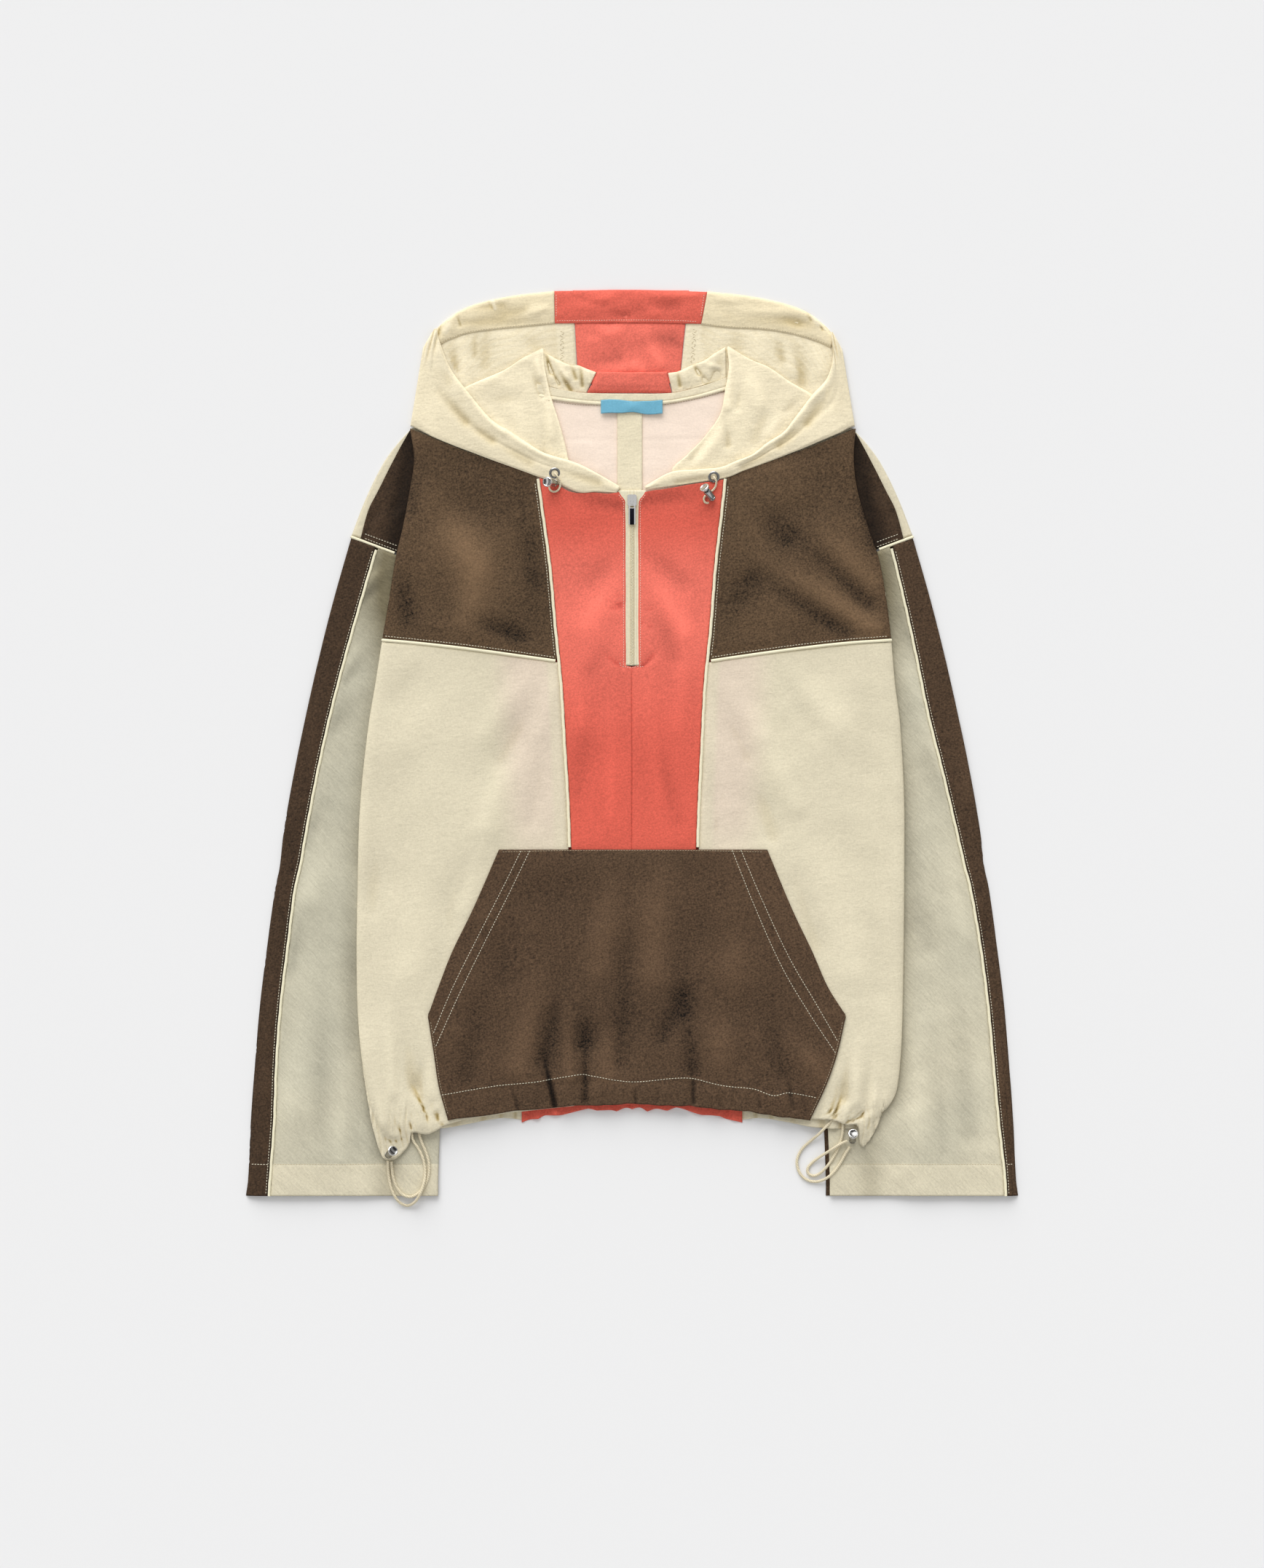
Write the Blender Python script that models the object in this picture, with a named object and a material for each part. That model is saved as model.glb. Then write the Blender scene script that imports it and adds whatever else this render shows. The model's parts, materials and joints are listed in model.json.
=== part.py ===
"""A half-zip hooded windbreaker, laid out flat on its back with the hood spread open.

The jacket lies on the plane z = 0. +Y runs from hem to hood, and the origin is under the middle of
its box. Left and right, L and R, are the sides as seen from above, with L at -X. Sizes in the
tables are in millimetres, and a half width is a distance from the centre line. Each cloth piece is
a wall between two faces of one grid, and each grid is filled in between four edge lines, so that
neighbours share their seams.
"""

import math
from collections import namedtuple

import bmesh
import bpy
from mathutils import Matrix, Vector

MM = 0.001

# Driving sizes, in millimetres
CLOTH = 1.0
LAYER_GAP = 0.4
SEAM_GAP = 0.4
PIPING_WIDTH = 2.6
SLEEVE_STACK = 4.4
FRONT_PUFF = 3.2
SIDE_ROUNDING = 9.0
SLEEVE_BACK_STATIONS = 9
ZIP_SLIT_HALF = 5.6
ZIP_TOP_Y = 240.0
ZIP_END_Y = 75.5
HEM_Y = -333.0
CUFF_Y = -418.0
POCKET_TOP_Y = -94.8
POCKET_HEM_HALF = 169.0
POCKET_LIFT = CLOTH + 0.7
BACK_HEM_HALF = 103.0
LINING_HALF = 92.0
LINING_FOOT_Y = 228.0
HANGER_LEFT = -13.7
HANGER_RIGHT = 9.6
HANGER_TOP_Y = 319.4
LABEL_LEFT = -29.0
LABEL_WIDTH = 57.5
LABEL_FOOT_Y = 311.8
LABEL_HEIGHT = 12.6
CASING_WALL = 1.2
BOX_CENTRE = (0.0, 4.6)
TAPE_Z = 4.9
SLIDER_Y = 231.0
SLIDER_SEAT = TAPE_Z + CLOTH / 2 + 0.3
SLIDER_PLATE = 1.6
PULL_AXIS_RISE = 1.25
PULL_THICKNESS = 1.3
PULL_REST_TILT = 3.0

SIDES = {"L": -1, "R": 1}

Edge = namedtuple("Edge", "y left right")
Sleeve = namedtuple("Sleeve", "y outer strip_left strip_right inner")
Point = namedtuple("Point", "x y")
Fold = namedtuple("Fold", "x top height width lean")
Section = namedtuple("Section", "rim_x rim_y seam_x seam_y rim_z seam_z")
Turn = namedtuple("Turn", "y z left right")
Spot = namedtuple("Spot", "x y z")
Lock = namedtuple("Lock", "foot_x foot_y foot_z heading tilt")
Eyelet = namedtuple("Eyelet", "x y z slope")

# Half widths of the body at the side folds, hem to shoulder
BODY_SIDE = (
    Edge(-362, 231, 222),
    Edge(-345, 240, 228),
    Edge(-328, 244.5, 243.5),
    Edge(-290, 251.5, 250),
    Edge(-245, 255.5, 252),
    Edge(-195, 256.5, 253),
    Edge(-120, 255.5, 253.5),
    Edge(-50, 253, 253.5),
    Edge(20, 245.5, 250),
    Edge(60, 239, 245),
    Edge(95, 233.5, 242),
    Edge(140, 226, 236.5),
    Edge(180, 219.5, 229),
    Edge(203, 214, 221),
    Edge(241, 207, 210),
    Edge(270, 203, 206.5),
    Edge(300, 207, 208.5),
)

# Half widths of the coral front panel, hem to neck
CENTRE_SIDE = (
    Edge(-362, 50, 52),
    Edge(-94, 56.5, 59.5),
    Edge(-50, 58, 61),
    Edge(5, 61.3, 63.7),
    Edge(59, 64.5, 66.5),
    Edge(114, 70, 72),
    Edge(168, 74.8, 76.2),
    Edge(222, 82, 82.3),
    Edge(262, 87.5, 86.5),
)

# Half widths of the sleeves: outer fold, brown strip beside it, and hidden inner fold
SLEEVE = (
    Sleeve(-418, 359.5, 21, 11, 181),
    Sleeve(-403, 357.5, 20, 9.5, 181),
    Sleeve(-349, 355, 21.5, 13, 179),
    Sleeve(-294, 351, 19.5, 14, 176),
    Sleeve(-240, 346.5, 19, 14.5, 174),
    Sleeve(-186, 340, 19, 15, 172),
    Sleeve(-131, 332.5, 18.5, 17, 170),
    Sleeve(-112, 328.5, 19, 18, 169),
    Sleeve(-77, 324.5, 21, 22, 168),
    Sleeve(-22, 315, 22, 25.5, 166),
    Sleeve(32, 304, 23, 28, 164),
    Sleeve(86, 292, 25, 27, 162),
    Sleeve(141, 278, 26.5, 25, 161),
    Sleeve(197, 262, 27, 22.5, 160),
)

# Folds drawn up from the hem by the cord: on the pocket, and on each cream side
POCKET_FOLDS = (
    Fold(-128, -262, 1.1, 20, 0.02),
    Fold(-97, -238, 2.4, 13, 0.10),
    Fold(-62, -205, 2.6, 11, 0.05),
    Fold(-26, -255, 1.5, 15, 0.0),
    Fold(12, -262, 1.3, 15, 0.0),
    Fold(42, -225, 2.3, 13, -0.02),
    Fold(74, -232, 2.4, 11, -0.06),
    Fold(112, -290, 1.7, 11, -0.05),
    Fold(140, -285, 1.8, 10, -0.05),
)
SIDE_FOLDS = (
    Fold(183, -268, 2.2, 6, 0.04),
    Fold(199, -235, 2.8, 8, 0.06),
    Fold(216, -262, 2.0, 7, -0.10),
    Fold(231, -290, 1.4, 6, -0.16),
)

# The front's gathered hem beside the pocket, with the tab that the cord lock sits by
GATHERED_HEM = {
    "L": (Point(100, -339), Point(145, -345), Point(172, -351), Point(190, -360), Point(205, -358.5),
          Point(208, -370), Point(221, -383.5), Point(230.5, -384), Point(238, -366)),
    "R": (Point(100, -337), Point(145, -342), Point(170, -346), Point(188, -347), Point(199, -351),
          Point(210, -352), Point(212.5, -369.5), Point(216.5, -371.5), Point(220.5, -353)),
}
HEM_CORNER_Y = {"L": -349.5, "R": -343.5}

# Pocket outline from its top corner down, and the seams of the yoke and the shoulder line
POCKET_SIDE = (
    Edge(-94.8, 124, 126),
    Edge(-150, 148, 149),
    Edge(-190, 167.5, 168),
    Edge(-222, 180, 182),
    Edge(-244, 188, 195.6),
    Edge(-249, 190, 199),
    Edge(-254, 189.4, 198.1),
    Edge(-285, 184.5, 191),
    Edge(-315, 180, 180.5),
    Edge(-346, 171.5, 166),
)
YOKE_TOP = (Point(90.5, 253.2), Point(132, 268.5), Point(170, 282.8), Point(207.6, 299))
YOKE_FOOT = (Point(71.5, 81), Point(110, 86.5), Point(155, 92.5), Point(200, 97.5), Point(240, 100.6))
SHOULDER_LINE = (Point(0, 330.7), Point(50, 331.5), Point(85, 333), Point(130, 322.5), Point(170, 310.5),
                 Point(205, 299.8))
SHOULDER_FRONT = (Point(207.5, 297.5), Point(215, 283), Point(226, 262), Point(237, 240), Point(246, 222),
                  Point(253.5, 197.5))
SHOULDER_BACK = (Point(208.5, 298.5), Point(219, 284), Point(232, 266), Point(248, 234), Point(262, 199.5))

# Lower edge of the hood front, which is the top edge of the coral panel, from the yoke to the zip
NECK_FRONT = {
    "L": (Point(86.5, 252), Point(71, 247), Point(60, 240), Point(50, 238), Point(33, 238.5),
          Point(17, 237.5), Point(4.8, 239)),
    "R": (Point(86, 250.6), Point(72, 248.6), Point(50, 245.8), Point(36, 243.5), Point(22.5, 241.5),
          Point(12.5, 240.5), Point(4.8, 239)),
}

# Hood sides, from the seam with the coral centre, round the outer fold and along the front to the zip
HOOD_SECTIONS = {
    "L": (
        Section(55.6, 427.0, 50.8, 342, 0.5, 0.5),
        Section(90, 423.3, 84, 335.5, 0.5, 0.5),
        Section(130, 417.5, 125, 325, 0.5, 0.5),
        Section(160, 408, 160, 314.5, 0.5, 0.5),
        Section(180, 394, 184, 307, 0.5, 0.5),
        Section(189, 382, 200, 302.2, 0.55, 0.55),
        Section(193.3, 375.5, 204.8, 300.6, 0.95, 0.9),
        Section(194.6, 373.5, 206.4, 300.1, 1.9, 1.9),
        Section(191.0, 380, 205.4, 300.3, 3.1, 3.1),
        Section(183, 391.5, 202, 298.2, 4.0, 4.0),
        Section(179.5, 379, 193, 293.6, 4.6, 4.5),
        Section(170, 355, 184, 289.2, 5.1, 5.0),
        Section(154, 333, 168, 282.6, 5.6, 5.1),
        Section(132, 307, 148, 275.2, 6.0, 5.1),
        Section(115, 295.8, 129, 268, 6.2, 5.1),
        Section(98.6, 285, 110, 261.2, 6.3, 5.1),
        Section(81.7, 275, 88.5, 253.4, 6.3, 5.1),
        Section(58.5, 268, 71, 247.6, 6.2, 5.1),
        Section(45.7, 263, 50, 238.6, 6.1, 5.1),
        Section(29, 254, 33, 239.1, 5.8, 5.1),
        Section(11, 243.5, 14, 238.2, 5.3, 5.1),
    ),
    "R": (
        Section(53.6, 426.4, 44.8, 342, 0.5, 0.5),
        Section(90, 423, 84, 335.5, 0.5, 0.5),
        Section(130, 417, 125, 325, 0.5, 0.5),
        Section(160, 407.5, 160, 314.5, 0.5, 0.5),
        Section(180, 394.5, 184, 307, 0.5, 0.5),
        Section(190, 382, 200, 302.2, 0.55, 0.55),
        Section(194.3, 375, 205.8, 300.8, 0.95, 0.9),
        Section(195.8, 372, 207.6, 300.1, 1.9, 1.9),
        Section(192.4, 378, 206.6, 300.3, 3.1, 3.1),
        Section(186, 388, 203, 298.6, 4.0, 4.0),
        Section(187.5, 365, 196, 294.8, 4.6, 4.5),
        Section(182, 345, 188, 291.4, 5.1, 5.0),
        Section(168, 329, 175, 286, 5.6, 5.1),
        Section(151.4, 307, 160, 279.7, 6.0, 5.1),
        Section(141.4, 294.4, 147, 274.7, 6.2, 5.1),
        Section(126.4, 284.6, 133, 269.2, 6.3, 5.1),
        Section(112.5, 273.6, 118, 263.7, 6.3, 5.1),
        Section(97.3, 267.5, 103, 258.2, 6.3, 5.1),
        Section(82, 261.5, 88.5, 252.5, 6.2, 5.1),
        Section(60, 259.5, 64, 248.2, 6.0, 5.1),
        Section(36, 257, 38, 244.6, 5.8, 5.1),
        Section(11.5, 243.5, 13, 241.3, 5.3, 5.1),
    ),
}

# Coral hood centre along its length: out from the rim, under the fold, up to the ridge, down to the neck
HOOD_CENTRE = (
    Turn(427.3, 0.5, 55.1, 53.1),
    Turn(412, 0.5, 54.25, 51.6),
    Turn(396, 0.5, 53.35, 49.9),
    Turn(376, 0.5, 52.2, 47.8),
    Turn(357, 0.5, 51.1, 45.9),
    Turn(345, 0.5, 50.3, 44.6),
    Turn(341.4, 0.78, 47, 42),
    Turn(340.7, 1.4, 44, 40),
    Turn(342.6, 1.98, 39, 37),
    Turn(347, 2.05, 35, 34.5),
    Turn(349.8, 2.25, 33.2, 33.4),
    Turn(350.9, 2.8, 33, 33.2),
    Turn(349.6, 3.38, 32.6, 32.8),
    Turn(346, 3.45, 33.6, 33),
    Turn(341, 3.15, 36.5, 34.4),
    Turn(337, 2.2, 39, 35.6),
    Turn(334, 1.3, 40.8, 36.6),
    Turn(331.7, 0.78, 42, 37),
)

# The tape along the neck seam, whose ends run on under the hood cloth folded in beside the neck
TAPE_LOW = (Point(-88, 327.2), Point(-75, 325), Point(-53, 322.2), Point(-30.6, 320.3), Point(0, 320),
            Point(29, 321), Point(58, 326), Point(76, 330.6), Point(88, 333.8))
TAPE_HIGH = (Point(-87, 338), Point(-74, 335.2), Point(-58, 332.6), Point(-42, 330.7), Point(0, 330.2),
             Point(37, 330.7), Point(58, 335), Point(74, 340), Point(87, 343.6))

# The hood's stands, flaps and casing, each between its lines of points
STAND_RIDGE = {
    "L": (Point(33.4, 350.6), Point(41.5, 353.4), Point(50, 357), Point(57, 357), Point(72.8, 364),
          Point(84, 371)),
    "R": (Point(33.6, 349.8), Point(43, 351.3), Point(57, 357.5), Point(66.6, 361), Point(77.8, 368.6),
          Point(87, 374)),
}
STAND_NECK = {
    "L": (Point(42.7, 331.6), Point(60, 333), Point(73, 336), Point(88, 340)),
    "R": (Point(37.7, 331.6), Point(52, 334), Point(66, 338.4), Point(88, 345)),
}
FLAP_TOP = {
    "L": (Point(83.6, 373), Point(101.3, 363.8), Point(120.6, 351.8), Point(154, 337.4),
          Point(162, 331)),
    "R": (Point(89.6, 375), Point(109.8, 362.8), Point(127.8, 355), Point(147.2, 341.8),
          Point(168, 329.8), Point(173, 324)),
}
FLAP_EDGE = {
    "L": (Point(82.6, 371), Point(82.4, 361), Point(79.7, 345.6), Point(74.8, 325), Point(68, 304),
          Point(62.4, 283.3), Point(58.6, 266.5), Point(56, 258)),
    "R": (Point(88.8, 373), Point(90.3, 355.4), Point(86.8, 333.2), Point(82, 311), Point(66.6, 289),
          Point(50, 272.2), Point(37.5, 260.5), Point(38.5, 252.5)),
}
FLAP_FOOT = {
    "L": (Point(162, 331), Point(146, 311), Point(126, 294), Point(104, 279), Point(80, 266),
          Point(56, 258)),
    "R": (Point(173, 324), Point(158, 303), Point(140, 284), Point(116, 268), Point(84, 256),
          Point(38.5, 252.5)),
}
CASING_RIM = {
    "L": (Point(73.4, 424), Point(112, 420.4), Point(149, 411.6), Point(168, 401), Point(178, 391.6),
          Point(182, 386)),
    "R": (Point(71.2, 423.6), Point(112, 419.8), Point(149, 411), Point(168, 401.4), Point(179, 391.4),
          Point(184, 384)),
}
CASING_STITCH = {
    "L": (Point(73, 396.2), Point(112, 392.4), Point(134.6, 390), Point(154, 387), Point(170, 381.5),
          Point(179, 377)),
    "R": (Point(65.5, 395.4), Point(92, 392.2), Point(119.5, 391), Point(147.2, 387), Point(172, 380),
          Point(182, 375.4)),
}

# Cord locks: where the foot of each barrel stands, its heading in plan, and its tilt, in degrees
LOCKS = {
    "hood_L": Lock(-71.9, 246.8, 7.65, 180, 65),
    "hood_R": Lock(75.3, 231.7, 8.9, 129, 36),
    "hem_L": Lock(-227.4, -379.6, 8.9, 45, 60),
    "hem_R": Lock(205.4, -366.4, 6.1, 90, 60),
}
LOCK_BARREL_RADIUS = 3.4
LOCK_BARREL_LENGTH = 12.0
LOCK_BORE_RADIUS = 2.45
LOCK_BORE_FLOOR = 4.0
LOCK_STEM_RADIUS = 2.0
LOCK_HEAD_RADIUS = 4.75
LOCK_HEAD_HEIGHT = 2.2
LOCK_TRAVEL = 2.4
LOCK_CLEARANCE = 0.3

EYELETS = {"L": Eyelet(-72.1, 256.0, 7.0, 6.8), "R": Eyelet(76.2, 252.6, 6.75, 7.5)}
EYELET_OUTER = 5.4
EYELET_INNER = 2.9
EYELET_HEIGHT = 0.8

HOOD_CORD_WIDTH = 1.9
HEM_CORD_WIDTH = 2.6
CORD_ROUTES = {
    "hood_cord_L": (
        Spot(-72.1, 256.0, 8.2), Spot(-71.6, 255.0, 10.0), Spot(-69.4, 252.4, 9.9),
        Spot(-67.4, 249.0, 8.5), Spot(-66.8, 245.4, 7.1), Spot(-67.8, 241.8, 6.9),
        Spot(-70.2, 239.4, 6.9), Spot(-73.2, 238.8, 6.9), Spot(-75.8, 240.0, 6.9),
        Spot(-77.1, 242.2, 7.0), Spot(-77.0, 244.2, 7.3),
    ),
    "hood_cord_R": (
        Spot(76.2, 252.6, 8.0), Spot(76.6, 251.6, 9.8), Spot(78.4, 248.6, 9.5),
        Spot(78.2, 245.0, 7.8), Spot(76.4, 241.4, 6.9), Spot(72.6, 238.2, 6.9),
        Spot(68.6, 235.4, 6.9), Spot(66.9, 232.0, 6.9), Spot(68.0, 229.0, 6.9),
        Spot(70.0, 228.2, 7.2), Spot(71.5, 228.6, 7.8),
    ),
    "hem_cord_L_outer": (
        Spot(-205.0, -353.0, 7.1), Spot(-205.2, -358.6, 7.1), Spot(-204.2, -365.5, 6.4),
        Spot(-199.2, -373.7, 5.7), Spot(-195.2, -382.0, 5.6), Spot(-193.2, -391.0, 5.6),
        Spot(-193.0, -400.0, 6.6), Spot(-194.6, -408.0, 8.3), Spot(-197.4, -415.6, 8.9),
        Spot(-202.4, -423.4, 5.6), Spot(-209.4, -427.2, 2.0), Spot(-216.4, -424.4, 3.6),
        Spot(-221.4, -417.8, 5.6), Spot(-225.0, -409.0, 5.6), Spot(-226.8, -399.0, 5.6),
        Spot(-227.4, -391.5, 6.4), Spot(-227.4, -385.4, 8.6),
    ),
    "hem_cord_L_inner": (
        Spot(-198.0, -352.5, 7.1), Spot(-198.2, -359.7, 7.0), Spot(-196.2, -367.5, 6.0),
        Spot(-192.4, -376.4, 5.6), Spot(-189.6, -386.0, 5.5), Spot(-189.2, -395.0, 5.5),
        Spot(-191.4, -404.5, 5.5), Spot(-196.8, -413.2, 5.6), Spot(-204.8, -418.4, 5.6),
        Spot(-212.6, -417.4, 5.6), Spot(-218.6, -411.2, 5.6), Spot(-222.4, -401.5, 5.6),
        Spot(-223.8, -392.0, 6.2), Spot(-224.2, -385.6, 8.4),
    ),
    "hem_cord_R_outer": (
        Spot(190.0, -341.0, 7.3), Spot(185.6, -347.6, 7.3), Spot(180.0, -354.0, 7.2),
        Spot(174.2, -360.2, 5.4), Spot(167.4, -366.2, 2.4), Spot(158.6, -374.6, 1.7),
        Spot(154.2, -384.0, 1.7), Spot(154.8, -392.6, 1.7), Spot(158.6, -399.6, 1.7),
        Spot(165.0, -404.0, 1.7), Spot(173.0, -404.8, 2.2), Spot(181.0, -401.6, 4.8),
        Spot(188.4, -395.4, 5.6), Spot(194.4, -387.0, 5.6), Spot(199.0, -378.4, 5.6),
        Spot(203.2, -372.0, 5.8),
    ),
    "hem_cord_R_inner": (
        Spot(196.6, -344.0, 7.3), Spot(196.5, -354.0, 7.2), Spot(196.0, -361.0, 6.2),
        Spot(193.4, -370.4, 5.5), Spot(188.6, -380.4, 5.5), Spot(183.4, -388.4, 5.2),
        Spot(177.2, -395.6, 2.9), Spot(170.6, -399.4, 1.7), Spot(165.0, -397.8, 1.7),
        Spot(164.0, -392.6, 1.7), Spot(168.4, -387.0, 1.8), Spot(175.0, -381.8, 3.4),
        Spot(181.2, -377.6, 6.0), Spot(187.2, -373.6, 7.9), Spot(193.6, -369.4, 8.4),
        Spot(198.6, -367.2, 7.2), Spot(200.4, -366.6, 6.6),
    ),
}

COLOURS = {
    "cream": (0.84, 0.78, 0.56, 1.0),
    "sheer": (0.62, 0.63, 0.52, 1.0),
    "brown": (0.105, 0.070, 0.046, 1.0),
    "coral": (0.79, 0.125, 0.090, 1.0),
    "pink": (0.92, 0.76, 0.66, 1.0),
    "blue": (0.12, 0.45, 0.72, 1.0),
    "cord": (0.78, 0.70, 0.55, 1.0),
    "steel": (0.62, 0.62, 0.60, 1.0),
}


def clear_scene():
    for obj in list(bpy.data.objects):
        bpy.data.objects.remove(obj)


def material(name):
    """The Principled material of that colour, made once."""
    found = bpy.data.materials.get(name)
    if found:
        return found
    made = bpy.data.materials.new(name)
    made.use_nodes = True
    shader = made.node_tree.nodes["Principled BSDF"]
    shader.inputs["Base Color"].default_value = COLOURS[name]
    shader.inputs["Metallic"].default_value = 1.0 if name == "steel" else 0.0
    shader.inputs["Roughness"].default_value = 0.25 if name == "steel" else 0.85
    return made


def ramp(t):
    """0 before 0, 1 after 1, and a smooth step between."""
    t = min(max(t, 0.0), 1.0)
    return t * t * (3 - 2 * t)


def smooth_value(stations, values, s):
    """The value at s of the smooth curve through values at rising stations."""
    last = len(stations) - 1
    i = 0
    while i < last - 1 and s > stations[i + 1]:
        i += 1

    def slope(k):
        a, b = max(k - 1, 0), min(k + 1, last)
        return (values[b] - values[a]) / (stations[b] - stations[a])

    width = stations[i + 1] - stations[i]
    t = min(max((s - stations[i]) / width, 0.0), 1.0)
    h00 = (1 + 2 * t) * (1 - t) ** 2
    h01 = t * t * (3 - 2 * t)
    h10 = t * (1 - t) ** 2
    h11 = t * t * (t - 1)
    return h00 * values[i] + h01 * values[i + 1] + width * (h10 * slope(i) + h11 * slope(i + 1))


def column(rows, name, y):
    """A table's column read at y, whichever way its rows run."""
    ordered = sorted(rows, key=lambda row: row.y)
    return smooth_value([row.y for row in ordered], [getattr(row, name) for row in ordered], y)


def by_side(rows, side, y):
    return column(rows, "left" if side == "L" else "right", y)


def line(points):
    """A function of 0 to 1 that follows a smooth line through the points, at even speed."""
    stations = [0.0]
    for a, b in zip(points, points[1:]):
        stations.append(stations[-1] + math.dist(a[:2], b[:2]))

    def at(t):
        s = t * stations[-1]
        return tuple(smooth_value(stations, [p[k] for p in points], s) for k in (0, 1))

    return at


def straight(a, b):
    return lambda t: (a[0] + (b[0] - a[0]) * t, a[1] + (b[1] - a[1]) * t)


def filled(foot, head, near, far):
    """The map from (u, v) to the plane that fills four edge lines: near and far run from foot to head."""
    corners = foot(0), foot(1), head(0), head(1)

    def place(u, v):
        parts = []
        for k in (0, 1):
            sides = (1 - u) * near(v)[k] + u * far(v)[k]
            ends = (1 - v) * foot(u)[k] + v * head(u)[k]
            low = (1 - u) * corners[0][k] + u * corners[1][k]
            high = (1 - u) * corners[2][k] + u * corners[3][k]
            parts.append(sides + ends - (1 - v) * low - v * high)
        return parts

    return place


def body_side(side, y):
    return by_side(BODY_SIDE, side, y)


def centre_side(side, y):
    return by_side(CENTRE_SIDE, side, y)


def armhole_y(half):
    """The armhole seam, which slopes down from the shoulder to the hidden underarm."""
    return 181.0 + (half - 219.0) * 0.372


def lift(half, y):
    """How far the body is held up by the sleeve that lies under it."""
    inner = column(SLEEVE, "inner", y)
    return SLEEVE_STACK * ramp((half - inner + 66) / 60) * ramp((armhole_y(half) + 72 - y) / 62)


def front_height(side, half, y):
    """Middle of the front cloth: over the back, puffed out, and rounded down at the side fold."""
    below = lift(half, y)
    shoulder = 2.1 * ramp((half - 145) / 45) * ramp((y - 110) / 60)
    inside = min(max((body_side(side, y) - half) / SIDE_ROUNDING, 0.0), 1.0)
    puff = FRONT_PUFF * math.sqrt(1 - (1 - inside) ** 2) * ramp((y + 372) / 24)
    return below + shoulder * (1 - below / SLEEVE_STACK) + CLOTH + LAYER_GAP + CLOTH / 2 + puff


def folds(table, x, y, foot):
    """Sum of the hem folds at a point, each fading out towards its top."""
    total = 0.0
    for fold in table:
        along = ramp((fold.top - y) / (fold.top - foot))
        across = (x - fold.x - fold.lean * (y - foot)) / fold.width
        total += fold.height * along * math.exp(-across * across)
    return total


def side_height(side, half, y):
    """The cream front side: the front's height, and its hem folds outside the pocket."""
    beside = ramp((half - by_side(POCKET_SIDE, side, min(y, POCKET_TOP_Y)) - 1) / 12) * ramp((y + 374) / 20)
    return front_height(side, half, y) + beside * folds(SIDE_FOLDS, half, y, -356)


def sleeve_height(side, half, y):
    """Middle of the sleeve's upper cloth: low where the body lies on it, fuller outside."""
    row_inner = column(SLEEVE, "inner", y)
    inside = min(max((half - row_inner) / 7, 0.0), 1.0)
    puff = 1.5 * math.sqrt(1 - (1 - inside) ** 2)
    outside = half - body_side(side, min(y, 190)) - 8
    return CLOTH + LAYER_GAP + CLOTH / 2 + puff + 1.6 * ramp(outside / 35) * ramp((y + 470) / 60)


def world(side, half, y, z):
    x = SIDES[side] * half if side in SIDES else half
    return Vector((x - BOX_CENTRE[0], y - BOX_CENTRE[1], z)) * MM


def finish(name, bm, paint):
    """Puts a bmesh into the scene as a named object with its material."""
    mesh = bpy.data.meshes.new(name)
    bm.to_mesh(mesh)
    bm.free()
    mesh.shade_smooth()
    mesh.set_sharp_from_angle(angle=math.radians(35))
    obj = bpy.data.objects.new(name, mesh)
    obj.data.materials.append(material(paint))
    bpy.context.scene.collection.objects.link(obj)
    return obj


def wall(name, across, along, place, paint, thickness=CLOTH, us=None, vs=None):
    """A cloth wall: a grid whose (u, v) point place() puts in the middle of the cloth, then thickened.

    It has as many even steps across and along as are asked for, or the stations us and vs instead.
    """
    bm = bmesh.new()
    us = us or [i / across for i in range(across + 1)]
    vs = vs or [i / along for i in range(along + 1)]
    columns, rows = len(us) - 1, len(vs) - 1
    bmesh.ops.create_grid(bm, x_segments=columns, y_segments=rows, size=0.5)
    for vert in bm.verts:
        u = us[round((vert.co.x + 0.5) * columns)]
        v = vs[round((vert.co.y + 0.5) * rows)]
        vert.co = place(u, v)
    bmesh.ops.remove_doubles(bm, verts=bm.verts, dist=0.02 * MM)
    bmesh.ops.recalc_face_normals(bm, faces=bm.faces)
    obj = finish(name, bm, paint)
    thick = obj.modifiers.new("Cloth", "SOLIDIFY")
    thick.thickness = thickness * MM
    thick.offset = 0.0
    return obj


def rod(name, points, radius, paint, rounding=1):
    """A round strand through the points, which are in metres."""
    curve = bpy.data.curves.new(name, "CURVE")
    curve.dimensions = "3D"
    curve.bevel_depth = radius * MM
    curve.bevel_resolution = rounding
    curve.use_fill_caps = True
    spline = curve.splines.new("POLY")
    spline.points.add(len(points) - 1)
    for spot, point in zip(spline.points, points):
        spot.co = (*point, 1.0)
    obj = bpy.data.objects.new(name, curve)
    curve.materials.append(material(paint))
    bpy.context.scene.collection.objects.link(obj)
    return obj


def edge_crowded(count):
    """Grid stations from 0 to 1, even at first and crowded near 1, where the cloth turns down."""
    even = [0.93 * i / count for i in range(count + 1)]
    return even + [0.965, 0.988, 1.0]


def back_hem(x):
    """The gathered back hem, a little longer than the front and scalloped by its cord."""
    drop = 10.5 * ramp((abs(x) - 40) / 70) + 8 * ramp((abs(x) - 130) / 45)
    return -334.5 - drop - 2.4 * abs(math.sin(x / 13.0))


def back_seam(y):
    """Half width of the coral back panel."""
    return 103 + 27 * ramp((y + 340) / 640)


def back_height(half, y):
    return lift(half, y) + CLOTH / 2


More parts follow.
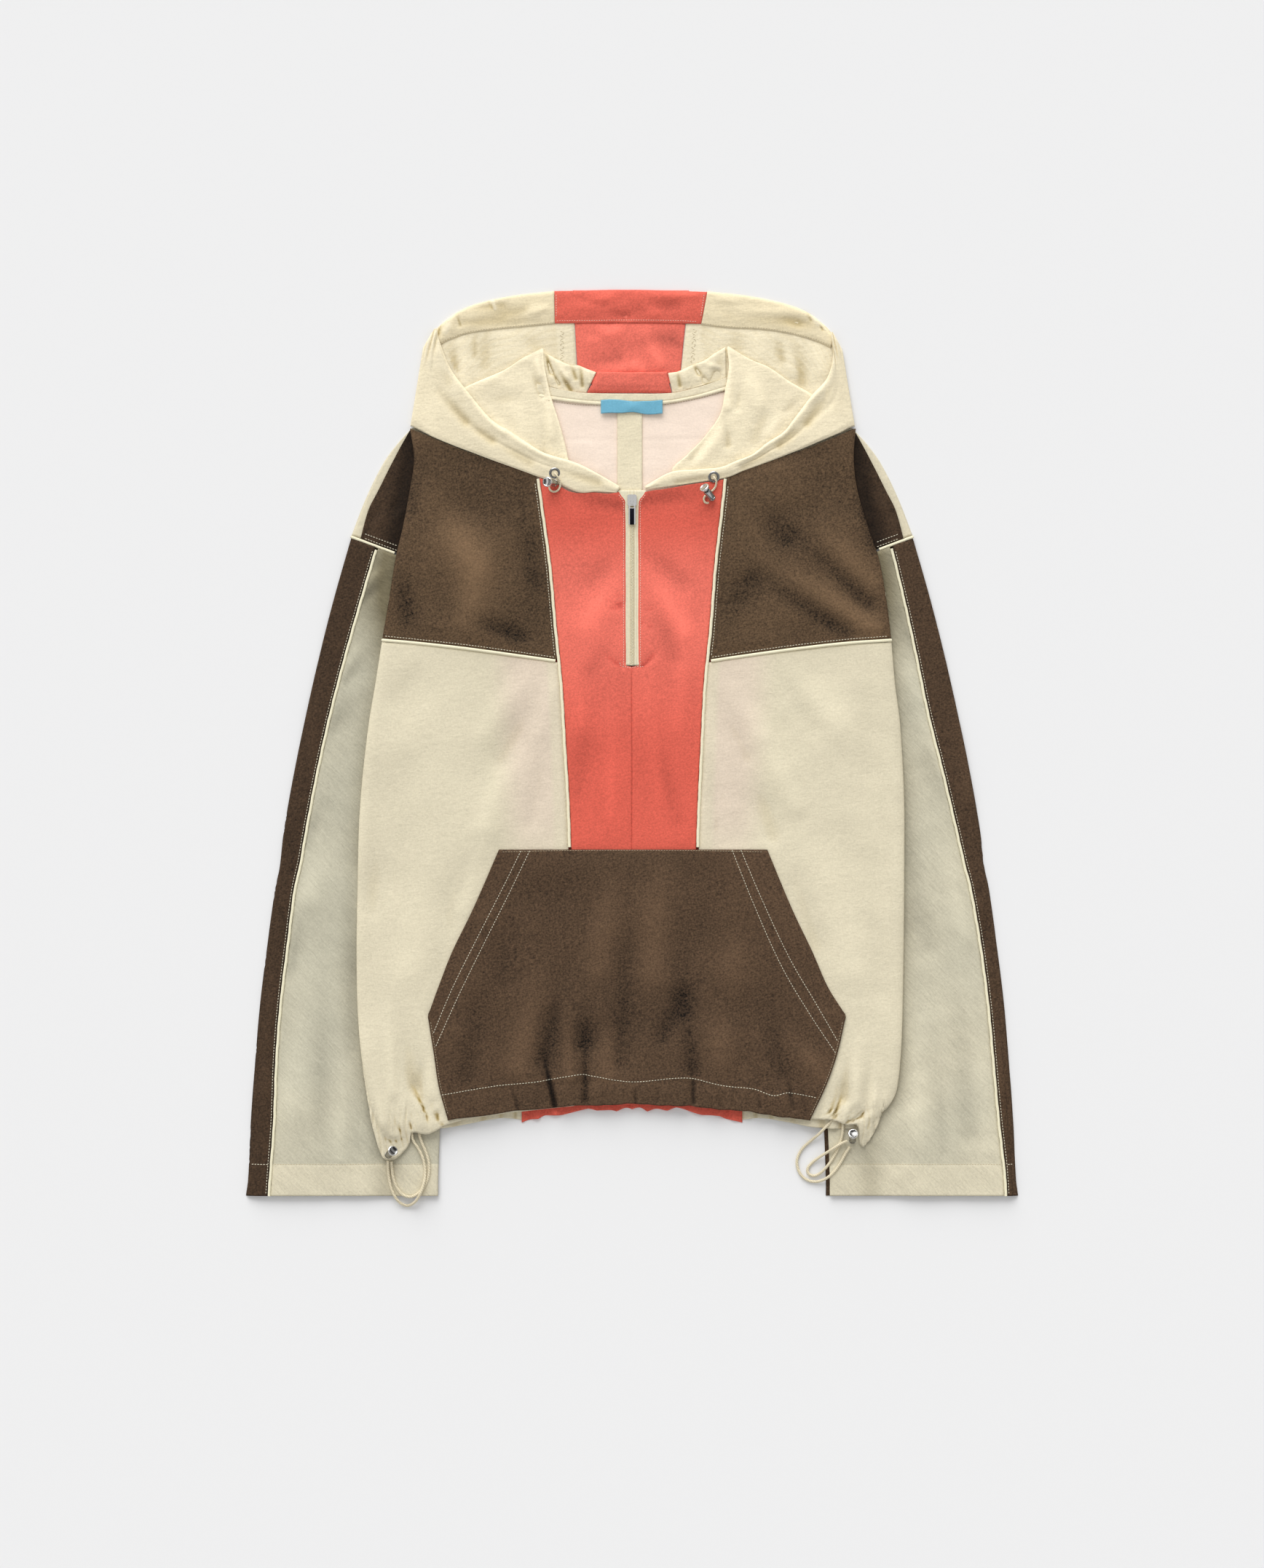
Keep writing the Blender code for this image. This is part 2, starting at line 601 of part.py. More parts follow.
def build_back():
    seam = SEAM_GAP / 2

    def centre(u, v):
        x = 2 * u - 1
        stations, heights = zip(*SHOULDER_LINE)
        foot = back_hem(x * BACK_HEM_HALF)
        y = foot + (smooth_value(stations, heights, abs(x) * (130 - seam)) - foot) * v
        half = abs(x) * (back_seam(y) - seam)
        return world(None, math.copysign(half, x), y, back_height(half, y))

    wall("back_centre", 12, 12, centre, "coral")

    for side in SIDES:
        outer = [Point(190, 303.6), Point(190, 245), Point(195, 210), Point(208, 186)]
        outer_ys = (150, 100, 50, 0, -60, -130, -200, -270, -320, -350)
        outer += [Point(body_side(side, y) - 0.2, y) for y in outer_ys]
        foot_halves = (BACK_HEM_HALF + SEAM_GAP, 120, 137, 155, 170, 190, 210)
        foot_points = [Point(half, back_hem(half)) for half in foot_halves]
        foot = line(foot_points + [outer[-1]])
        head = line([Point(130.4, 322.2), Point(150, 316.6), Point(170, 310.3), Point(190, 303.6)])
        near_ys = (foot_points[0].y, -250, -150, -50, 50, 150, 250, 322.2)
        near = line([Point(back_seam(y) + seam, y) for y in near_ys])
        plane = filled(foot, head, near, line(outer[::-1]))

        def place(u, v, side=side, plane=plane):
            half, y = plane(u, v)
            return world(side, half, y, back_height(half, y))

        vs = [0, 0.06, 0.17, 0.31, 0.46, 0.6, 0.71, 0.78, 0.82, 0.85, 0.88, 0.92, 1]
        wall(f"back_side_{side}", 8, None, place, "cream", vs=vs)

        near_foot, far_foot = (Point(half, armhole_y(half) + 1.9) for half in (201, 262))
        inner = line([near_foot, Point(196.4, 212), Point(191.4, 245), Point(191.2, 300)])
        sleeve_end = straight(near_foot, far_foot)
        tip = straight((191.2, 300), (205.5, 298.6))
        edge = line((far_foot,) + SHOULDER_BACK[::-1][1:-1] + (Point(205.5, 298.6),))
        shoulder = filled(sleeve_end, tip, inner, edge)

        def shoulder_place(u, v, side=side, shoulder=shoulder):
            half, y = shoulder(u, v)
            return world(side, half, y, CLOTH / 2)

        wall(f"back_shoulder_{side}", 4, 8, shoulder_place, "cream")


def build_neck():
    """The pale lining, tapes and blank label that show inside the neck."""
    lining_z = CLOTH + LAYER_GAP + CLOTH / 2
    trim_z = lining_z + CLOTH + 0.3
    head = line([Point(-100, 330.5), Point(-60, 330), Point(0, 329.3), Point(60, 331), Point(100, 334.5)])
    low_left, low_right = (-LINING_HALF, LINING_FOOT_Y), (LINING_HALF, LINING_FOOT_Y)
    sides = (straight(low_left, head(0)), straight(low_right, head(1)))
    plane = filled(straight(low_left, low_right), head, *sides)
    wall("back_lining", 8, 6, lambda u, v: world(None, *plane(u, v), lining_z), "pink")
    low, high = line(TAPE_LOW), line(TAPE_HIGH)
    band = filled(low, high, straight(low(0), high(0)), straight(low(1), high(1)))

    def tape(u, v):
        x, y = band(u, v)
        return world(None, x, y, trim_z + 0.4 * v * (1 - ramp((abs(x) - 62) / 12)))

    wall("neck_tape", 18, 1, tape, "cream")

    def hanger(u, v):
        x = HANGER_LEFT + (HANGER_RIGHT - HANGER_LEFT) * u
        return world(None, x, LINING_FOOT_Y + (HANGER_TOP_Y - LINING_FOOT_Y) * v, trim_z)

    wall("hanger_tape", 2, 8, hanger, "cream")

    def label(u, v):
        wave = math.sin(u * 2 * math.pi) + 0.3 * math.sin(u * 14)
        y = LABEL_FOOT_Y + LABEL_HEIGHT * v + 0.6 * wave
        z = trim_z + CLOTH + 0.5 + 0.35 * (1 + wave) * (1 - v)
        return world(None, LABEL_LEFT + LABEL_WIDTH * u, y, z)

    wall("neck_label", 12, 1, label, "blue")


def build_front():
    half_piping = PIPING_WIDTH / 2 + SEAM_GAP
    for side in SIDES:
        build_front_centre(side)
        build_yoke(side, half_piping)
        build_front_side(side, half_piping)
        build_front_shoulder(side)
    build_pocket()


def build_front_centre(side):
    neck = line(NECK_FRONT[side][::-1])
    foot = straight((0.25, HEM_Y), (by_side(CENTRE_SIDE, side, HEM_Y - 1), HEM_Y - 1))
    low, above = ZIP_END_Y - 0.6, ZIP_END_Y + 0.6
    rows_y = [HEM_Y, -260, -180, -100, -30, 30, low, above, 120, 165, 205, 226, 238]
    vs = [(y - HEM_Y) / (238 - HEM_Y) for y in rows_y]

    def place(u, v):
        y_head = neck(u)[1] - 1.4
        y_foot = foot(u)[1]
        y = y_foot + (y_head - y_foot) * v
        slit = ZIP_SLIT_HALF if v > (ZIP_END_Y - HEM_Y) / (238 - HEM_Y) else 0.25
        half = slit + (centre_side(side, y) - slit) * u
        return world(side, half, y, front_height(side, half, y))

    wall(f"front_centre_{side}", None, None, place, "coral", us=[0, 0.3, 0.52, 0.7, 0.84, 1], vs=vs)


def build_yoke(side, half_piping):
    foot_points = [Point(p.x, p.y + half_piping) for p in YOKE_FOOT[:-1]]
    foot = line(foot_points + [Point(body_side(side, 102), 102)])
    head = line([Point(p.x, p.y - 1.1) for p in YOKE_TOP])
    top = YOKE_TOP[0].y - 1.1
    ys = [foot(0)[1] + (top - foot(0)[1]) * i / 8 for i in range(9)]
    near = line([Point(centre_side(side, y) + 2 * half_piping, y) for y in ys])
    far = line([Point(body_side(side, y), y) for y in (102, 140, 180, 203, 241, 270, 297.9)])
    plane = filled(foot, head, near, far)

    def place(u, v):
        half, y = plane(u, v)
        return world(side, half, y, front_height(side, half, y))

    wall(f"front_yoke_{side}", None, 8, place, "brown", us=edge_crowded(6))


def build_front_side(side, half_piping):
    foot_points = [Point(centre_side(side, HEM_Y) + 2 * half_piping, HEM_Y - 1)]
    corner = HEM_CORNER_Y[side]
    foot = line(foot_points + list(GATHERED_HEM[side]) + [Point(body_side(side, corner), corner)])
    head_points = [Point(p.x, p.y - half_piping) for p in YOKE_FOOT[:-1]]
    head_points.append(Point(body_side(side, 98.5), 98.5))
    head = line(head_points)

    near_ys = (HEM_Y - 1, -280, -220, -160, -108, -94, -60, -20, 20, 50, head_points[0].y)
    near = line([Point(centre_side(side, y) + 2 * half_piping, y) for y in near_ys])
    far_ys = (corner, -335, -322, -310, -290, -245, -195, -120, -50, 20, 60, 98.5)
    far = line([Point(body_side(side, y), y) for y in far_ys])
    plane = filled(foot, head, near, far)

    def place(u, v):
        half, y = plane(u, v)
        return world(side, half, y, side_height(side, half, y))

    vs = [0, 0.03, 0.07, 0.12, 0.18, 0.25] + [0.25 + 0.75 * i / 6 for i in range(1, 7)]
    us = [0, 0.15, 0.3, 0.41, 0.51, 0.6, 0.67, 0.735, 0.79, 0.84, 0.885, 0.925, 0.955, 0.982, 1.0]
    wall(f"front_side_{side}", None, None, place, "cream", us=us, vs=vs)


def build_front_shoulder(side):
    """The yoke's shoulder end, which turns under at the fold and reaches the armhole seam."""
    seam_y = 2.0
    start = body_side(side, 184) - 8
    near_foot, far_foot = (Point(half, armhole_y(half) + seam_y) for half in (start, 253.5))
    foot = straight(near_foot, far_foot)
    head = straight((199.5, 295), (206.5, 298))
    near = [Point(body_side(side, y) - 8, y) for y in (203, 241, 270)]
    near = line([near_foot] + near + [Point(199.5, 295)])
    far = line((far_foot,) + SHOULDER_FRONT[::-1][1:-1] + (Point(206.5, 298),))
    plane = filled(foot, head, near, far)

    def place(u, v):
        half, y = plane(u, v)
        z = 2.25 + 0.35 * ramp((215 - y) / 20) * ramp((half - body_side(side, y)) / 8)
        return world(side, half, y, z)

    wall(f"front_shoulder_{side}", 5, 8, place, "brown")


def pocket_foot(x):
    return -332.5 - 14 * (abs(x) / POCKET_HEM_HALF) ** 2.2 - 1.1 * abs(math.sin(x / 17.0))


def pocket_edge(x_fraction, y):
    side = "L" if x_fraction < 0 else "R"
    return abs(x_fraction) * by_side(POCKET_SIDE, side, y)


def build_pocket():
    """The kangaroo pocket, laid on the front from its points, moved up, with its own hem folds."""
    def place(u, v):
        share = 2 * u - 1
        foot = pocket_foot(share * POCKET_HEM_HALF)
        y = foot + (POCKET_TOP_Y - foot) * v
        half = pocket_edge(share, y)
        side = "L" if share < 0 else "R"
        x = math.copysign(half, share)
        z = front_height(side, half, y) + POCKET_LIFT + folds(POCKET_FOLDS, x, y, -340)
        return world(None, x, y, z)

    vs = [0, 0.05, 0.12, 0.2, 0.29, 0.37, 0.48, 0.64, 0.82, 1.0]
    wall("pocket", None, None, place, "brown", us=[i / 28 for i in range(29)], vs=vs)


def strip(side, y):
    return column(SLEEVE, "strip_left" if side == "L" else "strip_right", y)


def sleeve_row(v, inset, half_at):
    """The y of a sleeve point at share v from cuff to armhole, where half_at(y) is its half width."""
    y = CUFF_Y * (1 - v) + 190 * v
    for _ in range(4):
        y = CUFF_Y + (armhole_y(half_at(y)) - inset - CUFF_Y) * v
    return y


def build_sleeves():
    half_piping = PIPING_WIDTH / 2 + SEAM_GAP
    across_front = [0, 0.012, 0.035, 0.12, 0.3, 0.48, 0.66, 0.83, 1]
    for side in SIDES:
        reveal = 3.5 if side == "R" else 0.0

        def front(u, v, side=side, reveal=reveal):
            def half_at(y):
                outer = column(SLEEVE, "outer", y) - strip(side, y) - half_piping
                inner = column(SLEEVE, "inner", y) + reveal
                return inner + (outer - inner) * u

            y = sleeve_row(v, 1.9, half_at)
            half = half_at(y)
            return world(side, half, y, sleeve_height(side, half, y))

        wall(f"sleeve_front_{side}", None, 12, front, "sheer", us=across_front)

        def back(u, v, side=side):
            k = round(u * SLEEVE_BACK_STATIONS)

            def half_at(y):
                outer = column(SLEEVE, "outer", y)
                width = strip(side, y) - half_piping
                insets = (width, width * 0.5, 4.2, 1.5, 0.6, 1.6, 4.6)
                if k < len(insets):
                    return outer - insets[k]
                inner = column(SLEEVE, "inner", y)
                share = (k - len(insets) + 1) / (SLEEVE_BACK_STATIONS - len(insets) + 1)
                return outer - 4.6 + (inner - outer + 4.6) * share

            y = sleeve_row(v, 1.9, half_at)
            half = half_at(y)
            top = sleeve_height(side, column(SLEEVE, "outer", y) - strip(side, y), y)
            heights = (top, 3.1 + 0.62 * (top - 3.1), 3.0, 2.6, 1.7, 0.8, 0.5)
            return world(side, half, y, heights[k] if k < len(heights) else CLOTH / 2)

        wall(f"sleeve_back_{side}", SLEEVE_BACK_STATIONS, 12, back, "brown")


def build_piping():
    radius = PIPING_WIDTH / 2
    for side in SIDES:
        centre_ys = [-92.5 + (251 + 92.5) * i / 14 for i in range(15)]
        seam = PIPING_WIDTH / 2 + SEAM_GAP
        points = []
        for y in centre_ys:
            half = centre_side(side, y) + seam
            points.append(world(side, half, y, front_height(side, half, y) + 0.5))
        rod(f"piping_centre_{side}", points, radius, "cream")

        foot = line([Point(centre_side(side, 81) + 2 * seam + 1.6, 81.2)] + list(YOKE_FOOT[1:-1])
                    + [Point(body_side(side, 100.4) - 0.2, 100.4)])
        points = []
        for i in [0, 1, 2, 3, 4, 5, 6, 7, 8, 9, 9.5, 9.8, 10]:
            half, y = foot(i / 10)
            points.append(world(side, half, y, front_height(side, half, y) + 0.5))
        rod(f"piping_yoke_{side}", points, radius, "cream")

        start = 262.5
        stop = body_side(side, 184) + 3.0
        points = []
        for i in range(7):
            half = start + (stop - start) * i / 6
            points.append(world(side, half, armhole_y(half), 2.6 + 0.4 * (1 - i / 6)))
        rod(f"piping_armhole_{side}", points, radius - 0.1, "cream")

        def seam_half(y, side=side):
            return column(SLEEVE, "outer", y) - strip(side, y)

        points = []
        for i in range(13):
            y = sleeve_row(i / 12, 3.6, seam_half)
            half = seam_half(y)
            points.append(world(side, half, y, sleeve_height(side, half, y) + 0.4))
        rod(f"piping_sleeve_{side}", points, radius - 0.1, "cream")


def hood_place(side, u, v):
    """A point of a hood side: u counts its sections, and v runs from the rim to the neck seam."""
    rows = HOOD_SECTIONS[side]
    stations = list(range(len(rows)))
    s = u * (len(rows) - 1)

    def read(name):
        return smooth_value(stations, [getattr(row, name) for row in rows], s)

    rim = Vector((read("rim_x"), read("rim_y"), read("rim_z")))
    seam = Vector((read("seam_x"), read("seam_y"), read("seam_z")))
    point = rim.lerp(seam, v)
    front = ramp((s - 9) / 2)
    point.z += front * 0.8 * math.sin(math.pi * v) ** 2
    if front > 0:
        point.z += front * ramp(v * 1.6 - 0.6) * (front_height(side, point.x, point.y - 0.4) - seam.z)
    return point


def build_hood():
    for side in SIDES:
        count = len(HOOD_SECTIONS[side]) - 1
        vs = [0, 0.15, 0.37, 0.62, 0.84, 1]

        def place(u, v, side=side):
            point = hood_place(side, u, v)
            return world(side, point.x, point.y, point.z)

        us = [i / count for i in range(count + 1)]
        wall(f"hood_side_{side}", None, None, place, "cream", us=us, vs=vs)

    def centre(u, v):
        row = HOOD_CENTRE[round(v * (len(HOOD_CENTRE) - 1))]
        x = -row.left + (row.left + row.right) * u
        sag = 0.8 * (1 - (2 * u - 1) ** 2) if row.z > 2.4 else 0.0
        return world(None, x, row.y - sag, row.z)

    wall("hood_centre", 8, len(HOOD_CENTRE) - 1, centre, "coral")
    build_stands()
    build_flaps()
    build_casings()


def build_stands():
    """The cream hood cloth that stands up beside the coral centre, from the neck seam to the ridge."""
    for side in SIDES:
        neck, ridge = STAND_NECK[side], STAND_RIDGE[side]
        plane = filled(line(neck), line(ridge), straight(neck[0], ridge[0]), straight(neck[-1], ridge[-1]))

        def place(u, v, side=side, plane=plane):
            half, y = plane(u, v)
            crease = 0.25 * math.sin(u * 9) * math.sin(math.pi * v)
            foot_z = 0.85 + 1.0 * ramp(u * 1.3)
            return world(side, half, y, foot_z + (3.25 - foot_z) * ramp(v * 1.5) + crease)

        wall(f"hood_stand_{side}", 7, 5, place, "cream")


def build_flaps():
    """The hood cloth folded in beside the neck, each with its peak, its open edge and its hidden foot."""
    for side in SIDES:
        top, edge = FLAP_TOP[side], FLAP_EDGE[side]
        plane = filled(straight(top[0], edge[0]), line(FLAP_FOOT[side]), line(top), line(edge))

        def place(u, v, side=side, plane=plane):
            half, y = plane(u, v)
            bulge = 0.7 * math.sin(math.pi * u) * math.sin(math.pi * v)
            return world(side, half, y, 3.9 + 0.7 * ramp(u * 1.4) - 0.25 * ramp((v - 0.7) / 0.3) + bulge)

        wall(f"hood_flap_{side}", 7, 9, place, "cream")


def build_casings():
    """The hem of the hood's rim, turned to the inside that shows, in three lengths."""
    z = CLOTH + LAYER_GAP + 0.6
    plane = filled(line([Point(-72, 396.4), Point(0, 397), Point(64.5, 396)]),
                   line([Point(-72.4, 424.4), Point(0, 427), Point(70.2, 424)]),
                   straight((-72, 396.4), (-72.4, 424.4)), straight((64.5, 396), (70.2, 424)))

    def centre(u, v):
        return world(None, *plane(u, v), z)

    wall("hood_casing_centre", 10, 3, centre, "coral", thickness=CASING_WALL)
    for side in SIDES:
        stitch, rim = CASING_STITCH[side], CASING_RIM[side]
        plane = filled(line(stitch), line(rim), straight(stitch[0], rim[0]), straight(stitch[-1], rim[-1]))

        def place(u, v, side=side, plane=plane):
            return world(side, *plane(u, v), z)

        wall(f"hood_casing_{side}", 10, 3, place, "cream", thickness=CASING_WALL)


def build_zip():
    """The tape, a slider with an arched bail, and a pull whose bar turns under the arch."""
    def tape(u, v):
        y = ZIP_END_Y + 1.4 + (ZIP_TOP_Y - 3 - ZIP_END_Y) * v
        return world(None, (ZIP_SLIT_HALF - 0.7) * (2 * u - 1), y, TAPE_Z)

    wall("zip_tape", 2, 8, tape, "cream")
    plate = bmesh.new()
    box(plate, (0, 0, SLIDER_SEAT + SLIDER_PLATE / 2), (8.6, 10.5, SLIDER_PLATE), 1.6)
    slider = finish("zip_slider", plate, "steel")
    top = SLIDER_SEAT + SLIDER_PLATE
    arch = bmesh.new()
    box(arch, (0, 0, top + 1.6), (2.2, 8.2, 3.6), 0.5)
    join(slider, finish("bail", arch, "steel"), "UNION")
    slot = bmesh.new()
    box(slot, (0, 0, top + PULL_AXIS_RISE), (6, 4.4, 2.4), 0)
    join(slider, finish("bail_slot", slot, "steel"), "DIFFERENCE")
    slider.location = world(None, 0, SLIDER_Y, 0)
    build_pull(top + PULL_AXIS_RISE)


def build_pull(axis_z):
    """The pull lies down the zip: a bar under the bail, two arms past it and a tab."""
    tab = bmesh.new()
    box(tab, (0, -14.4, 0), (6.4, 16.8, PULL_THICKNESS), 0.6)
    pull = finish("zip_pull", tab, "steel")
    arms = bmesh.new()
    box(arms, (0, -3.6, 0), (6.4, 8.7, PULL_THICKNESS), 0.3)
    join(pull, finish("pull_arms", arms, "steel"), "UNION")
    window = bmesh.new()
    box(window, (0, -3.95, 0), (3.6, 6.3, 4), 0)
    join(pull, finish("pull_window", window, "steel"), "DIFFERENCE")
    pull.location = world(None, 0, SLIDER_Y, axis_z)
    pull.rotation_euler = (math.radians(PULL_REST_TILT), 0, 0)


def turned(name, profile, steps=12):
    """A round piece: the closed profile of (radius, height) points turned about Z."""
    bm = bmesh.new()
    verts = [bm.verts.new((radius * MM, 0, height * MM)) for radius, height in profile]
    edges = [bm.edges.new((a, b)) for a, b in zip(verts, verts[1:] + verts[:1]) if a.co.x + b.co.x > 0]
    bmesh.ops.spin(bm, geom=verts + edges, axis=(0, 0, 1), cent=(0, 0, 0), angle=2 * math.pi, steps=steps,
                   use_merge=True)
    bmesh.ops.remove_doubles(bm, verts=bm.verts, dist=0.005 * MM)
    bmesh.ops.recalc_face_normals(bm, faces=bm.faces)
    return finish(name, bm, "steel")


def build_eyelets():
    for side, spot in EYELETS.items():
        profile = ((EYELET_INNER, 0.15), (EYELET_OUTER, 0), (EYELET_OUTER - 0.7, EYELET_HEIGHT),
                   (EYELET_INNER + 0.5, EYELET_HEIGHT))
        eyelet = turned(f"eyelet_{side}", profile)
        eyelet.location = world(None, spot.x, spot.y, spot.z)
        eyelet.rotation_euler = (math.radians(spot.slope), 0, 0)


def build_locks():
    """Each cord lock: a barrel with a blind bore, and a headed plunger that slides into it."""
    barrel = ((0, 0), (LOCK_BARREL_RADIUS - 0.5, 0), (LOCK_BARREL_RADIUS, 0.5),
              (LOCK_BARREL_RADIUS, LOCK_BARREL_LENGTH), (LOCK_BORE_RADIUS, LOCK_BARREL_LENGTH),
              (LOCK_BORE_RADIUS, LOCK_BORE_FLOOR), (0, LOCK_BORE_FLOOR))
    stem_foot = LOCK_BORE_FLOOR + LOCK_TRAVEL + LOCK_CLEARANCE
    head_foot = LOCK_BARREL_LENGTH + LOCK_TRAVEL + LOCK_CLEARANCE
    head_top = head_foot + LOCK_HEAD_HEIGHT
    plunger = ((0, stem_foot), (LOCK_STEM_RADIUS, stem_foot), (LOCK_STEM_RADIUS, head_foot),
               (LOCK_HEAD_RADIUS, head_foot), (LOCK_HEAD_RADIUS, head_top - 0.5),
               (LOCK_HEAD_RADIUS - 0.5, head_top), (0, head_top))
    for name, lock in LOCKS.items():
        turn = Matrix.Rotation(math.radians(lock.heading), 4, "Z")
        lean = Matrix.Rotation(math.radians(90 - lock.tilt), 4, "Y")
        place = Matrix.Translation(world(None, lock.foot_x, lock.foot_y, lock.foot_z)) @ turn @ lean
        where, how, _ = place.decompose()
        for obj in (turned(f"lock_barrel_{name}", barrel), turned(f"lock_plunger_{name}", plunger)):
            obj.location = where
            obj.rotation_euler = how.to_euler()


def build_cords():
    for name, route in CORD_ROUTES.items():
        width = HOOD_CORD_WIDTH if name.startswith("hood") else HEM_CORD_WIDTH
        stations = [0.0]
        for a, b in zip(route, route[1:]):
            stations.append(stations[-1] + math.dist(a, b))
        count = round(stations[-1] / (3 * width))
        points = []
        for i in range(count + 1):
            s = stations[-1] * i / count
            spot = (smooth_value(stations, [p[k] for p in route], s) for k in range(3))
            points.append(world(None, *spot))
        rod(name, points, width / 2, "cord", rounding=2)


def box(bm, centre, size, corner):
    """A box in millimetres, with its upright corners rounded."""
    made = bmesh.ops.create_cube(bm, size=1.0)["verts"]
    matrix = Matrix.Translation(Vector(centre) * MM) @ Matrix.Diagonal((*(Vector(size) * MM), 1))
    bmesh.ops.transform(bm, matrix=matrix, verts=made)
    if corner:
        upright = [e for e in bm.edges if abs(e.verts[0].co.z - e.verts[1].co.z) > 0.5 * size[2] * MM]
        bmesh.ops.bevel(bm, geom=upright, offset=corner * MM, segments=2, profile=0.5,
                        affect="EDGES", material=-1)


def join(obj, other, operation):
    """Joins or cuts with a helper object, at once, and removes the helper."""
    boolean = obj.modifiers.new(operation, "BOOLEAN")
    boolean.operation = operation
    boolean.object = other
    graph = bpy.context.evaluated_depsgraph_get()
    made = bpy.data.meshes.new_from_object(obj.evaluated_get(graph))
    obj.modifiers.clear()
    obj.data = made
    bpy.data.objects.remove(other)


def main():
    clear_scene()
    build_back()
    build_neck()
    build_sleeves()
    build_front()
    build_piping()
    build_hood()
    build_zip()
    build_eyelets()
    build_locks()
    build_cords()


main()
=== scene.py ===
"""Looks of a hooded half-zip windbreaker that lies flat on its back with the hood spread open.

Sizes in the tables are in millimetres, with +Y from hem to hood. A half is a distance from the centre
line. L and R are the sides as seen from above. Every cloth piece is one fine grid that follows the
shape of its solid, given creases and then a thickness.
"""

import json
import math
from bisect import bisect_left
from collections import namedtuple

import bmesh
import bpy
import numpy as np
from bpy.props import FloatProperty, FloatVectorProperty, PointerProperty
from mathutils import Matrix, Vector
from mathutils.bvhtree import BVHTree

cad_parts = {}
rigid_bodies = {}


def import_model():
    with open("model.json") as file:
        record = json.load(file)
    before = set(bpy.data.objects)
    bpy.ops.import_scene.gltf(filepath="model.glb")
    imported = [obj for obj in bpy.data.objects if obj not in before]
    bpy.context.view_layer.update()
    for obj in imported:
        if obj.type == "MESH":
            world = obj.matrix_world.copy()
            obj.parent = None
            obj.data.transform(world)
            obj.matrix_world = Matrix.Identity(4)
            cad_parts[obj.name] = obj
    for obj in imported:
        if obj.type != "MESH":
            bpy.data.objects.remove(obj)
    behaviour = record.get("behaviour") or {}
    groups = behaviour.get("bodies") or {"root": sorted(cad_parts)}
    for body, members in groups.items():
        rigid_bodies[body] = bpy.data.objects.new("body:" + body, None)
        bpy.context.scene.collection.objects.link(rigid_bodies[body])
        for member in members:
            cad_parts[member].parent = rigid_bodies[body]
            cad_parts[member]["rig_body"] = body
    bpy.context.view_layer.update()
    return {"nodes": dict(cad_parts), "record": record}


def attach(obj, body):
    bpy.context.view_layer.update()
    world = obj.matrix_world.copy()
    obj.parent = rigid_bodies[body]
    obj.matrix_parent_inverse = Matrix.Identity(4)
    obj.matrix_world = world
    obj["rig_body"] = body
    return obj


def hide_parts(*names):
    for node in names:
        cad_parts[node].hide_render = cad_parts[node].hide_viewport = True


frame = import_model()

bl_info = {
    "name": "Half-zip windbreaker",
    "version": (1, 0, 0),
    "blender": (4, 5, 0),
    "location": "3D View > Sidebar > Windbreaker",
    "description": "Dresses a flat windbreaker in cloth, piping, stitching, zip, cords and hardware",
    "category": "Object",
}

SLOTS = {part["node"]: part["material_slot"] for part in frame["record"]["subparts"]}
MM = 0.001

# The photograph, and the point of the tables' plane that is the frame's origin
BOX_CENTRE = Vector((0.0, 4.6, 0.0))
PHOTO_PIXEL = 0.68
PHOTO_ZERO = (868.0, 1027.5)
PHOTO_SIZE = (1736, 2154)
LENS = 85.0
SENSOR = 36.0

# The same driving sizes as the solids have
CLOTH = 1.0
LAYER_GAP = 0.4
PIPING_WIDTH = 2.6
SLEEVE_STACK = 4.4
FRONT_PUFF = 3.2
SIDE_ROUNDING = 9.0
ZIP_SLIT_HALF = 5.6
ZIP_TOP_Y = 240.0
ZIP_END_Y = 75.5
HEM_Y = -333.0
CUFF_Y = -418.0
CUFF_SEAM_Y = -388.5
SLEEVE_TOP_Y = 190.0
POCKET_TOP_Y = -94.8
POCKET_LIFT = CLOTH + 0.7
POCKET_HEM_HALF = 169
TAPE_Z = 4.9
SLIDER_Y = 231.0
SLIDER_SEAT = TAPE_Z + CLOTH / 2 + 0.3
PULL_AXIS_Z = SLIDER_SEAT + 2.85
PULL_LEAN = math.radians(3.0)
HOOD_CORD_WIDTH = 1.9
HEM_CORD_WIDTH = 2.6

# Where the sewn ends of the front's panels meet the body's side fold and the armhole
YOKE_END_Y = 102
SIDE_PANEL_TOP_Y = 98.5
SHOULDER_END_HALF = 253.5

# How far in from a piped seam the cloth starts
HALF_PIPING = PIPING_WIDTH / 2 + 0.1

# Coral back panel, half width at the hem and at the shoulders
BACK_HEM_HALF = 103
BACK_TOP_HALF = 130

# Pale inside of the back, hanger tape and label
LINING_HALF = 92
LINING_FOOT_Y = 228
HANGER_LEFT = -13.7
HANGER_SIZE = (23.3, 91.4)
LABEL_LEFT = -29
LABEL_Y = 318.1
LABEL_SIZE = (57.5, 12.6)

# The lowest that the middle of a cloth lies, the width under which a crease is sharp, and how far in
# from an edge the light catches it
FLOOR_CLEARANCE = 0.43
SHARP_CREASE = 3.0
EDGE_GLOW = 2.2

SIDES = {"L": -1, "R": 1}

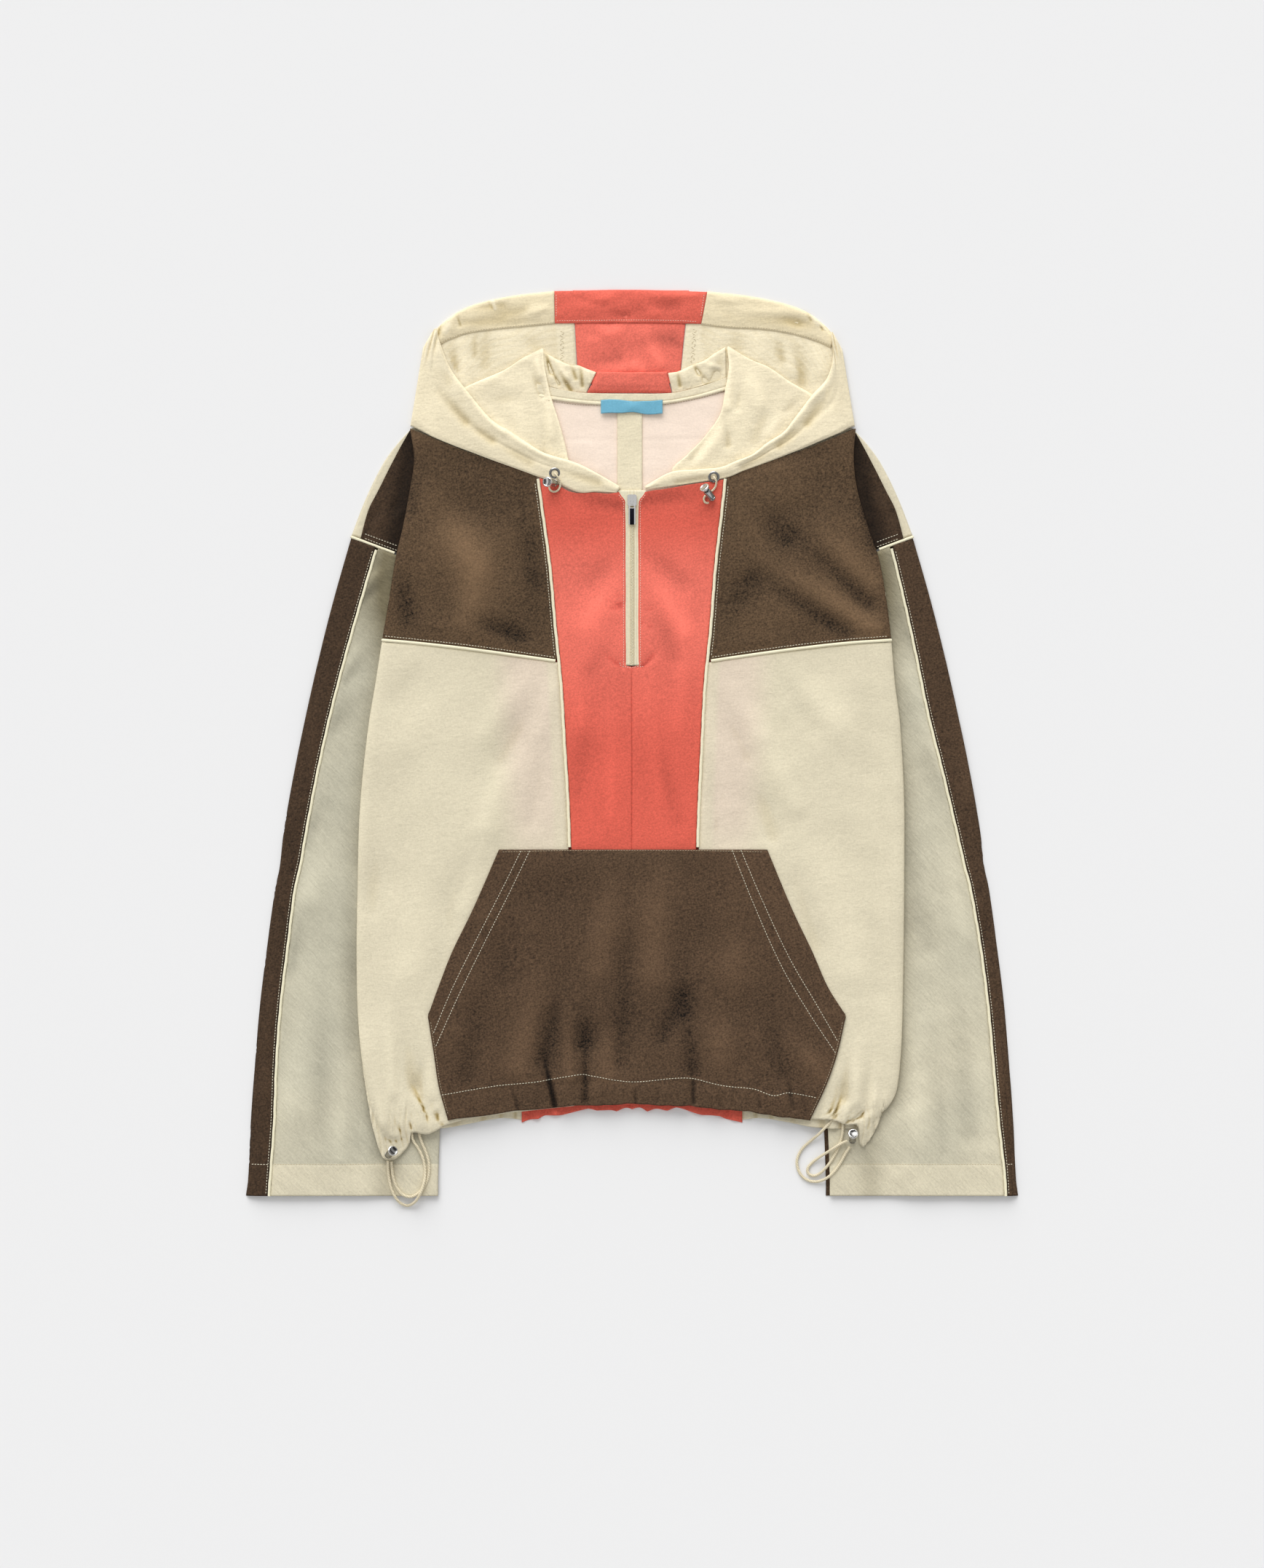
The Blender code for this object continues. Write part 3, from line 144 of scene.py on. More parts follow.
Edge = namedtuple("Edge", "y L R")
Sleeve = namedtuple("Sleeve", "y outer L R inner")
Point = namedtuple("Point", "x y")
Fold = namedtuple("Fold", "x top height width lean")
Section = namedtuple("Section", "rim_x rim_y seam_x seam_y rim_z seam_z")
Turn = namedtuple("Turn", "y z left right")
Lock = namedtuple("Lock", "foot_x foot_y foot_z heading tilt")
Eyelet = namedtuple("Eyelet", "x y z slope")
Cut = namedtuple("Cut", "width length fill held")
FoldStep = namedtuple("FoldStep", "strip inset under top z")
Stitch = namedtuple("Stitch", "step share width")
# Of a fabric's colours, the second is painted light on the coral and painted shade on the brown, the third
# painted light on the brown and painted shade on the sheer, and the crease colour is painted shade; elsewhere
# they are the cloth's own tones.
Fabric = namedtuple(
    "Fabric", "colour second warm deep shade stain mottle heather crinkle streak roughness sheen turn")

# Half widths of the body at the side folds, hem to shoulder
BODY_SIDE = (
    Edge(-362, 231, 222),
    Edge(-345, 240, 228),
    Edge(-328, 244.5, 243.5),
    Edge(-290, 251.5, 250),
    Edge(-245, 255.5, 252),
    Edge(-195, 256.5, 253),
    Edge(-120, 255.5, 253.5),
    Edge(-50, 253, 253.5),
    Edge(20, 245.5, 250),
    Edge(60, 239, 245),
    Edge(95, 233.5, 242),
    Edge(140, 226, 236.5),
    Edge(180, 219.5, 229),
    Edge(203, 214, 221),
    Edge(241, 207, 210),
    Edge(270, 203, 206.5),
    Edge(300, 207, 208.5),
)

# Half widths of the coral front panel, hem to neck
CENTRE_SIDE = (
    Edge(-362, 50, 52),
    Edge(-94, 56.5, 59.5),
    Edge(-50, 58, 61),
    Edge(5, 61.3, 63.7),
    Edge(59, 64.5, 66.5),
    Edge(114, 70, 72),
    Edge(168, 74.8, 76.2),
    Edge(222, 82, 82.3),
    Edge(262, 87.5, 86.5),
)

# Half widths of the sleeves: outer fold, brown strip beside it on each side, and hidden inner fold
SLEEVE = (
    Sleeve(-418, 359.5, 21, 11, 181),
    Sleeve(-403, 357.5, 20, 9.5, 181),
    Sleeve(-349, 355, 21.5, 13, 179),
    Sleeve(-294, 351, 19.5, 14, 176),
    Sleeve(-240, 346.5, 19, 14.5, 174),
    Sleeve(-186, 340, 19, 15, 172),
    Sleeve(-131, 332.5, 18.5, 17, 170),
    Sleeve(-112, 328.5, 19, 18, 169),
    Sleeve(-77, 324.5, 21, 22, 168),
    Sleeve(-22, 315, 22, 25.5, 166),
    Sleeve(32, 304, 23, 28, 164),
    Sleeve(86, 292, 25, 27, 162),
    Sleeve(141, 278, 26.5, 25, 161),
    Sleeve(197, 262, 27, 22.5, 160),
)

# Round the sleeve's outer fold, from the piping to the hidden inner fold: the point lies in from the
# fold by shares of the strip and of the under panel and by a distance, and its height follows
SLEEVE_FOLD = (
    FoldStep(1.0, 0.0, 0.0, 1.0, 0.0),
    FoldStep(0.5, 0.0, 0.0, 0.62, 1.18),
    FoldStep(0.0, 4.2, 0.0, 0.0, 3.0),
    FoldStep(0.0, 1.5, 0.0, 0.0, 2.6),
    FoldStep(0.0, 0.6, 0.0, 0.0, 1.7),
    FoldStep(0.0, 1.6, 0.0, 0.0, 0.8),
    FoldStep(0.0, 4.6, 0.0, 0.0, 0.5),
    FoldStep(0.0, 3.07, 0.333, 0.0, 0.5),
    FoldStep(0.0, 1.53, 0.667, 0.0, 0.5),
    FoldStep(0.0, 0.0, 1.0, 0.0, 0.5),
)

# Folds drawn up from the hem by the cord: on the pocket, and on each cream side
POCKET_FOLDS = (
    Fold(-128, -262, 1.1, 20, 0.02),
    Fold(-97, -238, 2.4, 13, 0.10),
    Fold(-62, -205, 2.6, 11, 0.05),
    Fold(-26, -255, 1.5, 15, 0.0),
    Fold(12, -262, 1.3, 15, 0.0),
    Fold(42, -225, 2.3, 13, -0.02),
    Fold(74, -232, 2.4, 11, -0.06),
    Fold(112, -290, 1.7, 11, -0.05),
    Fold(140, -285, 1.8, 10, -0.05),
)
SIDE_FOLDS = (
    Fold(183, -268, 2.2, 6, 0.04),
    Fold(199, -235, 2.8, 8, 0.06),
    Fold(216, -262, 2.0, 7, -0.10),
    Fold(231, -290, 1.4, 6, -0.16),
)

# The front's gathered hem beside the pocket, with the tab that the cord lock sits by
GATHERED_HEM = {
    "L": (Point(100, -339), Point(145, -345), Point(172, -351), Point(190, -360), Point(205, -358.5),
          Point(208, -370), Point(221, -383.5), Point(230.5, -384), Point(238, -366)),
    "R": (Point(100, -337), Point(145, -342), Point(170, -346), Point(188, -347), Point(199, -351),
          Point(210, -352), Point(212.5, -369.5), Point(216.5, -371.5), Point(220.5, -353)),
}
HEM_CORNER_Y = {"L": -349.5, "R": -343.5}

# Pocket outline from its top corner down, and the seams of the yoke and the shoulder line
POCKET_SIDE = (
    Edge(-94.8, 124, 126),
    Edge(-150, 148, 149),
    Edge(-190, 167.5, 168),
    Edge(-222, 180, 182),
    Edge(-244, 188, 195.6),
    Edge(-249, 190, 199),
    Edge(-254, 189.4, 198.1),
    Edge(-285, 184.5, 191),
    Edge(-315, 180, 180.5),
    Edge(-346, 171.5, 166),
)
YOKE_TOP = (Point(90.5, 253.2), Point(132, 268.5), Point(170, 282.8), Point(207.6, 299))
YOKE_FOOT = (Point(71.5, 81), Point(110, 86.5), Point(155, 92.5), Point(200, 97.5), Point(240, 100.6))
SHOULDER_LINE = (Point(0, 330.7), Point(50, 331.5), Point(85, 333), Point(130, 322.5), Point(170, 310.5),
                 Point(205, 299.8))
SHOULDER_FRONT = (Point(207.5, 297.5), Point(215, 283), Point(226, 262), Point(237, 240), Point(246, 222),
                  Point(253.5, 197.5))
SHOULDER_BACK = (Point(208.5, 298.5), Point(219, 284), Point(232, 266), Point(248, 234), Point(262, 199.5))

# Lower edge of the hood front, which is the top edge of the coral panel, from the yoke to the zip
NECK_FRONT = {
    "L": (Point(86.5, 252), Point(71, 247), Point(60, 240), Point(50, 238), Point(33, 238.5),
          Point(17, 237.5), Point(4.8, 239)),
    "R": (Point(86, 250.6), Point(72, 248.6), Point(50, 245.8), Point(36, 243.5), Point(22.5, 241.5),
          Point(12.5, 240.5), Point(4.8, 239)),
}

# Hood sides, from the seam with the coral centre, round the outer fold and along the front to the zip
HOOD_SECTIONS = {
    "L": (
        Section(55.6, 427.0, 50.8, 342, 0.5, 0.5),
        Section(90, 423.3, 84, 335.5, 0.5, 0.5),
        Section(130, 417.5, 125, 325, 0.5, 0.5),
        Section(160, 408, 160, 314.5, 0.5, 0.5),
        Section(180, 394, 184, 307, 0.5, 0.5),
        Section(189, 382, 200, 302.2, 0.55, 0.55),
        Section(193.3, 375.5, 204.8, 300.6, 0.95, 0.9),
        Section(194.6, 373.5, 206.4, 300.1, 1.9, 1.9),
        Section(191.0, 380, 205.4, 300.3, 3.1, 3.1),
        Section(183, 391.5, 202, 298.2, 4.0, 4.0),
        Section(179.5, 379, 193, 293.6, 4.6, 4.5),
        Section(170, 355, 184, 289.2, 5.1, 5.0),
        Section(154, 333, 168, 282.6, 5.6, 5.1),
        Section(132, 307, 148, 275.2, 6.0, 5.1),
        Section(115, 295.8, 129, 268, 6.2, 5.1),
        Section(98.6, 285, 110, 261.2, 6.3, 5.1),
        Section(81.7, 275, 88.5, 253.4, 6.3, 5.1),
        Section(58.5, 268, 71, 247.6, 6.2, 5.1),
        Section(45.7, 263, 50, 238.6, 6.1, 5.1),
        Section(29, 254, 33, 239.1, 5.8, 5.1),
        Section(11, 243.5, 14, 238.2, 5.3, 5.1),
    ),
    "R": (
        Section(53.6, 426.4, 44.8, 342, 0.5, 0.5),
        Section(90, 423, 84, 335.5, 0.5, 0.5),
        Section(130, 417, 125, 325, 0.5, 0.5),
        Section(160, 407.5, 160, 314.5, 0.5, 0.5),
        Section(180, 394.5, 184, 307, 0.5, 0.5),
        Section(190, 382, 200, 302.2, 0.55, 0.55),
        Section(194.3, 375, 205.8, 300.8, 0.95, 0.9),
        Section(195.8, 372, 207.6, 300.1, 1.9, 1.9),
        Section(192.4, 378, 206.6, 300.3, 3.1, 3.1),
        Section(186, 388, 203, 298.6, 4.0, 4.0),
        Section(187.5, 365, 196, 294.8, 4.6, 4.5),
        Section(182, 345, 188, 291.4, 5.1, 5.0),
        Section(168, 329, 175, 286, 5.6, 5.1),
        Section(151.4, 307, 160, 279.7, 6.0, 5.1),
        Section(141.4, 294.4, 147, 274.7, 6.2, 5.1),
        Section(126.4, 284.6, 133, 269.2, 6.3, 5.1),
        Section(112.5, 273.6, 118, 263.7, 6.3, 5.1),
        Section(97.3, 267.5, 103, 258.2, 6.3, 5.1),
        Section(82, 261.5, 88.5, 252.5, 6.2, 5.1),
        Section(60, 259.5, 64, 248.2, 6.0, 5.1),
        Section(36, 257, 38, 244.6, 5.8, 5.1),
        Section(11.5, 243.5, 13, 241.3, 5.3, 5.1),
    ),
}

# Coral hood centre along its length: out from the rim, under the fold, up to the ridge, down to the neck
HOOD_CENTRE = (
    Turn(427.3, 0.5, 55.1, 53.1),
    Turn(412, 0.5, 54.25, 51.6),
    Turn(396, 0.5, 53.35, 49.9),
    Turn(376, 0.5, 52.2, 47.8),
    Turn(357, 0.5, 51.1, 45.9),
    Turn(345, 0.5, 50.3, 44.6),
    Turn(341.4, 0.78, 47, 42),
    Turn(340.7, 1.4, 44, 40),
    Turn(342.6, 1.98, 39, 37),
    Turn(347, 2.05, 35, 34.5),
    Turn(349.8, 2.25, 33.2, 33.4),
    Turn(350.9, 2.8, 33, 33.2),
    Turn(349.6, 3.38, 32.6, 32.8),
    Turn(346, 3.45, 33.6, 33),
    Turn(341, 3.15, 36.5, 34.4),
    Turn(337, 2.2, 39, 35.6),
    Turn(334, 1.3, 40.8, 36.6),
    Turn(331.7, 0.78, 42, 37),
)

# Edges of the hood's folded parts, the neck tape and the rim's casing, from the middle outwards
STAND_RIDGE = {
    "L": (Point(33.4, 350.6), Point(41.5, 353.4), Point(50, 357), Point(57, 357), Point(72.8, 364),
          Point(84, 371)),
    "R": (Point(33.6, 349.8), Point(43, 351.3), Point(57, 357.5), Point(66.6, 361), Point(77.8, 368.6),
          Point(87, 374)),
}
STAND_NECK = {
    "L": (Point(42.7, 331.6), Point(60, 333), Point(73, 336), Point(88, 340)),
    "R": (Point(37.7, 331.6), Point(52, 334), Point(66, 338.4), Point(88, 345)),
}
FLAP_TOP = {
    "L": (Point(83.6, 373), Point(101.3, 363.8), Point(120.6, 351.8), Point(154, 337.4), Point(162, 331)),
    "R": (Point(89.6, 375), Point(109.8, 362.8), Point(127.8, 355), Point(147.2, 341.8), Point(168, 329.8),
          Point(173, 324)),
}
FLAP_EDGE = {
    "L": (Point(82.6, 371), Point(82.4, 361), Point(79.7, 345.6), Point(74.8, 325), Point(68, 304),
          Point(62.4, 283.3), Point(58.6, 266.5), Point(56, 258)),
    "R": (Point(88.8, 373), Point(90.3, 355.4), Point(86.8, 333.2), Point(82, 311), Point(66.6, 289),
          Point(50, 272.2), Point(37.5, 260.5), Point(38.5, 252.5)),
}
FLAP_FOOT = {
    "L": (Point(162, 331), Point(146, 311), Point(126, 294), Point(104, 279), Point(80, 266), Point(56, 258)),
    "R": (Point(173, 324), Point(158, 303), Point(140, 284), Point(116, 268), Point(84, 256),
          Point(38.5, 252.5)),
}
TAPE_LOW = (Point(-90, 327.4), Point(-75, 325), Point(-53, 322.2), Point(-30.6, 320.3), Point(0, 320),
            Point(29, 321), Point(58, 326), Point(76, 330.6), Point(90, 334.6))
TAPE_HIGH = (Point(-89, 340), Point(-74, 336.2), Point(-58, 333), Point(-42, 331.2), Point(0, 330.6),
             Point(37, 331.2), Point(58, 335.6), Point(74, 340.6), Point(89, 346))
CASING_RIM = {
    "L": (Point(72.6, 426.6), Point(112, 422), Point(149, 413.4), Point(168, 403.4), Point(180, 393.2),
          Point(185, 386)),
    "R": (Point(70.4, 426.2), Point(112, 421.4), Point(149, 412.8), Point(168, 403.8), Point(180, 393),
          Point(188, 383)),
}
CASING_STITCH = {
    "L": (Point(72.2, 396.2), Point(112, 392.4), Point(134.6, 390), Point(154, 387), Point(170, 381.5),
          Point(181, 376)),
    "R": (Point(64.7, 395.4), Point(92, 392.2), Point(119.5, 391), Point(147.2, 387), Point(172, 380),
          Point(185.6, 374)),
}

# Cord locks: where the foot of each barrel stands, its heading in plan, and its tilt, in degrees
LOCKS = {
    "hood_L": Lock(-71.9, 246.8, 7.65, 180, 65),
    "hood_R": Lock(75.3, 231.7, 8.9, 129, 36),
    "hem_L": Lock(-227.4, -379.6, 8.9, 45, 60),
    "hem_R": Lock(205.4, -366.4, 6.1, 90, 60),
}

# Middles of the eyelets and their slope, in degrees
EYELETS = {"L": Eyelet(-72.1, 256.0, 7.0, 6.8), "R": Eyelet(76.2, 252.6, 6.75, 7.5)}

# How dark a painted reflection of the room each plunger's face has, and the same for the barrels and the
# eyelets
FACE_SHADE = {"hood_L": 0.4, "hood_R": 0.3, "hem_L": 0.85, "hem_R": 0.82}
BARREL_SHADE = 0.6
EYELET_SHADE = 0.62

# Round profiles of the metal pieces, as radius and height
EYELET_RING = ((2.9, 0.3), (3.1, 0.1), (5.3, 0.0), (5.4, 0.25), (5.0, 0.72), (4.3, 0.98), (3.6, 0.92),
               (3.05, 0.65))
BARREL = ((0, 0), (2.7, 0), (3.2, 0.3), (3.4, 0.8), (3.4, 2.0), (3.15, 2.2), (3.15, 2.7), (3.4, 2.9),
          (3.4, 11.2), (3.2, 11.8), (2.9, 12), (2.45, 12), (2.45, 4), (0, 4))
PLUNGER = ((0, 6.7), (2.0, 6.7), (2.0, 14.7), (4.3, 14.7), (4.65, 14.9), (4.75, 15.3), (4.75, 16.2),
           (4.55, 16.6), (4.1, 16.85), (3.7, 16.9), (3.5, 16.75), (0, 16.75))

# Rows of stitches by thread: the step, and the share of it and the width that a stitch has
STITCHES = {
    "thread_white": Stitch(2.7, 0.8, 0.72),
    "thread_tan": Stitch(2.5, 0.8, 0.62),
    "thread_coral": Stitch(2.3, 0.66, 0.72),
    "thread_cream": Stitch(2.5, 0.8, 0.5),
}
# Rows of stitches that follow no edge of a table, in pixels of the photograph
SEAMS_IN_PIXELS = {
    "thread_white": (
        ((716, 1168), (690, 1221), (655, 1290), (622, 1357), (595, 1421)),
        ((728, 1168), (701, 1224), (665, 1296), (630, 1368), (599, 1437)),
        ((1005, 1167), (1032, 1235), (1072, 1325), (1110, 1390), (1147, 1446)),
        ((1017, 1167), (1045, 1233), (1084, 1316), (1120, 1378), (1151, 1432)),
        ((607, 1503), (679, 1491), (738, 1485), (797, 1475), (813, 1477), (868, 1485), (943, 1480),
         (995, 1491), (1034, 1495), (1062, 1504), (1082, 1500), (1123, 1507)),
    ),
    "thread_tan": (((690, 1170), (770, 1168.5), (868, 1168), (960, 1168.5), (1048, 1170)),),
    "thread_coral": (
        ((764, 441), (820, 440.5), (868, 440), (920, 440.5), (960, 442)),
        ((764, 405), (764, 438)),
        ((967, 405), (962, 438)),
        ((851, 913.5), (857, 916), (868, 917), (880, 915.5), (886, 917)),
        ((850, 911), (856, 912.5)),
    ),
    "thread_cream": (
        ((752, 551), (790, 556), (823, 557.5)),
        ((912, 556.5), (950, 550), (990, 540)),
        [(769 + 6 * (k % 2), 455 + 3.2 * k) for k in range(14)],
        [(951 + 6 * (k % 2) - 0.2 * k, 452 + 3.2 * k) for k in range(16)],
    ),
}

# Half widths of the overlocked seams beside the hood's coral centre
SERGED_HALF = {"L": 70.0, "R": 66.0}

# Middle lines of the cords that show, as x, y and height, from where each comes out
CORD_ROUTES = {
    "hood_cord_L": (
        (-72.1, 256.0, 8.2), (-71.6, 255.0, 10.0), (-69.4, 252.4, 9.9), (-67.4, 249.0, 8.5),
        (-66.8, 245.4, 7.1), (-67.8, 241.8, 6.9), (-70.2, 239.4, 6.9), (-73.2, 238.8, 6.9),
        (-75.8, 240.0, 6.9), (-77.1, 242.2, 7.0), (-77.0, 244.2, 7.3),
    ),
    "hood_cord_R": (
        (76.2, 252.6, 8.0), (76.6, 251.6, 9.8), (78.4, 248.6, 9.5), (78.2, 245.0, 7.8), (76.4, 241.4, 6.9),
        (72.6, 238.2, 6.9), (68.6, 235.4, 6.9), (66.9, 232.0, 6.9), (68.0, 229.0, 6.9), (70.0, 228.2, 7.2),
        (71.5, 228.6, 7.8),
    ),
    "hem_cord_L_outer": (
        (-205.0, -353.0, 7.1), (-205.2, -358.6, 7.1), (-204.2, -365.5, 6.4), (-199.2, -373.7, 5.7),
        (-195.2, -382.0, 5.6), (-193.2, -391.0, 5.6), (-193.0, -400.0, 6.6), (-194.6, -408.0, 8.3),
        (-197.4, -415.6, 8.9), (-202.4, -423.4, 5.6), (-209.4, -427.2, 2.0), (-216.4, -424.4, 3.6),
        (-221.4, -417.8, 5.6), (-225.0, -409.0, 5.6), (-226.8, -399.0, 5.6), (-227.4, -391.5, 6.4),
        (-227.4, -385.4, 8.6),
    ),
    "hem_cord_L_inner": (
        (-198.0, -352.5, 7.1), (-198.2, -359.7, 7.0), (-196.2, -367.5, 6.0), (-192.4, -376.4, 5.6),
        (-189.6, -386.0, 5.5), (-189.2, -395.0, 5.5), (-191.4, -404.5, 5.5), (-196.8, -413.2, 5.6),
        (-204.8, -418.4, 5.6), (-212.6, -417.4, 5.6), (-218.6, -411.2, 5.6), (-222.4, -401.5, 5.6),
        (-223.8, -392.0, 6.2), (-224.2, -385.6, 8.4),
    ),
    "hem_cord_R_outer": (
        (190.0, -341.0, 7.3), (185.6, -347.6, 7.3), (180.0, -354.0, 7.2), (174.2, -360.2, 5.4),
        (167.4, -366.2, 2.4), (158.6, -374.6, 1.7), (154.2, -384.0, 1.7), (154.8, -392.6, 1.7),
        (158.6, -399.6, 1.7), (165.0, -404.0, 1.7), (173.0, -404.8, 2.2), (181.0, -401.6, 4.8),
        (188.4, -395.4, 5.6), (194.4, -387.0, 5.6), (199.0, -378.4, 5.6), (203.2, -372.0, 5.8),
    ),
    "hem_cord_R_inner": (
        (196.6, -344.0, 7.3), (196.5, -354.0, 7.2), (196.0, -361.0, 6.2), (193.4, -370.4, 5.5),
        (188.6, -380.4, 5.5), (183.4, -388.4, 5.2), (177.2, -395.6, 2.9), (170.6, -399.4, 1.7),
        (165.0, -397.8, 1.7), (164.0, -392.6, 1.7), (168.4, -387.0, 1.8), (175.0, -381.8, 3.4),
        (181.2, -377.6, 6.0), (187.2, -373.6, 7.9), (193.6, -369.4, 8.4), (198.6, -367.2, 7.2),
        (200.4, -366.6, 6.6),
    ),
}

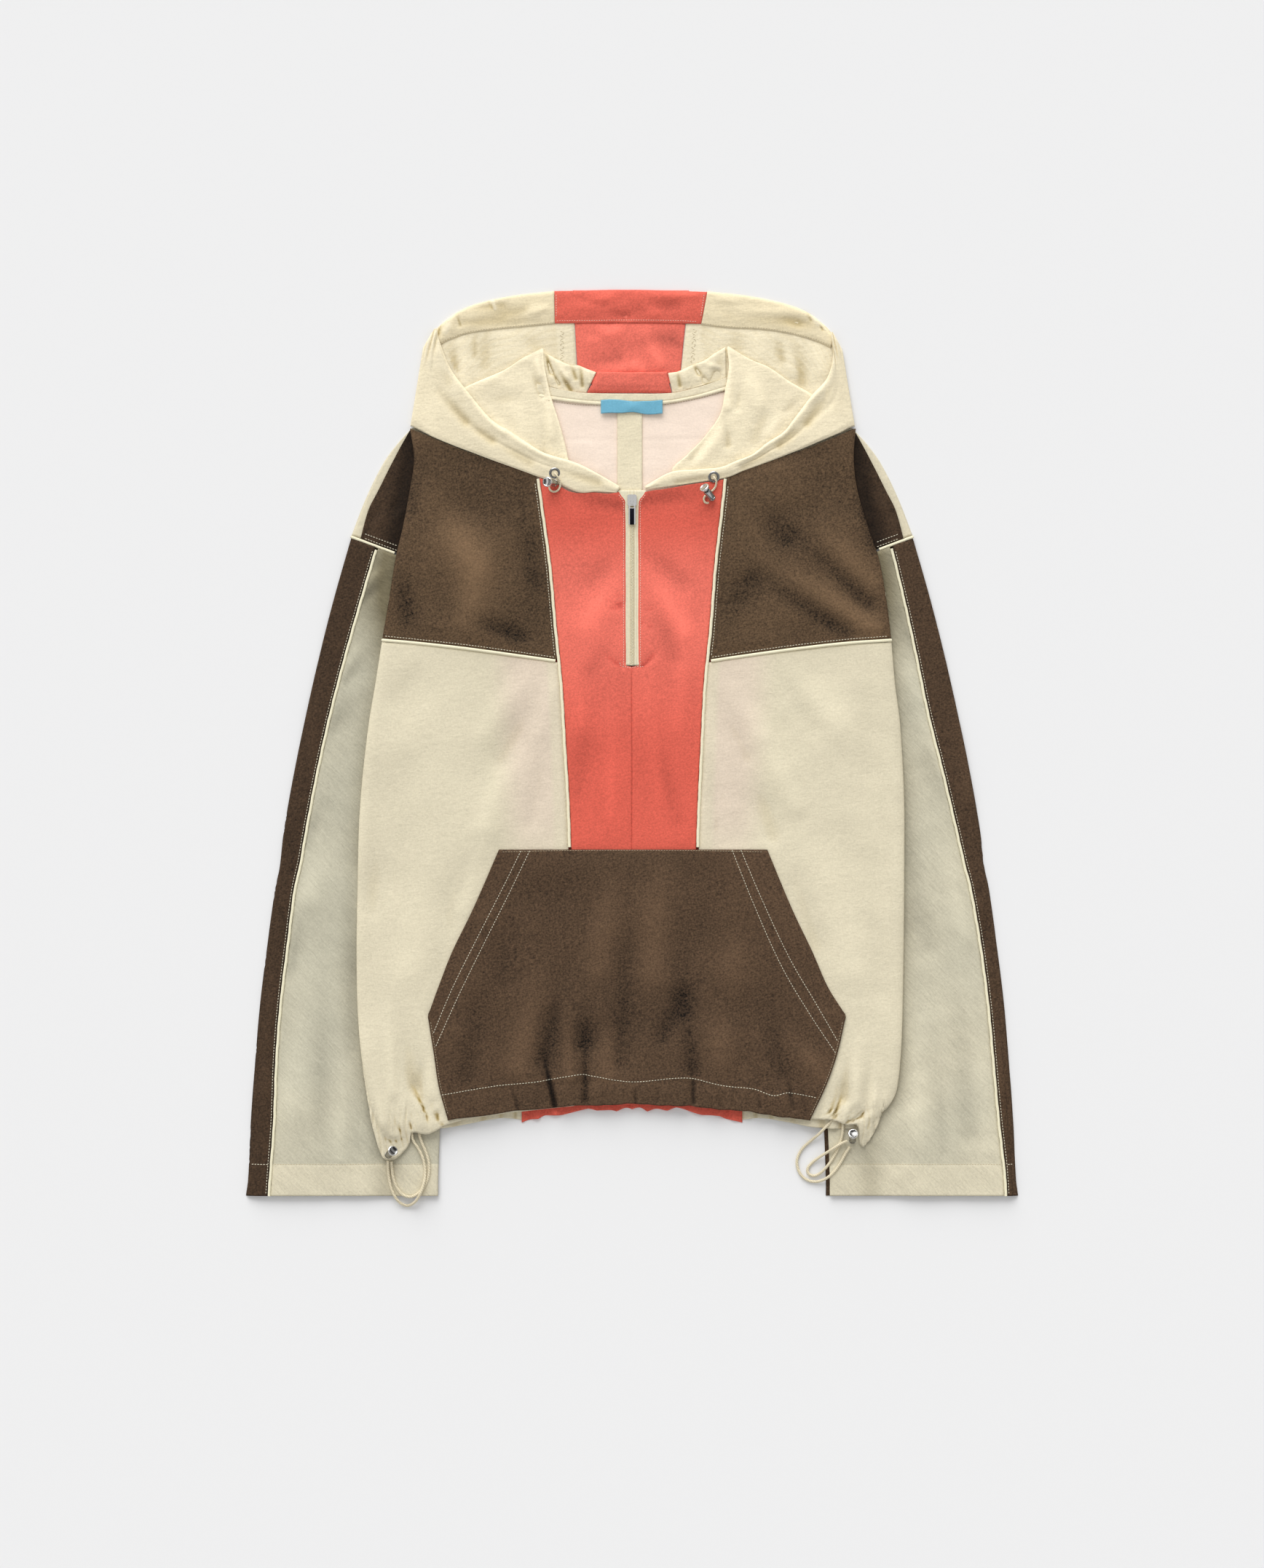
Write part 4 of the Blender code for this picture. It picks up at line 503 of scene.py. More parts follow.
# Creases that show, each from its faint end to its deep end in pixels of the photograph, then its width
# and its height in millimetres
CREASES = {
    "front_side_L": (
        (735, 905, 668, 1010, 11, 1.4), (752, 925, 692, 1045, 10, -1.6), (728, 1000, 664, 1135, 11, 1.5),
        (757, 990, 728, 1130, 7, -1.3), (764, 930, 744, 1010, 5, 0.9), (640, 905, 560, 1020, 16, 1.3),
        (590, 900, 545, 960, 12, -1.1), (560, 1010, 546, 1150, 16, -1.0), (650, 1130, 603, 1330, 14, -1.4),
        (672, 1140, 640, 1250, 8, 1.2), (590, 1200, 560, 1330, 18, 1.3), (521, 1050, 512, 1250, 9, -1.0),
        (555, 1400, 568, 1490, 9, -1.8), (562, 1470, 578, 1506, 4.5, -2.4), (587, 1400, 594, 1500, 6, 1.8),
        (535, 1390, 541, 1500, 5, 1.6), (568, 1492, 583, 1524, 1.5, -2.6),
        (583, 1520, 590, 1541, 1.0, -1.8), (594, 1512, 604, 1538, 1.1, -2.2),
        (600, 1534, 611, 1546, 0.9, -1.6), (543, 1538, 551, 1554, 1.2, -1.7),
        (526, 1560, 534, 1566, 0.9, -1.6), (533, 1563, 538, 1569, 0.9, -1.7),
        (540, 1561, 545, 1567, 0.9, -1.5), (548, 1558, 552, 1564, 0.9, -1.3),
        (524, 1554, 545, 1559, 1.6, 1.3), (516, 1480, 527, 1545, 4, 1.4), (560, 1536, 566, 1548, 1.1, -1.4),
        (574, 1500, 582, 1545, 2.2, 1.4), (596, 1470, 603, 1520, 3.4, 1.3), (590, 1440, 576, 1492, 5, -1.4),
    ),
    "front_side_R": (
        (989, 927, 1045, 1010, 10, 1.6), (1045, 1010, 1091, 1110, 9, 1.5), (984, 950, 1026, 1040, 8, -1.6),
        (1026, 1038, 1060, 1150, 8, -1.3), (970, 985, 1007, 1110, 6, 1.3), (1091, 920, 1150, 1000, 13, 1.4),
        (1060, 915, 1115, 1000, 9, -1.3), (968, 1045, 984, 1140, 4, -1.0),
        (1180, 905, 1196, 1060, 12, -1.1), (1060, 1110, 1120, 1300, 12, -1.5),
        (1120, 1120, 1165, 1330, 16, 1.4), (1196, 1180, 1205, 1360, 10, -0.9),
        (1168, 1420, 1158, 1508, 6, -2.2), (1156, 1504, 1145, 1534, 1.5, -2.6),
        (1148, 1492, 1139, 1530, 1.1, -1.8), (1187, 1522, 1181, 1534, 1.0, -1.7),
        (1187, 1532, 1160, 1541, 1.4, -1.5), (1177, 1430, 1175, 1512, 5, 1.6),
        (1168, 1522, 1162, 1534, 0.9, -1.5), (1192, 1538, 1190, 1550, 0.9, -1.4),
        (1160, 1478, 1159, 1508, 4.5, -1.8), (1220, 1513, 1180, 1530, 3, -1.3),
        (1204, 1490, 1196, 1530, 3.4, 1.3), (1196, 1450, 1189, 1516, 4, -1.3),
        (1166, 1512, 1160, 1538, 1.8, 1.2),
    ),
    "pocket": (
        (804, 1390, 804, 1432, 11, -2.3), (804, 1432, 804, 1512, 3.6, -2.5),
        (738, 1350, 712, 1465, 13, 1.9), (772, 1345, 748, 1455, 10, -1.9),
        (745, 1440, 762, 1518, 2.8, -3.0), (778, 1370, 783, 1480, 6, 1.3), (842, 1205, 820, 1330, 13, 1.8),
        (828, 1400, 838, 1475, 9, 1.3), (866, 1230, 852, 1460, 9, -1.2), (938, 1340, 938, 1385, 12, -2.3),
        (930, 1380, 908, 1425, 8, -1.5), (940, 1385, 952, 1470, 7, -1.7), (951, 1470, 953, 1514, 2.4, -2.0),
        (905, 1195, 897, 1340, 15, 1.8), (985, 1390, 992, 1455, 12, 1.4), (1003, 1265, 1010, 1340, 16, 1.2),
        (1085, 1425, 1130, 1475, 9, 1.6), (1050, 1390, 1075, 1470, 9, -1.2),
        (660, 1370, 640, 1470, 12, -1.3), (700, 1250, 690, 1340, 14, -0.9),
        (1080, 1470, 1090, 1522, 2.6, -1.6), (1100, 1484, 1106, 1526, 1.8, -1.6),
        (1040, 1494, 1044, 1520, 2.0, -1.4), (700, 1486, 712, 1522, 2.6, -1.2),
        (870, 1486, 872, 1514, 2.2, -1.3), (985, 1492, 988, 1518, 1.8, -1.3),
        (820, 1480, 826, 1512, 2.2, 0.9), (905, 1480, 903, 1512, 2.0, -1.0),
    ),
    "front_centre_L": (
        (824, 822, 856, 831, 1.9, -1.2), (820, 838, 854, 836, 2.0, -0.9), (828, 812, 854, 820, 1.8, -0.7),
        (832, 858, 854, 856, 1.8, -0.6), (765, 676, 850, 694, 8, -2.0), (852, 790, 808, 860, 12, 1.5),
        (852, 760, 812, 800, 9, -0.9), (848, 872, 812, 925, 8, -1.0), (826, 896, 852, 915, 2.2, -1.1),
        (815, 960, 795, 1090, 9, -1.0), (845, 940, 838, 1120, 6, 0.8), (790, 930, 800, 1000, 8, 0.7),
    ),
    "front_centre_R": (
        (908, 890, 882, 915, 2.2, -1.2), (908, 866, 882, 856, 1.8, -0.8), (965, 674, 886, 688, 8, -2.0),
        (890, 786, 940, 868, 9, 1.6), (882, 758, 940, 802, 9, -1.4), (884, 815, 928, 905, 8, -1.3),
        (895, 990, 930, 1130, 8, -1.0), (890, 940, 905, 1100, 6, 0.8), (948, 760, 930, 1000, 8, 0.8),
        (906, 838, 884, 836, 1.8, -0.7),
    ),
    "front_yoke_L": (
        (600, 690, 655, 780, 18, 1.9), (655, 780, 645, 845, 14, 1.5), (545, 770, 562, 850, 10, -1.1),
        (619, 838, 716, 876, 8, -1.3), (640, 864, 545, 857, 2.0, 0.5), (640, 868, 752, 893, 2.0, 0.5),
        (718, 680, 735, 800, 11, -1.1), (570, 640, 566, 700, 8, -1.0),
    ),
    "front_yoke_R": (
        (1054, 765, 1200, 866, 10, 1.8), (1035, 790, 1160, 868, 8, -1.5), (1128, 725, 1196, 800, 12, 1.6),
        (1095, 735, 1190, 828, 8, -1.3), (990, 862, 1030, 800, 12, -1.1), (1091, 871, 989, 889, 2.0, 0.5),
        (1091, 871, 1222, 863, 2.0, 0.5), (1040, 690, 1080, 740, 12, -0.9),
        (985, 805, 1018, 802, 2.6, -0.7), (983, 830, 1012, 826, 2.6, -0.7), (1180, 660, 1200, 750, 8, -1.0),
    ),
    "front_shoulder_L": (
        (545, 640, 515, 745, 5, 0.6), (560, 620, 545, 700, 4, -0.6),
    ),
    "front_shoulder_R": (
        (1190, 630, 1225, 735, 5, 0.6), (1180, 620, 1195, 700, 4, -0.6),
    ),
    "sleeve_front_L": (
        (535, 778, 497, 798, 4, 1.5), (530, 798, 495, 824, 5, -1.6), (520, 870, 470, 920, 9, 1.3),
        (500, 960, 455, 1000, 10, -1.3), (445, 1110, 415, 1155, 9, -1.5), (445, 1170, 425, 1232, 13, 1.8),
        (480, 1190, 484, 1440, 8, -1.4), (430, 1330, 400, 1520, 14, 1.4), (470, 1440, 470, 1590, 8, 1.3),
        (380, 1470, 366, 1590, 9, -1.0), (505, 1500, 520, 1590, 6, -1.1), (446, 1380, 440, 1560, 8, -1.1),
        (420, 1260, 402, 1330, 8, -1.0), (500, 900, 478, 935, 6, -1.1),
    ),
    "sleeve_front_R": (
        (1225, 790, 1262, 840, 6, 1.4), (1232, 845, 1262, 900, 6, -1.4), (1232, 905, 1262, 960, 7, 1.2),
        (1245, 980, 1290, 1090, 8, -1.3), (1262, 960, 1300, 1060, 7, 1.2),
        (1240, 1110, 1275, 1300, 10, -1.4), (1290, 1130, 1325, 1290, 9, 1.4),
        (1250, 1330, 1262, 1570, 10, 1.4), (1310, 1330, 1330, 1560, 9, -1.3),
        (1285, 1420, 1296, 1580, 7, -1.0), (1345, 1400, 1360, 1580, 8, 1.0),
        (1200, 1560, 1230, 1600, 7, -0.8),
    ),
    "sleeve_back_L": (
        (384, 1187, 412, 1199, 0.9, -1.5), (366, 1283, 400, 1282, 0.9, -1.5),
        (380, 1240, 395, 1270, 4, -0.7), (395, 1120, 402, 1180, 5, -0.8), (420, 960, 440, 1100, 5, 0.7),
        (372, 1330, 366, 1500, 5, 0.7),
    ),
    "sleeve_back_R": (
        (1358, 1219, 1332, 1227, 0.9, -1.5), (1371, 1305, 1344, 1307, 0.9, -1.5),
        (1355, 1240, 1350, 1290, 4, -0.7), (1375, 1360, 1372, 1500, 5, 0.7),
        (1310, 920, 1330, 1100, 5, 0.7),
    ),
    "hood_flap_L": (
        (735, 484, 742, 516, 3.5, 1.7), (730, 506, 744, 542, 4, -2.0), (750, 520, 758, 600, 4, 1.2),
        (650, 550, 712, 548, 8, -1.1), (652, 532, 680, 520, 5, 1.2), (712, 540, 718, 620, 8, 1.1),
        (690, 574, 735, 640, 7, -1.1), (700, 500, 722, 494, 4, 1.0), (668, 566, 716, 612, 5, 1.0),
        (745, 560, 748, 640, 4, -0.9),
    ),
    "hood_flap_R": (
        (1003, 486, 1000, 560, 4, 1.5), (995, 566, 1000, 612, 4, -1.9), (1020, 500, 1044, 556, 8, 1.2),
        (1010, 570, 962, 634, 6, 1.5), (984, 578, 950, 632, 4, -1.4), (1066, 530, 1036, 606, 8, -1.1),
        (1088, 548, 1058, 596, 5, 1.0), (1100, 548, 1078, 566, 4, -1.1), (1020, 520, 1012, 560, 4, -1.0),
    ),
    "hood_stand_L": (
        (749, 484, 757, 512, 2.0, -2.4), (762, 492, 778, 520, 3, 1.7), (797, 500, 800, 530, 2.0, -1.5),
        (770, 514, 784, 536, 2.4, -1.8), (784, 500, 791, 520, 2.2, -1.4), (808, 505, 811, 526, 1.8, 1.2),
        (756, 506, 768, 528, 1.6, -1.5),
    ),
    "hood_stand_R": (
        (952, 500, 960, 514, 1.9, -1.8), (966, 500, 986, 506, 2.4, 1.5), (930, 510, 934, 530, 2.0, -1.5),
        (990, 488, 980, 530, 4, -2.2), (940, 508, 946, 534, 1.8, 1.2), (962, 512, 972, 530, 2.4, -1.5),
    ),
    "hood_centre": (
        (800, 474, 846, 455, 6, 1.6), (846, 484, 925, 464, 7, -1.6), (884, 455, 906, 500, 6, 1.8),
        (800, 504, 850, 490, 5, -1.5), (905, 460, 938, 476, 4, -1.5), (830, 512, 870, 504, 4, 1.3),
        (800, 452, 830, 466, 4, -1.2), (868, 496, 880, 508, 6, 1.4),
    ),
    "hood_casing_centre": (
        (770, 428, 840, 408, 6, 1.3), (850, 432, 930, 420, 6, -1.3), (870, 408, 955, 406, 4, 1.2),
        (790, 412, 830, 420, 4, -1.1), (880, 420, 900, 430, 5, 1.1), (820, 430, 860, 434, 4, -1.0),
    ),
    "hood_casing_L": (
        (671, 412, 676, 424, 1.0, -0.7), (676, 411, 680, 424, 1.4, 1.2), (628, 430, 632, 448, 1.1, -0.9),
        (622, 428, 620, 450, 3.2, 1.2), (700, 438, 752, 424, 3.4, 1.1), (640, 424, 690, 420, 4, -1.0),
        (660, 436, 720, 430, 6, -1.1), (606, 440, 602, 460, 1.5, -1.2), (740, 441, 640, 444, 4, -0.8),
        (618, 440, 612, 456, 2.2, 0.9),
    ),
    "hood_casing_R": (
        (1108, 431, 1114, 441, 1.0, -0.8), (1124, 444, 1130, 454, 1.0, -1.0),
        (1116, 434, 1124, 446, 1.6, 1.1), (1060, 432, 1096, 444, 5, -1.0), (975, 410, 1008, 414, 3, 0.9),
        (1000, 436, 1110, 446, 5, -0.8), (1000, 424, 1110, 432, 4, 0.8),
    ),
    "hood_side_L": (
        (620, 478, 625, 508, 4.5, -2.2), (636, 470, 640, 524, 5, 1.4), (651, 458, 652, 488, 3.0, -1.5),
        (667, 458, 666, 502, 5, -1.2), (690, 462, 700, 490, 7, 0.9), (720, 455, 736, 478, 6, -0.8),
        (606, 484, 622, 514, 2.6, 1.4), (624, 516, 646, 548, 2.6, 1.5), (656, 562, 692, 596, 3.0, 1.4),
        (700, 602, 760, 632, 3.2, 1.0), (606, 540, 640, 580, 4.5, -1.7), (640, 580, 676, 606, 4.5, -1.6),
        (676, 606, 728, 636, 4.5, -1.1), (760, 646, 822, 664, 4.5, -1.2), (596, 470, 592, 500, 2.0, 1.4),
        (600, 590, 570, 620, 12, 0.8),
    ),
    "hood_side_R": (
        (1068, 466, 1074, 494, 4.5, -1.7), (1080, 478, 1090, 514, 3.6, 1.7),
        (1095, 482, 1101, 524, 5.5, -2.1), (1116, 475, 1128, 508, 6, 1.3), (1036, 452, 1044, 486, 7, 0.9),
        (1010, 450, 1012, 480, 6, -0.8), (1140, 522, 1112, 552, 2.6, 1.5), (1104, 562, 1070, 594, 3.0, 1.4),
        (1056, 604, 1016, 636, 3.0, 1.2), (1136, 545, 1108, 582, 4.5, -1.7),
        (1108, 582, 1070, 612, 4.5, -1.6), (1070, 612, 1020, 642, 4.0, -1.1),
        (1000, 652, 930, 664, 3.5, -1.1), (1170, 590, 1130, 620, 11, 0.8),
    ),
}

# What shows of each piece when it is cut flat, in metres: the box round it, the share of that box
# that it fills, and how it lies
CUTS = {
    "back_centre": Cut(0.26, 0.68, 0.93, "gathered"),
    "back_side": Cut(0.16, 0.67, 0.80, "gathered"),
    "back_shoulder": Cut(0.075, 0.125, 0.62, "laid"),
    "back_lining": Cut(0.20, 0.107, 0.93, "laid"),
    "neck_tape": Cut(0.182, 0.0125, 0.98, "laid"),
    "hanger_tape": Cut(0.0235, 0.0925, 1.0, "laid"),
    "neck_label": Cut(0.058, 0.013, 1.0, "laid"),
    "front_centre": Cut(0.083, 0.578, 0.75, "laid"),
    "front_yoke": Cut(0.175, 0.215, 0.72, "laid"),
    "front_side": Cut(0.20, 0.465, 0.86, "gathered"),
    "front_shoulder": Cut(0.055, 0.105, 0.62, "folded"),
    "pocket": Cut(0.39, 0.26, 0.86, "gathered"),
    "sleeve_front": Cut(0.16, 0.61, 0.84, "laid"),
    "sleeve_back": Cut(0.20, 0.615, 0.84, "folded"),
    "hood_side": Cut(0.37, 0.09, 0.62, "folded"),
    "hood_centre": Cut(0.11, 0.12, 0.76, "folded"),
    "hood_stand": Cut(0.06, 0.035, 0.62, "folded"),
    "hood_flap": Cut(0.125, 0.13, 0.50, "folded"),
    "hood_casing_centre": Cut(0.142, 0.031, 0.96, "folded"),
    "hood_casing": Cut(0.115, 0.036, 0.76, "folded"),
    "zip_tape": Cut(0.0136, 0.165, 0.97, "laid"),
}


def ramp(t):
    """0 before 0, 1 after 1, and a smooth step between, for a number or an array."""
    t = np.clip(t, 0.0, 1.0)
    return t * t * (3 - 2 * t)


def bell(distance, width):
    """1 at no distance, and next to nothing past twice the width."""
    return np.exp(-((distance / width) ** 2))


class Curve:
    """A smooth curve through values at rising stations, read by calling it."""

    def __init__(self, stations, values):
        last = len(stations) - 1
        self.stations = list(stations)
        self.values = list(values)
        self.slopes = []
        for k in range(last + 1):
            a, b = max(k - 1, 0), min(k + 1, last)
            self.slopes.append((values[b] - values[a]) / (stations[b] - stations[a]))

    def __call__(self, s):
        i = min(max(bisect_left(self.stations, s) - 1, 0), len(self.stations) - 2)
        width = self.stations[i + 1] - self.stations[i]
        t = min(max((s - self.stations[i]) / width, 0.0), 1.0)
        flat = (1 + 2 * t) * (1 - t) ** 2 * self.values[i] + t * t * (3 - 2 * t) * self.values[i + 1]
        return flat + width * (t * (1 - t) ** 2 * self.slopes[i] + t * t * (t - 1) * self.slopes[i + 1])

    def over(self, array):
        """The curve's values for an array of stations."""
        reach = np.linspace(self.stations[0], self.stations[-1], 300)
        return np.interp(array, reach, [self(s) for s in reach])


class Line:
    """A smooth line through points, read by calling it with a share of its length from 0 to 1."""

    def __init__(self, points):
        stations = [0.0]
        for a, b in zip(points, points[1:]):
            stations.append(stations[-1] + math.dist(a, b))
        self.length = stations[-1]
        self.axes = [Curve(stations, [p[k] for p in points]) for k in range(len(points[0]))]

    def __call__(self, t):
        return tuple(axis(t * self.length) for axis in self.axes)


def curves(rows):
    """A curve along y for each other column of a table."""
    ordered = sorted(rows, key=lambda row: row.y)
    ys = [row.y for row in ordered]
    return {name: Curve(ys, [getattr(row, name) for row in ordered]) for name in rows[0]._fields[1:]}


def counted(rows):
    """A curve along the row's number for each column of a table."""
    return {name: Curve(range(len(rows)), [getattr(row, name) for row in rows]) for name in rows[0]._fields}


def through(points):
    """The curve of y over x through points."""
    return Curve([p.x for p in points], [p.y for p in points])


BODY = curves(BODY_SIDE)
CENTRE = curves(CENTRE_SIDE)
ARM = curves(SLEEVE)
POCKET = curves(POCKET_SIDE)
FOLD_ROUND = counted(SLEEVE_FOLD)
HOOD = {side: counted(rows) for side, rows in HOOD_SECTIONS.items()}
HOOD_LENGTHWISE = counted(HOOD_CENTRE)
FOOT_OF_YOKE = through(YOKE_FOOT)
TOP_OF_YOKE = through(YOKE_TOP)


def photo(px, py):
    """A point of the tables' plane from a pixel of the photograph."""
    return Vector(((px - PHOTO_ZERO[0]) * PHOTO_PIXEL, (PHOTO_ZERO[1] - py) * PHOTO_PIXEL))


def world(point):
    """A place in the frame, in metres, from one in the tables' millimetres."""
    return (Vector(point) - BOX_CENTRE) * MM


def even(count):
    """The shares from 0 to 1 in that many equal steps."""
    return [i / count for i in range(count + 1)]


def finer(stations, count):
    """The stations again, with each step between them cut in count."""
    cut = [a + (b - a) * k / count for a, b in zip(stations, stations[1:]) for k in range(count)]
    return cut + [stations[-1]]


def straight(a, b):
    """The straight line between two points of the plane."""
    return Line((a[:2], b[:2]))


def filled(foot, head, near, far):
    """The map from (u, v) to the plane that fills four edge lines: near and far run from foot to head."""
    corners = foot(0), foot(1), head(0), head(1)

    def place(u, v):
        parts = []
        for k in (0, 1):
            sides = (1 - u) * near(v)[k] + u * far(v)[k]
            ends = (1 - v) * foot(u)[k] + v * head(u)[k]
            low = (1 - u) * corners[0][k] + u * corners[1][k]
            high = (1 - u) * corners[2][k] + u * corners[3][k]
            parts.append(sides + ends - (1 - v) * low - v * high)
        return parts

    return place


def strip(foot, head):
    """The same map between two rows of points, with straight ends."""
    return filled(Line(foot), Line(head), straight(foot[0], head[0]), straight(foot[-1], head[-1]))


def on_side(sign, plane, height):
    """A piece's place() on one side: plane gives its half width and y, and height() its height from them."""

    def place(u, v):
        half, y = plane(u, v)
        return sign * half, y, height(half, y, u, v)

    return place


def armhole_y(half):
    """The armhole seam, which slopes down from the shoulder to the hidden underarm."""
    return 181.0 + (half - 219.0) * 0.372


def lift(half, y):
    """How far the body is held up by the sleeve that lies under it."""
    return SLEEVE_STACK * ramp((half - ARM["inner"](y) + 66) / 60) * ramp((armhole_y(half) + 72 - y) / 62)


def front_height(side, half, y):
    """Middle of the front cloth: over the back, puffed out, and rounded down at the side fold."""
    below = lift(half, y)
    shoulder = 2.1 * ramp((half - 145) / 45) * ramp((y - 110) / 60)
    inside = min(max((BODY[side](y) - half) / SIDE_ROUNDING, 0.0), 1.0)
    puff = FRONT_PUFF * math.sqrt(1 - (1 - inside) ** 2) * ramp((y + 372) / 24)
    return below + shoulder * (1 - below / SLEEVE_STACK) + CLOTH + LAYER_GAP + CLOTH / 2 + puff


def folds(table, x, y, foot):
    """Sum of the hem folds at a point, each fading out towards its top."""
    total = 0.0
    for fold in table:
        across = bell(x - fold.x - fold.lean * (y - foot), fold.width)
        total += fold.height * ramp((fold.top - y) / (fold.top - foot)) * across
    return total


def sleeve_height(side, half, y):
    """Middle of the sleeve's upper cloth: low where the body lies on it, fuller outside."""
    inside = min(max((half - ARM["inner"](y)) / 7, 0.0), 1.0)
    puff = 1.5 * math.sqrt(1 - (1 - inside) ** 2)
    outside = half - BODY[side](min(y, SLEEVE_TOP_Y)) - 8
    return CLOTH + LAYER_GAP + CLOTH / 2 + puff + 1.6 * ramp(outside / 35) * ramp((y + 470) / 60)


def sleeve_row(v, inset, half_at):
    """The y of a sleeve point at share v from cuff to armhole, where half_at(y) is its half width."""
    y = CUFF_Y * (1 - v) + SLEEVE_TOP_Y * v
    for _ in range(4):
        y = CUFF_Y + (armhole_y(half_at(y)) - inset - CUFF_Y) * v
    return y


def swell(x, y, size, seed):
    """Slow unevenness between about -1 and 1: bent waves that cross at odd angles."""
    x, y = x + 0.2 * size * np.sin(2.3 * y / size + seed), y + 0.2 * size * np.sin(1.9 * x / size + 2 * seed)
    total = 0.0
    for k in range(6):
        turn = seed + 2.4 * k
        reach = 2 * math.pi / (size * (0.6 + 0.21 * k))
        total = total + np.sin((x * math.cos(turn) + y * math.sin(turn)) * reach + 3.7 * turn)
    return total / 3


def creased(rows, x, y):
    """What creases add over arrays of x and y: height, and painted shade of the broad and of the sharp ones.

    Each grows towards its far end.
    """
    total, shade, depth = (np.zeros_like(x) for _ in range(3))
    for px0, py0, px1, py1, width, rise in rows:
        a, b = photo(px0, py0), photo(px1, py1)
        run = b - a
        share = np.clip(((x - a.x) * run.x + (y - a.y) * run.y) / run.length_squared, 0, 1)
        apart = np.hypot(x - a.x - share * run.x, y - a.y - share * run.y)
        added = rise * (0.25 + 0.75 * ramp(share * 1.4)) * bell(apart, width)
        total += added
        if width < SHARP_CREASE:
            depth -= added
        else:
            shade -= added
    return total, shade, depth


def blurred(height, times):
    """The array with each value evened out among its neighbours, that many times."""
    for _ in range(times):
        wide = np.pad(height, 1, mode="edge")
        above_below = wide[:-2, 1:-1] + wide[2:, 1:-1]
        beside = wide[1:-1, :-2] + wide[1:-1, 2:]
        height = (wide[1:-1, 1:-1] * 2 + above_below + beside) / 6
    return height


def sewn_fade(us, vs, sewn):
    """1 inside a piece, and little at the edges that are sewn down: near, far, foot and head."""
    u, v = np.meshgrid(us, vs)
    fade = np.ones_like(u)
    for held, share in zip(sewn, (u, 1 - u, v, 1 - v)):
        if held:
            fade *= 0.15 + 0.85 * ramp(share / 0.07)
    return fade


class Tailor:
    """Makes the cloth pieces, and keeps their surfaces so that stitches can be laid on them."""

    surfaces = []

    @classmethod
    def shell(cls, node, us, vs, place, swells=((70, 0.5),), sewn=(1, 1, 1, 1), rise=0.0, tint=0.0, warm=0.0,
              stain=0.0, glow=(0, 0, 0, 0), extra=None, covered=None, rests_on=()):
        """One cloth piece on a grid whose (u, v) point place() puts in the tables' millimetres.

        swells are the sizes and heights of its slow waves, and rise lifts its middle so that they have room.
        sewn and glow go by its edges near (u = 0), far (u = 1), foot (v = 0) and head (v = 1): which are
        sewn down, and how much light they catch as a painted highlight. extra() gives fine relief. covered()
        gives the share of the cloth that another piece lies on, widened by a distance, and there it is flat
        and low. Its tint, the share of its fabric's third colour and a constant share more of painted crease
        shade go to its fabric, which reads them with shade and depth, the painted shade of its broad and its
        sharp creases, as attributes.
        """
        cloth = bpy.context.scene.jacket_cloth
        points = np.array([[tuple(place(u, v)) for u in us] for v in vs], float)
        x, y = points[..., 0], points[..., 1]
        fade = sewn_fade(us, vs, sewn)
        seed = 0.37 * len(cls.surfaces)
        slow = sum(height * swell(x, y, size, seed + k) for k, (size, height) in enumerate(swells))
        folded, shade, depth = (part * cloth.crease_strength for part in creased(CREASES.get(node, ()), x, y))
        if extra:
            fine = extra(x, y, *np.meshgrid(us, vs))
            folded = folded + fine
            # Painted shade in the hollows of the fine relief
            depth = depth + (blurred(fine, 14) - fine) * 0.9
        if covered:
            z = points[..., 2].copy()
            fade = fade * (1 - covered(x, y, z, 8))
            points[..., 2] -= 2.0 * covered(x, y, z, -5)
        points[..., 2] += (slow + folded + rise) * fade
        points[..., 2] = np.maximum(points[..., 2], FLOOR_CLEARANCE)
        flat = points[..., :2]
        edges = (flat[:, :1], flat[:, -1:], flat[:1], flat[-1:])
        # Painted light and shade, kept as attributes: a painted highlight where edges catch the light, high
        # ground lighter and low ground darker, and painted shade in the broad creases and in the sharp ones,
        # which also take a constant share more.
        lit = sum(share * bell(np.linalg.norm(flat - edge, axis=-1), EDGE_GLOW)
                  for share, edge in zip(glow, edges))
        facts = {"depth": depth * 0.42 - 0.14 + stain, "shade": shade * 0.34 - slow * 0.12 - lit}
        for name, amount in (("tint", tint), ("warm", warm)):
            facts[name] = amount(x, y, points[..., 2]) if callable(amount) else np.full_like(x, amount)
        bm = bmesh.new()
        bmesh.ops.create_grid(bm, x_segments=len(us) - 1, y_segments=len(vs) - 1, size=0.5)
        layers = {name: bm.verts.layers.float.new(name) for name in facts}
        for vert in bm.verts:
            i = round((vert.co.x + 0.5) * (len(us) - 1))
            j = round((vert.co.y + 0.5) * (len(vs) - 1))
            vert.co = world(points[j, i])
            for name, values in facts.items():
                vert[layers[name]] = min(max(float(values[j, i]), -1.0), 1.0)
        bmesh.ops.recalc_face_normals(bm, faces=bm.faces)
        obj = mesh_object(f"{node}_cloth", bm, sharp=60)
        cls.surfaces.append(BVHTree.FromObject(obj, bpy.context.evaluated_depsgraph_get()))
        thick = obj.modifiers.new("Cloth", "SOLIDIFY")
        thick.thickness = cloth.thickness
        thick.offset = 0.0
        dress(obj, node)
        cut = CUTS[node.removesuffix("_L").removesuffix("_R")]
        area = cut.width * cut.length * cut.fill
        return obj

    @classmethod
    def top(cls, x, y):
        """The point on top of the cloth at a place of the tables' plane, and the way it faces."""
        above = world((x, y, 60.0))
        best = None
        for tree in cls.surfaces:
            spot, normal, _, _ = tree.ray_cast(above, Vector((0, 0, -1)))
            if spot and (best is None or spot.z > best[0].z):
                best = (spot, normal if normal.z > 0 else -normal)
        if best is None:
            return None
        spot, normal = best
        return spot + normal * bpy.context.scene.jacket_cloth.thickness / 2, normal


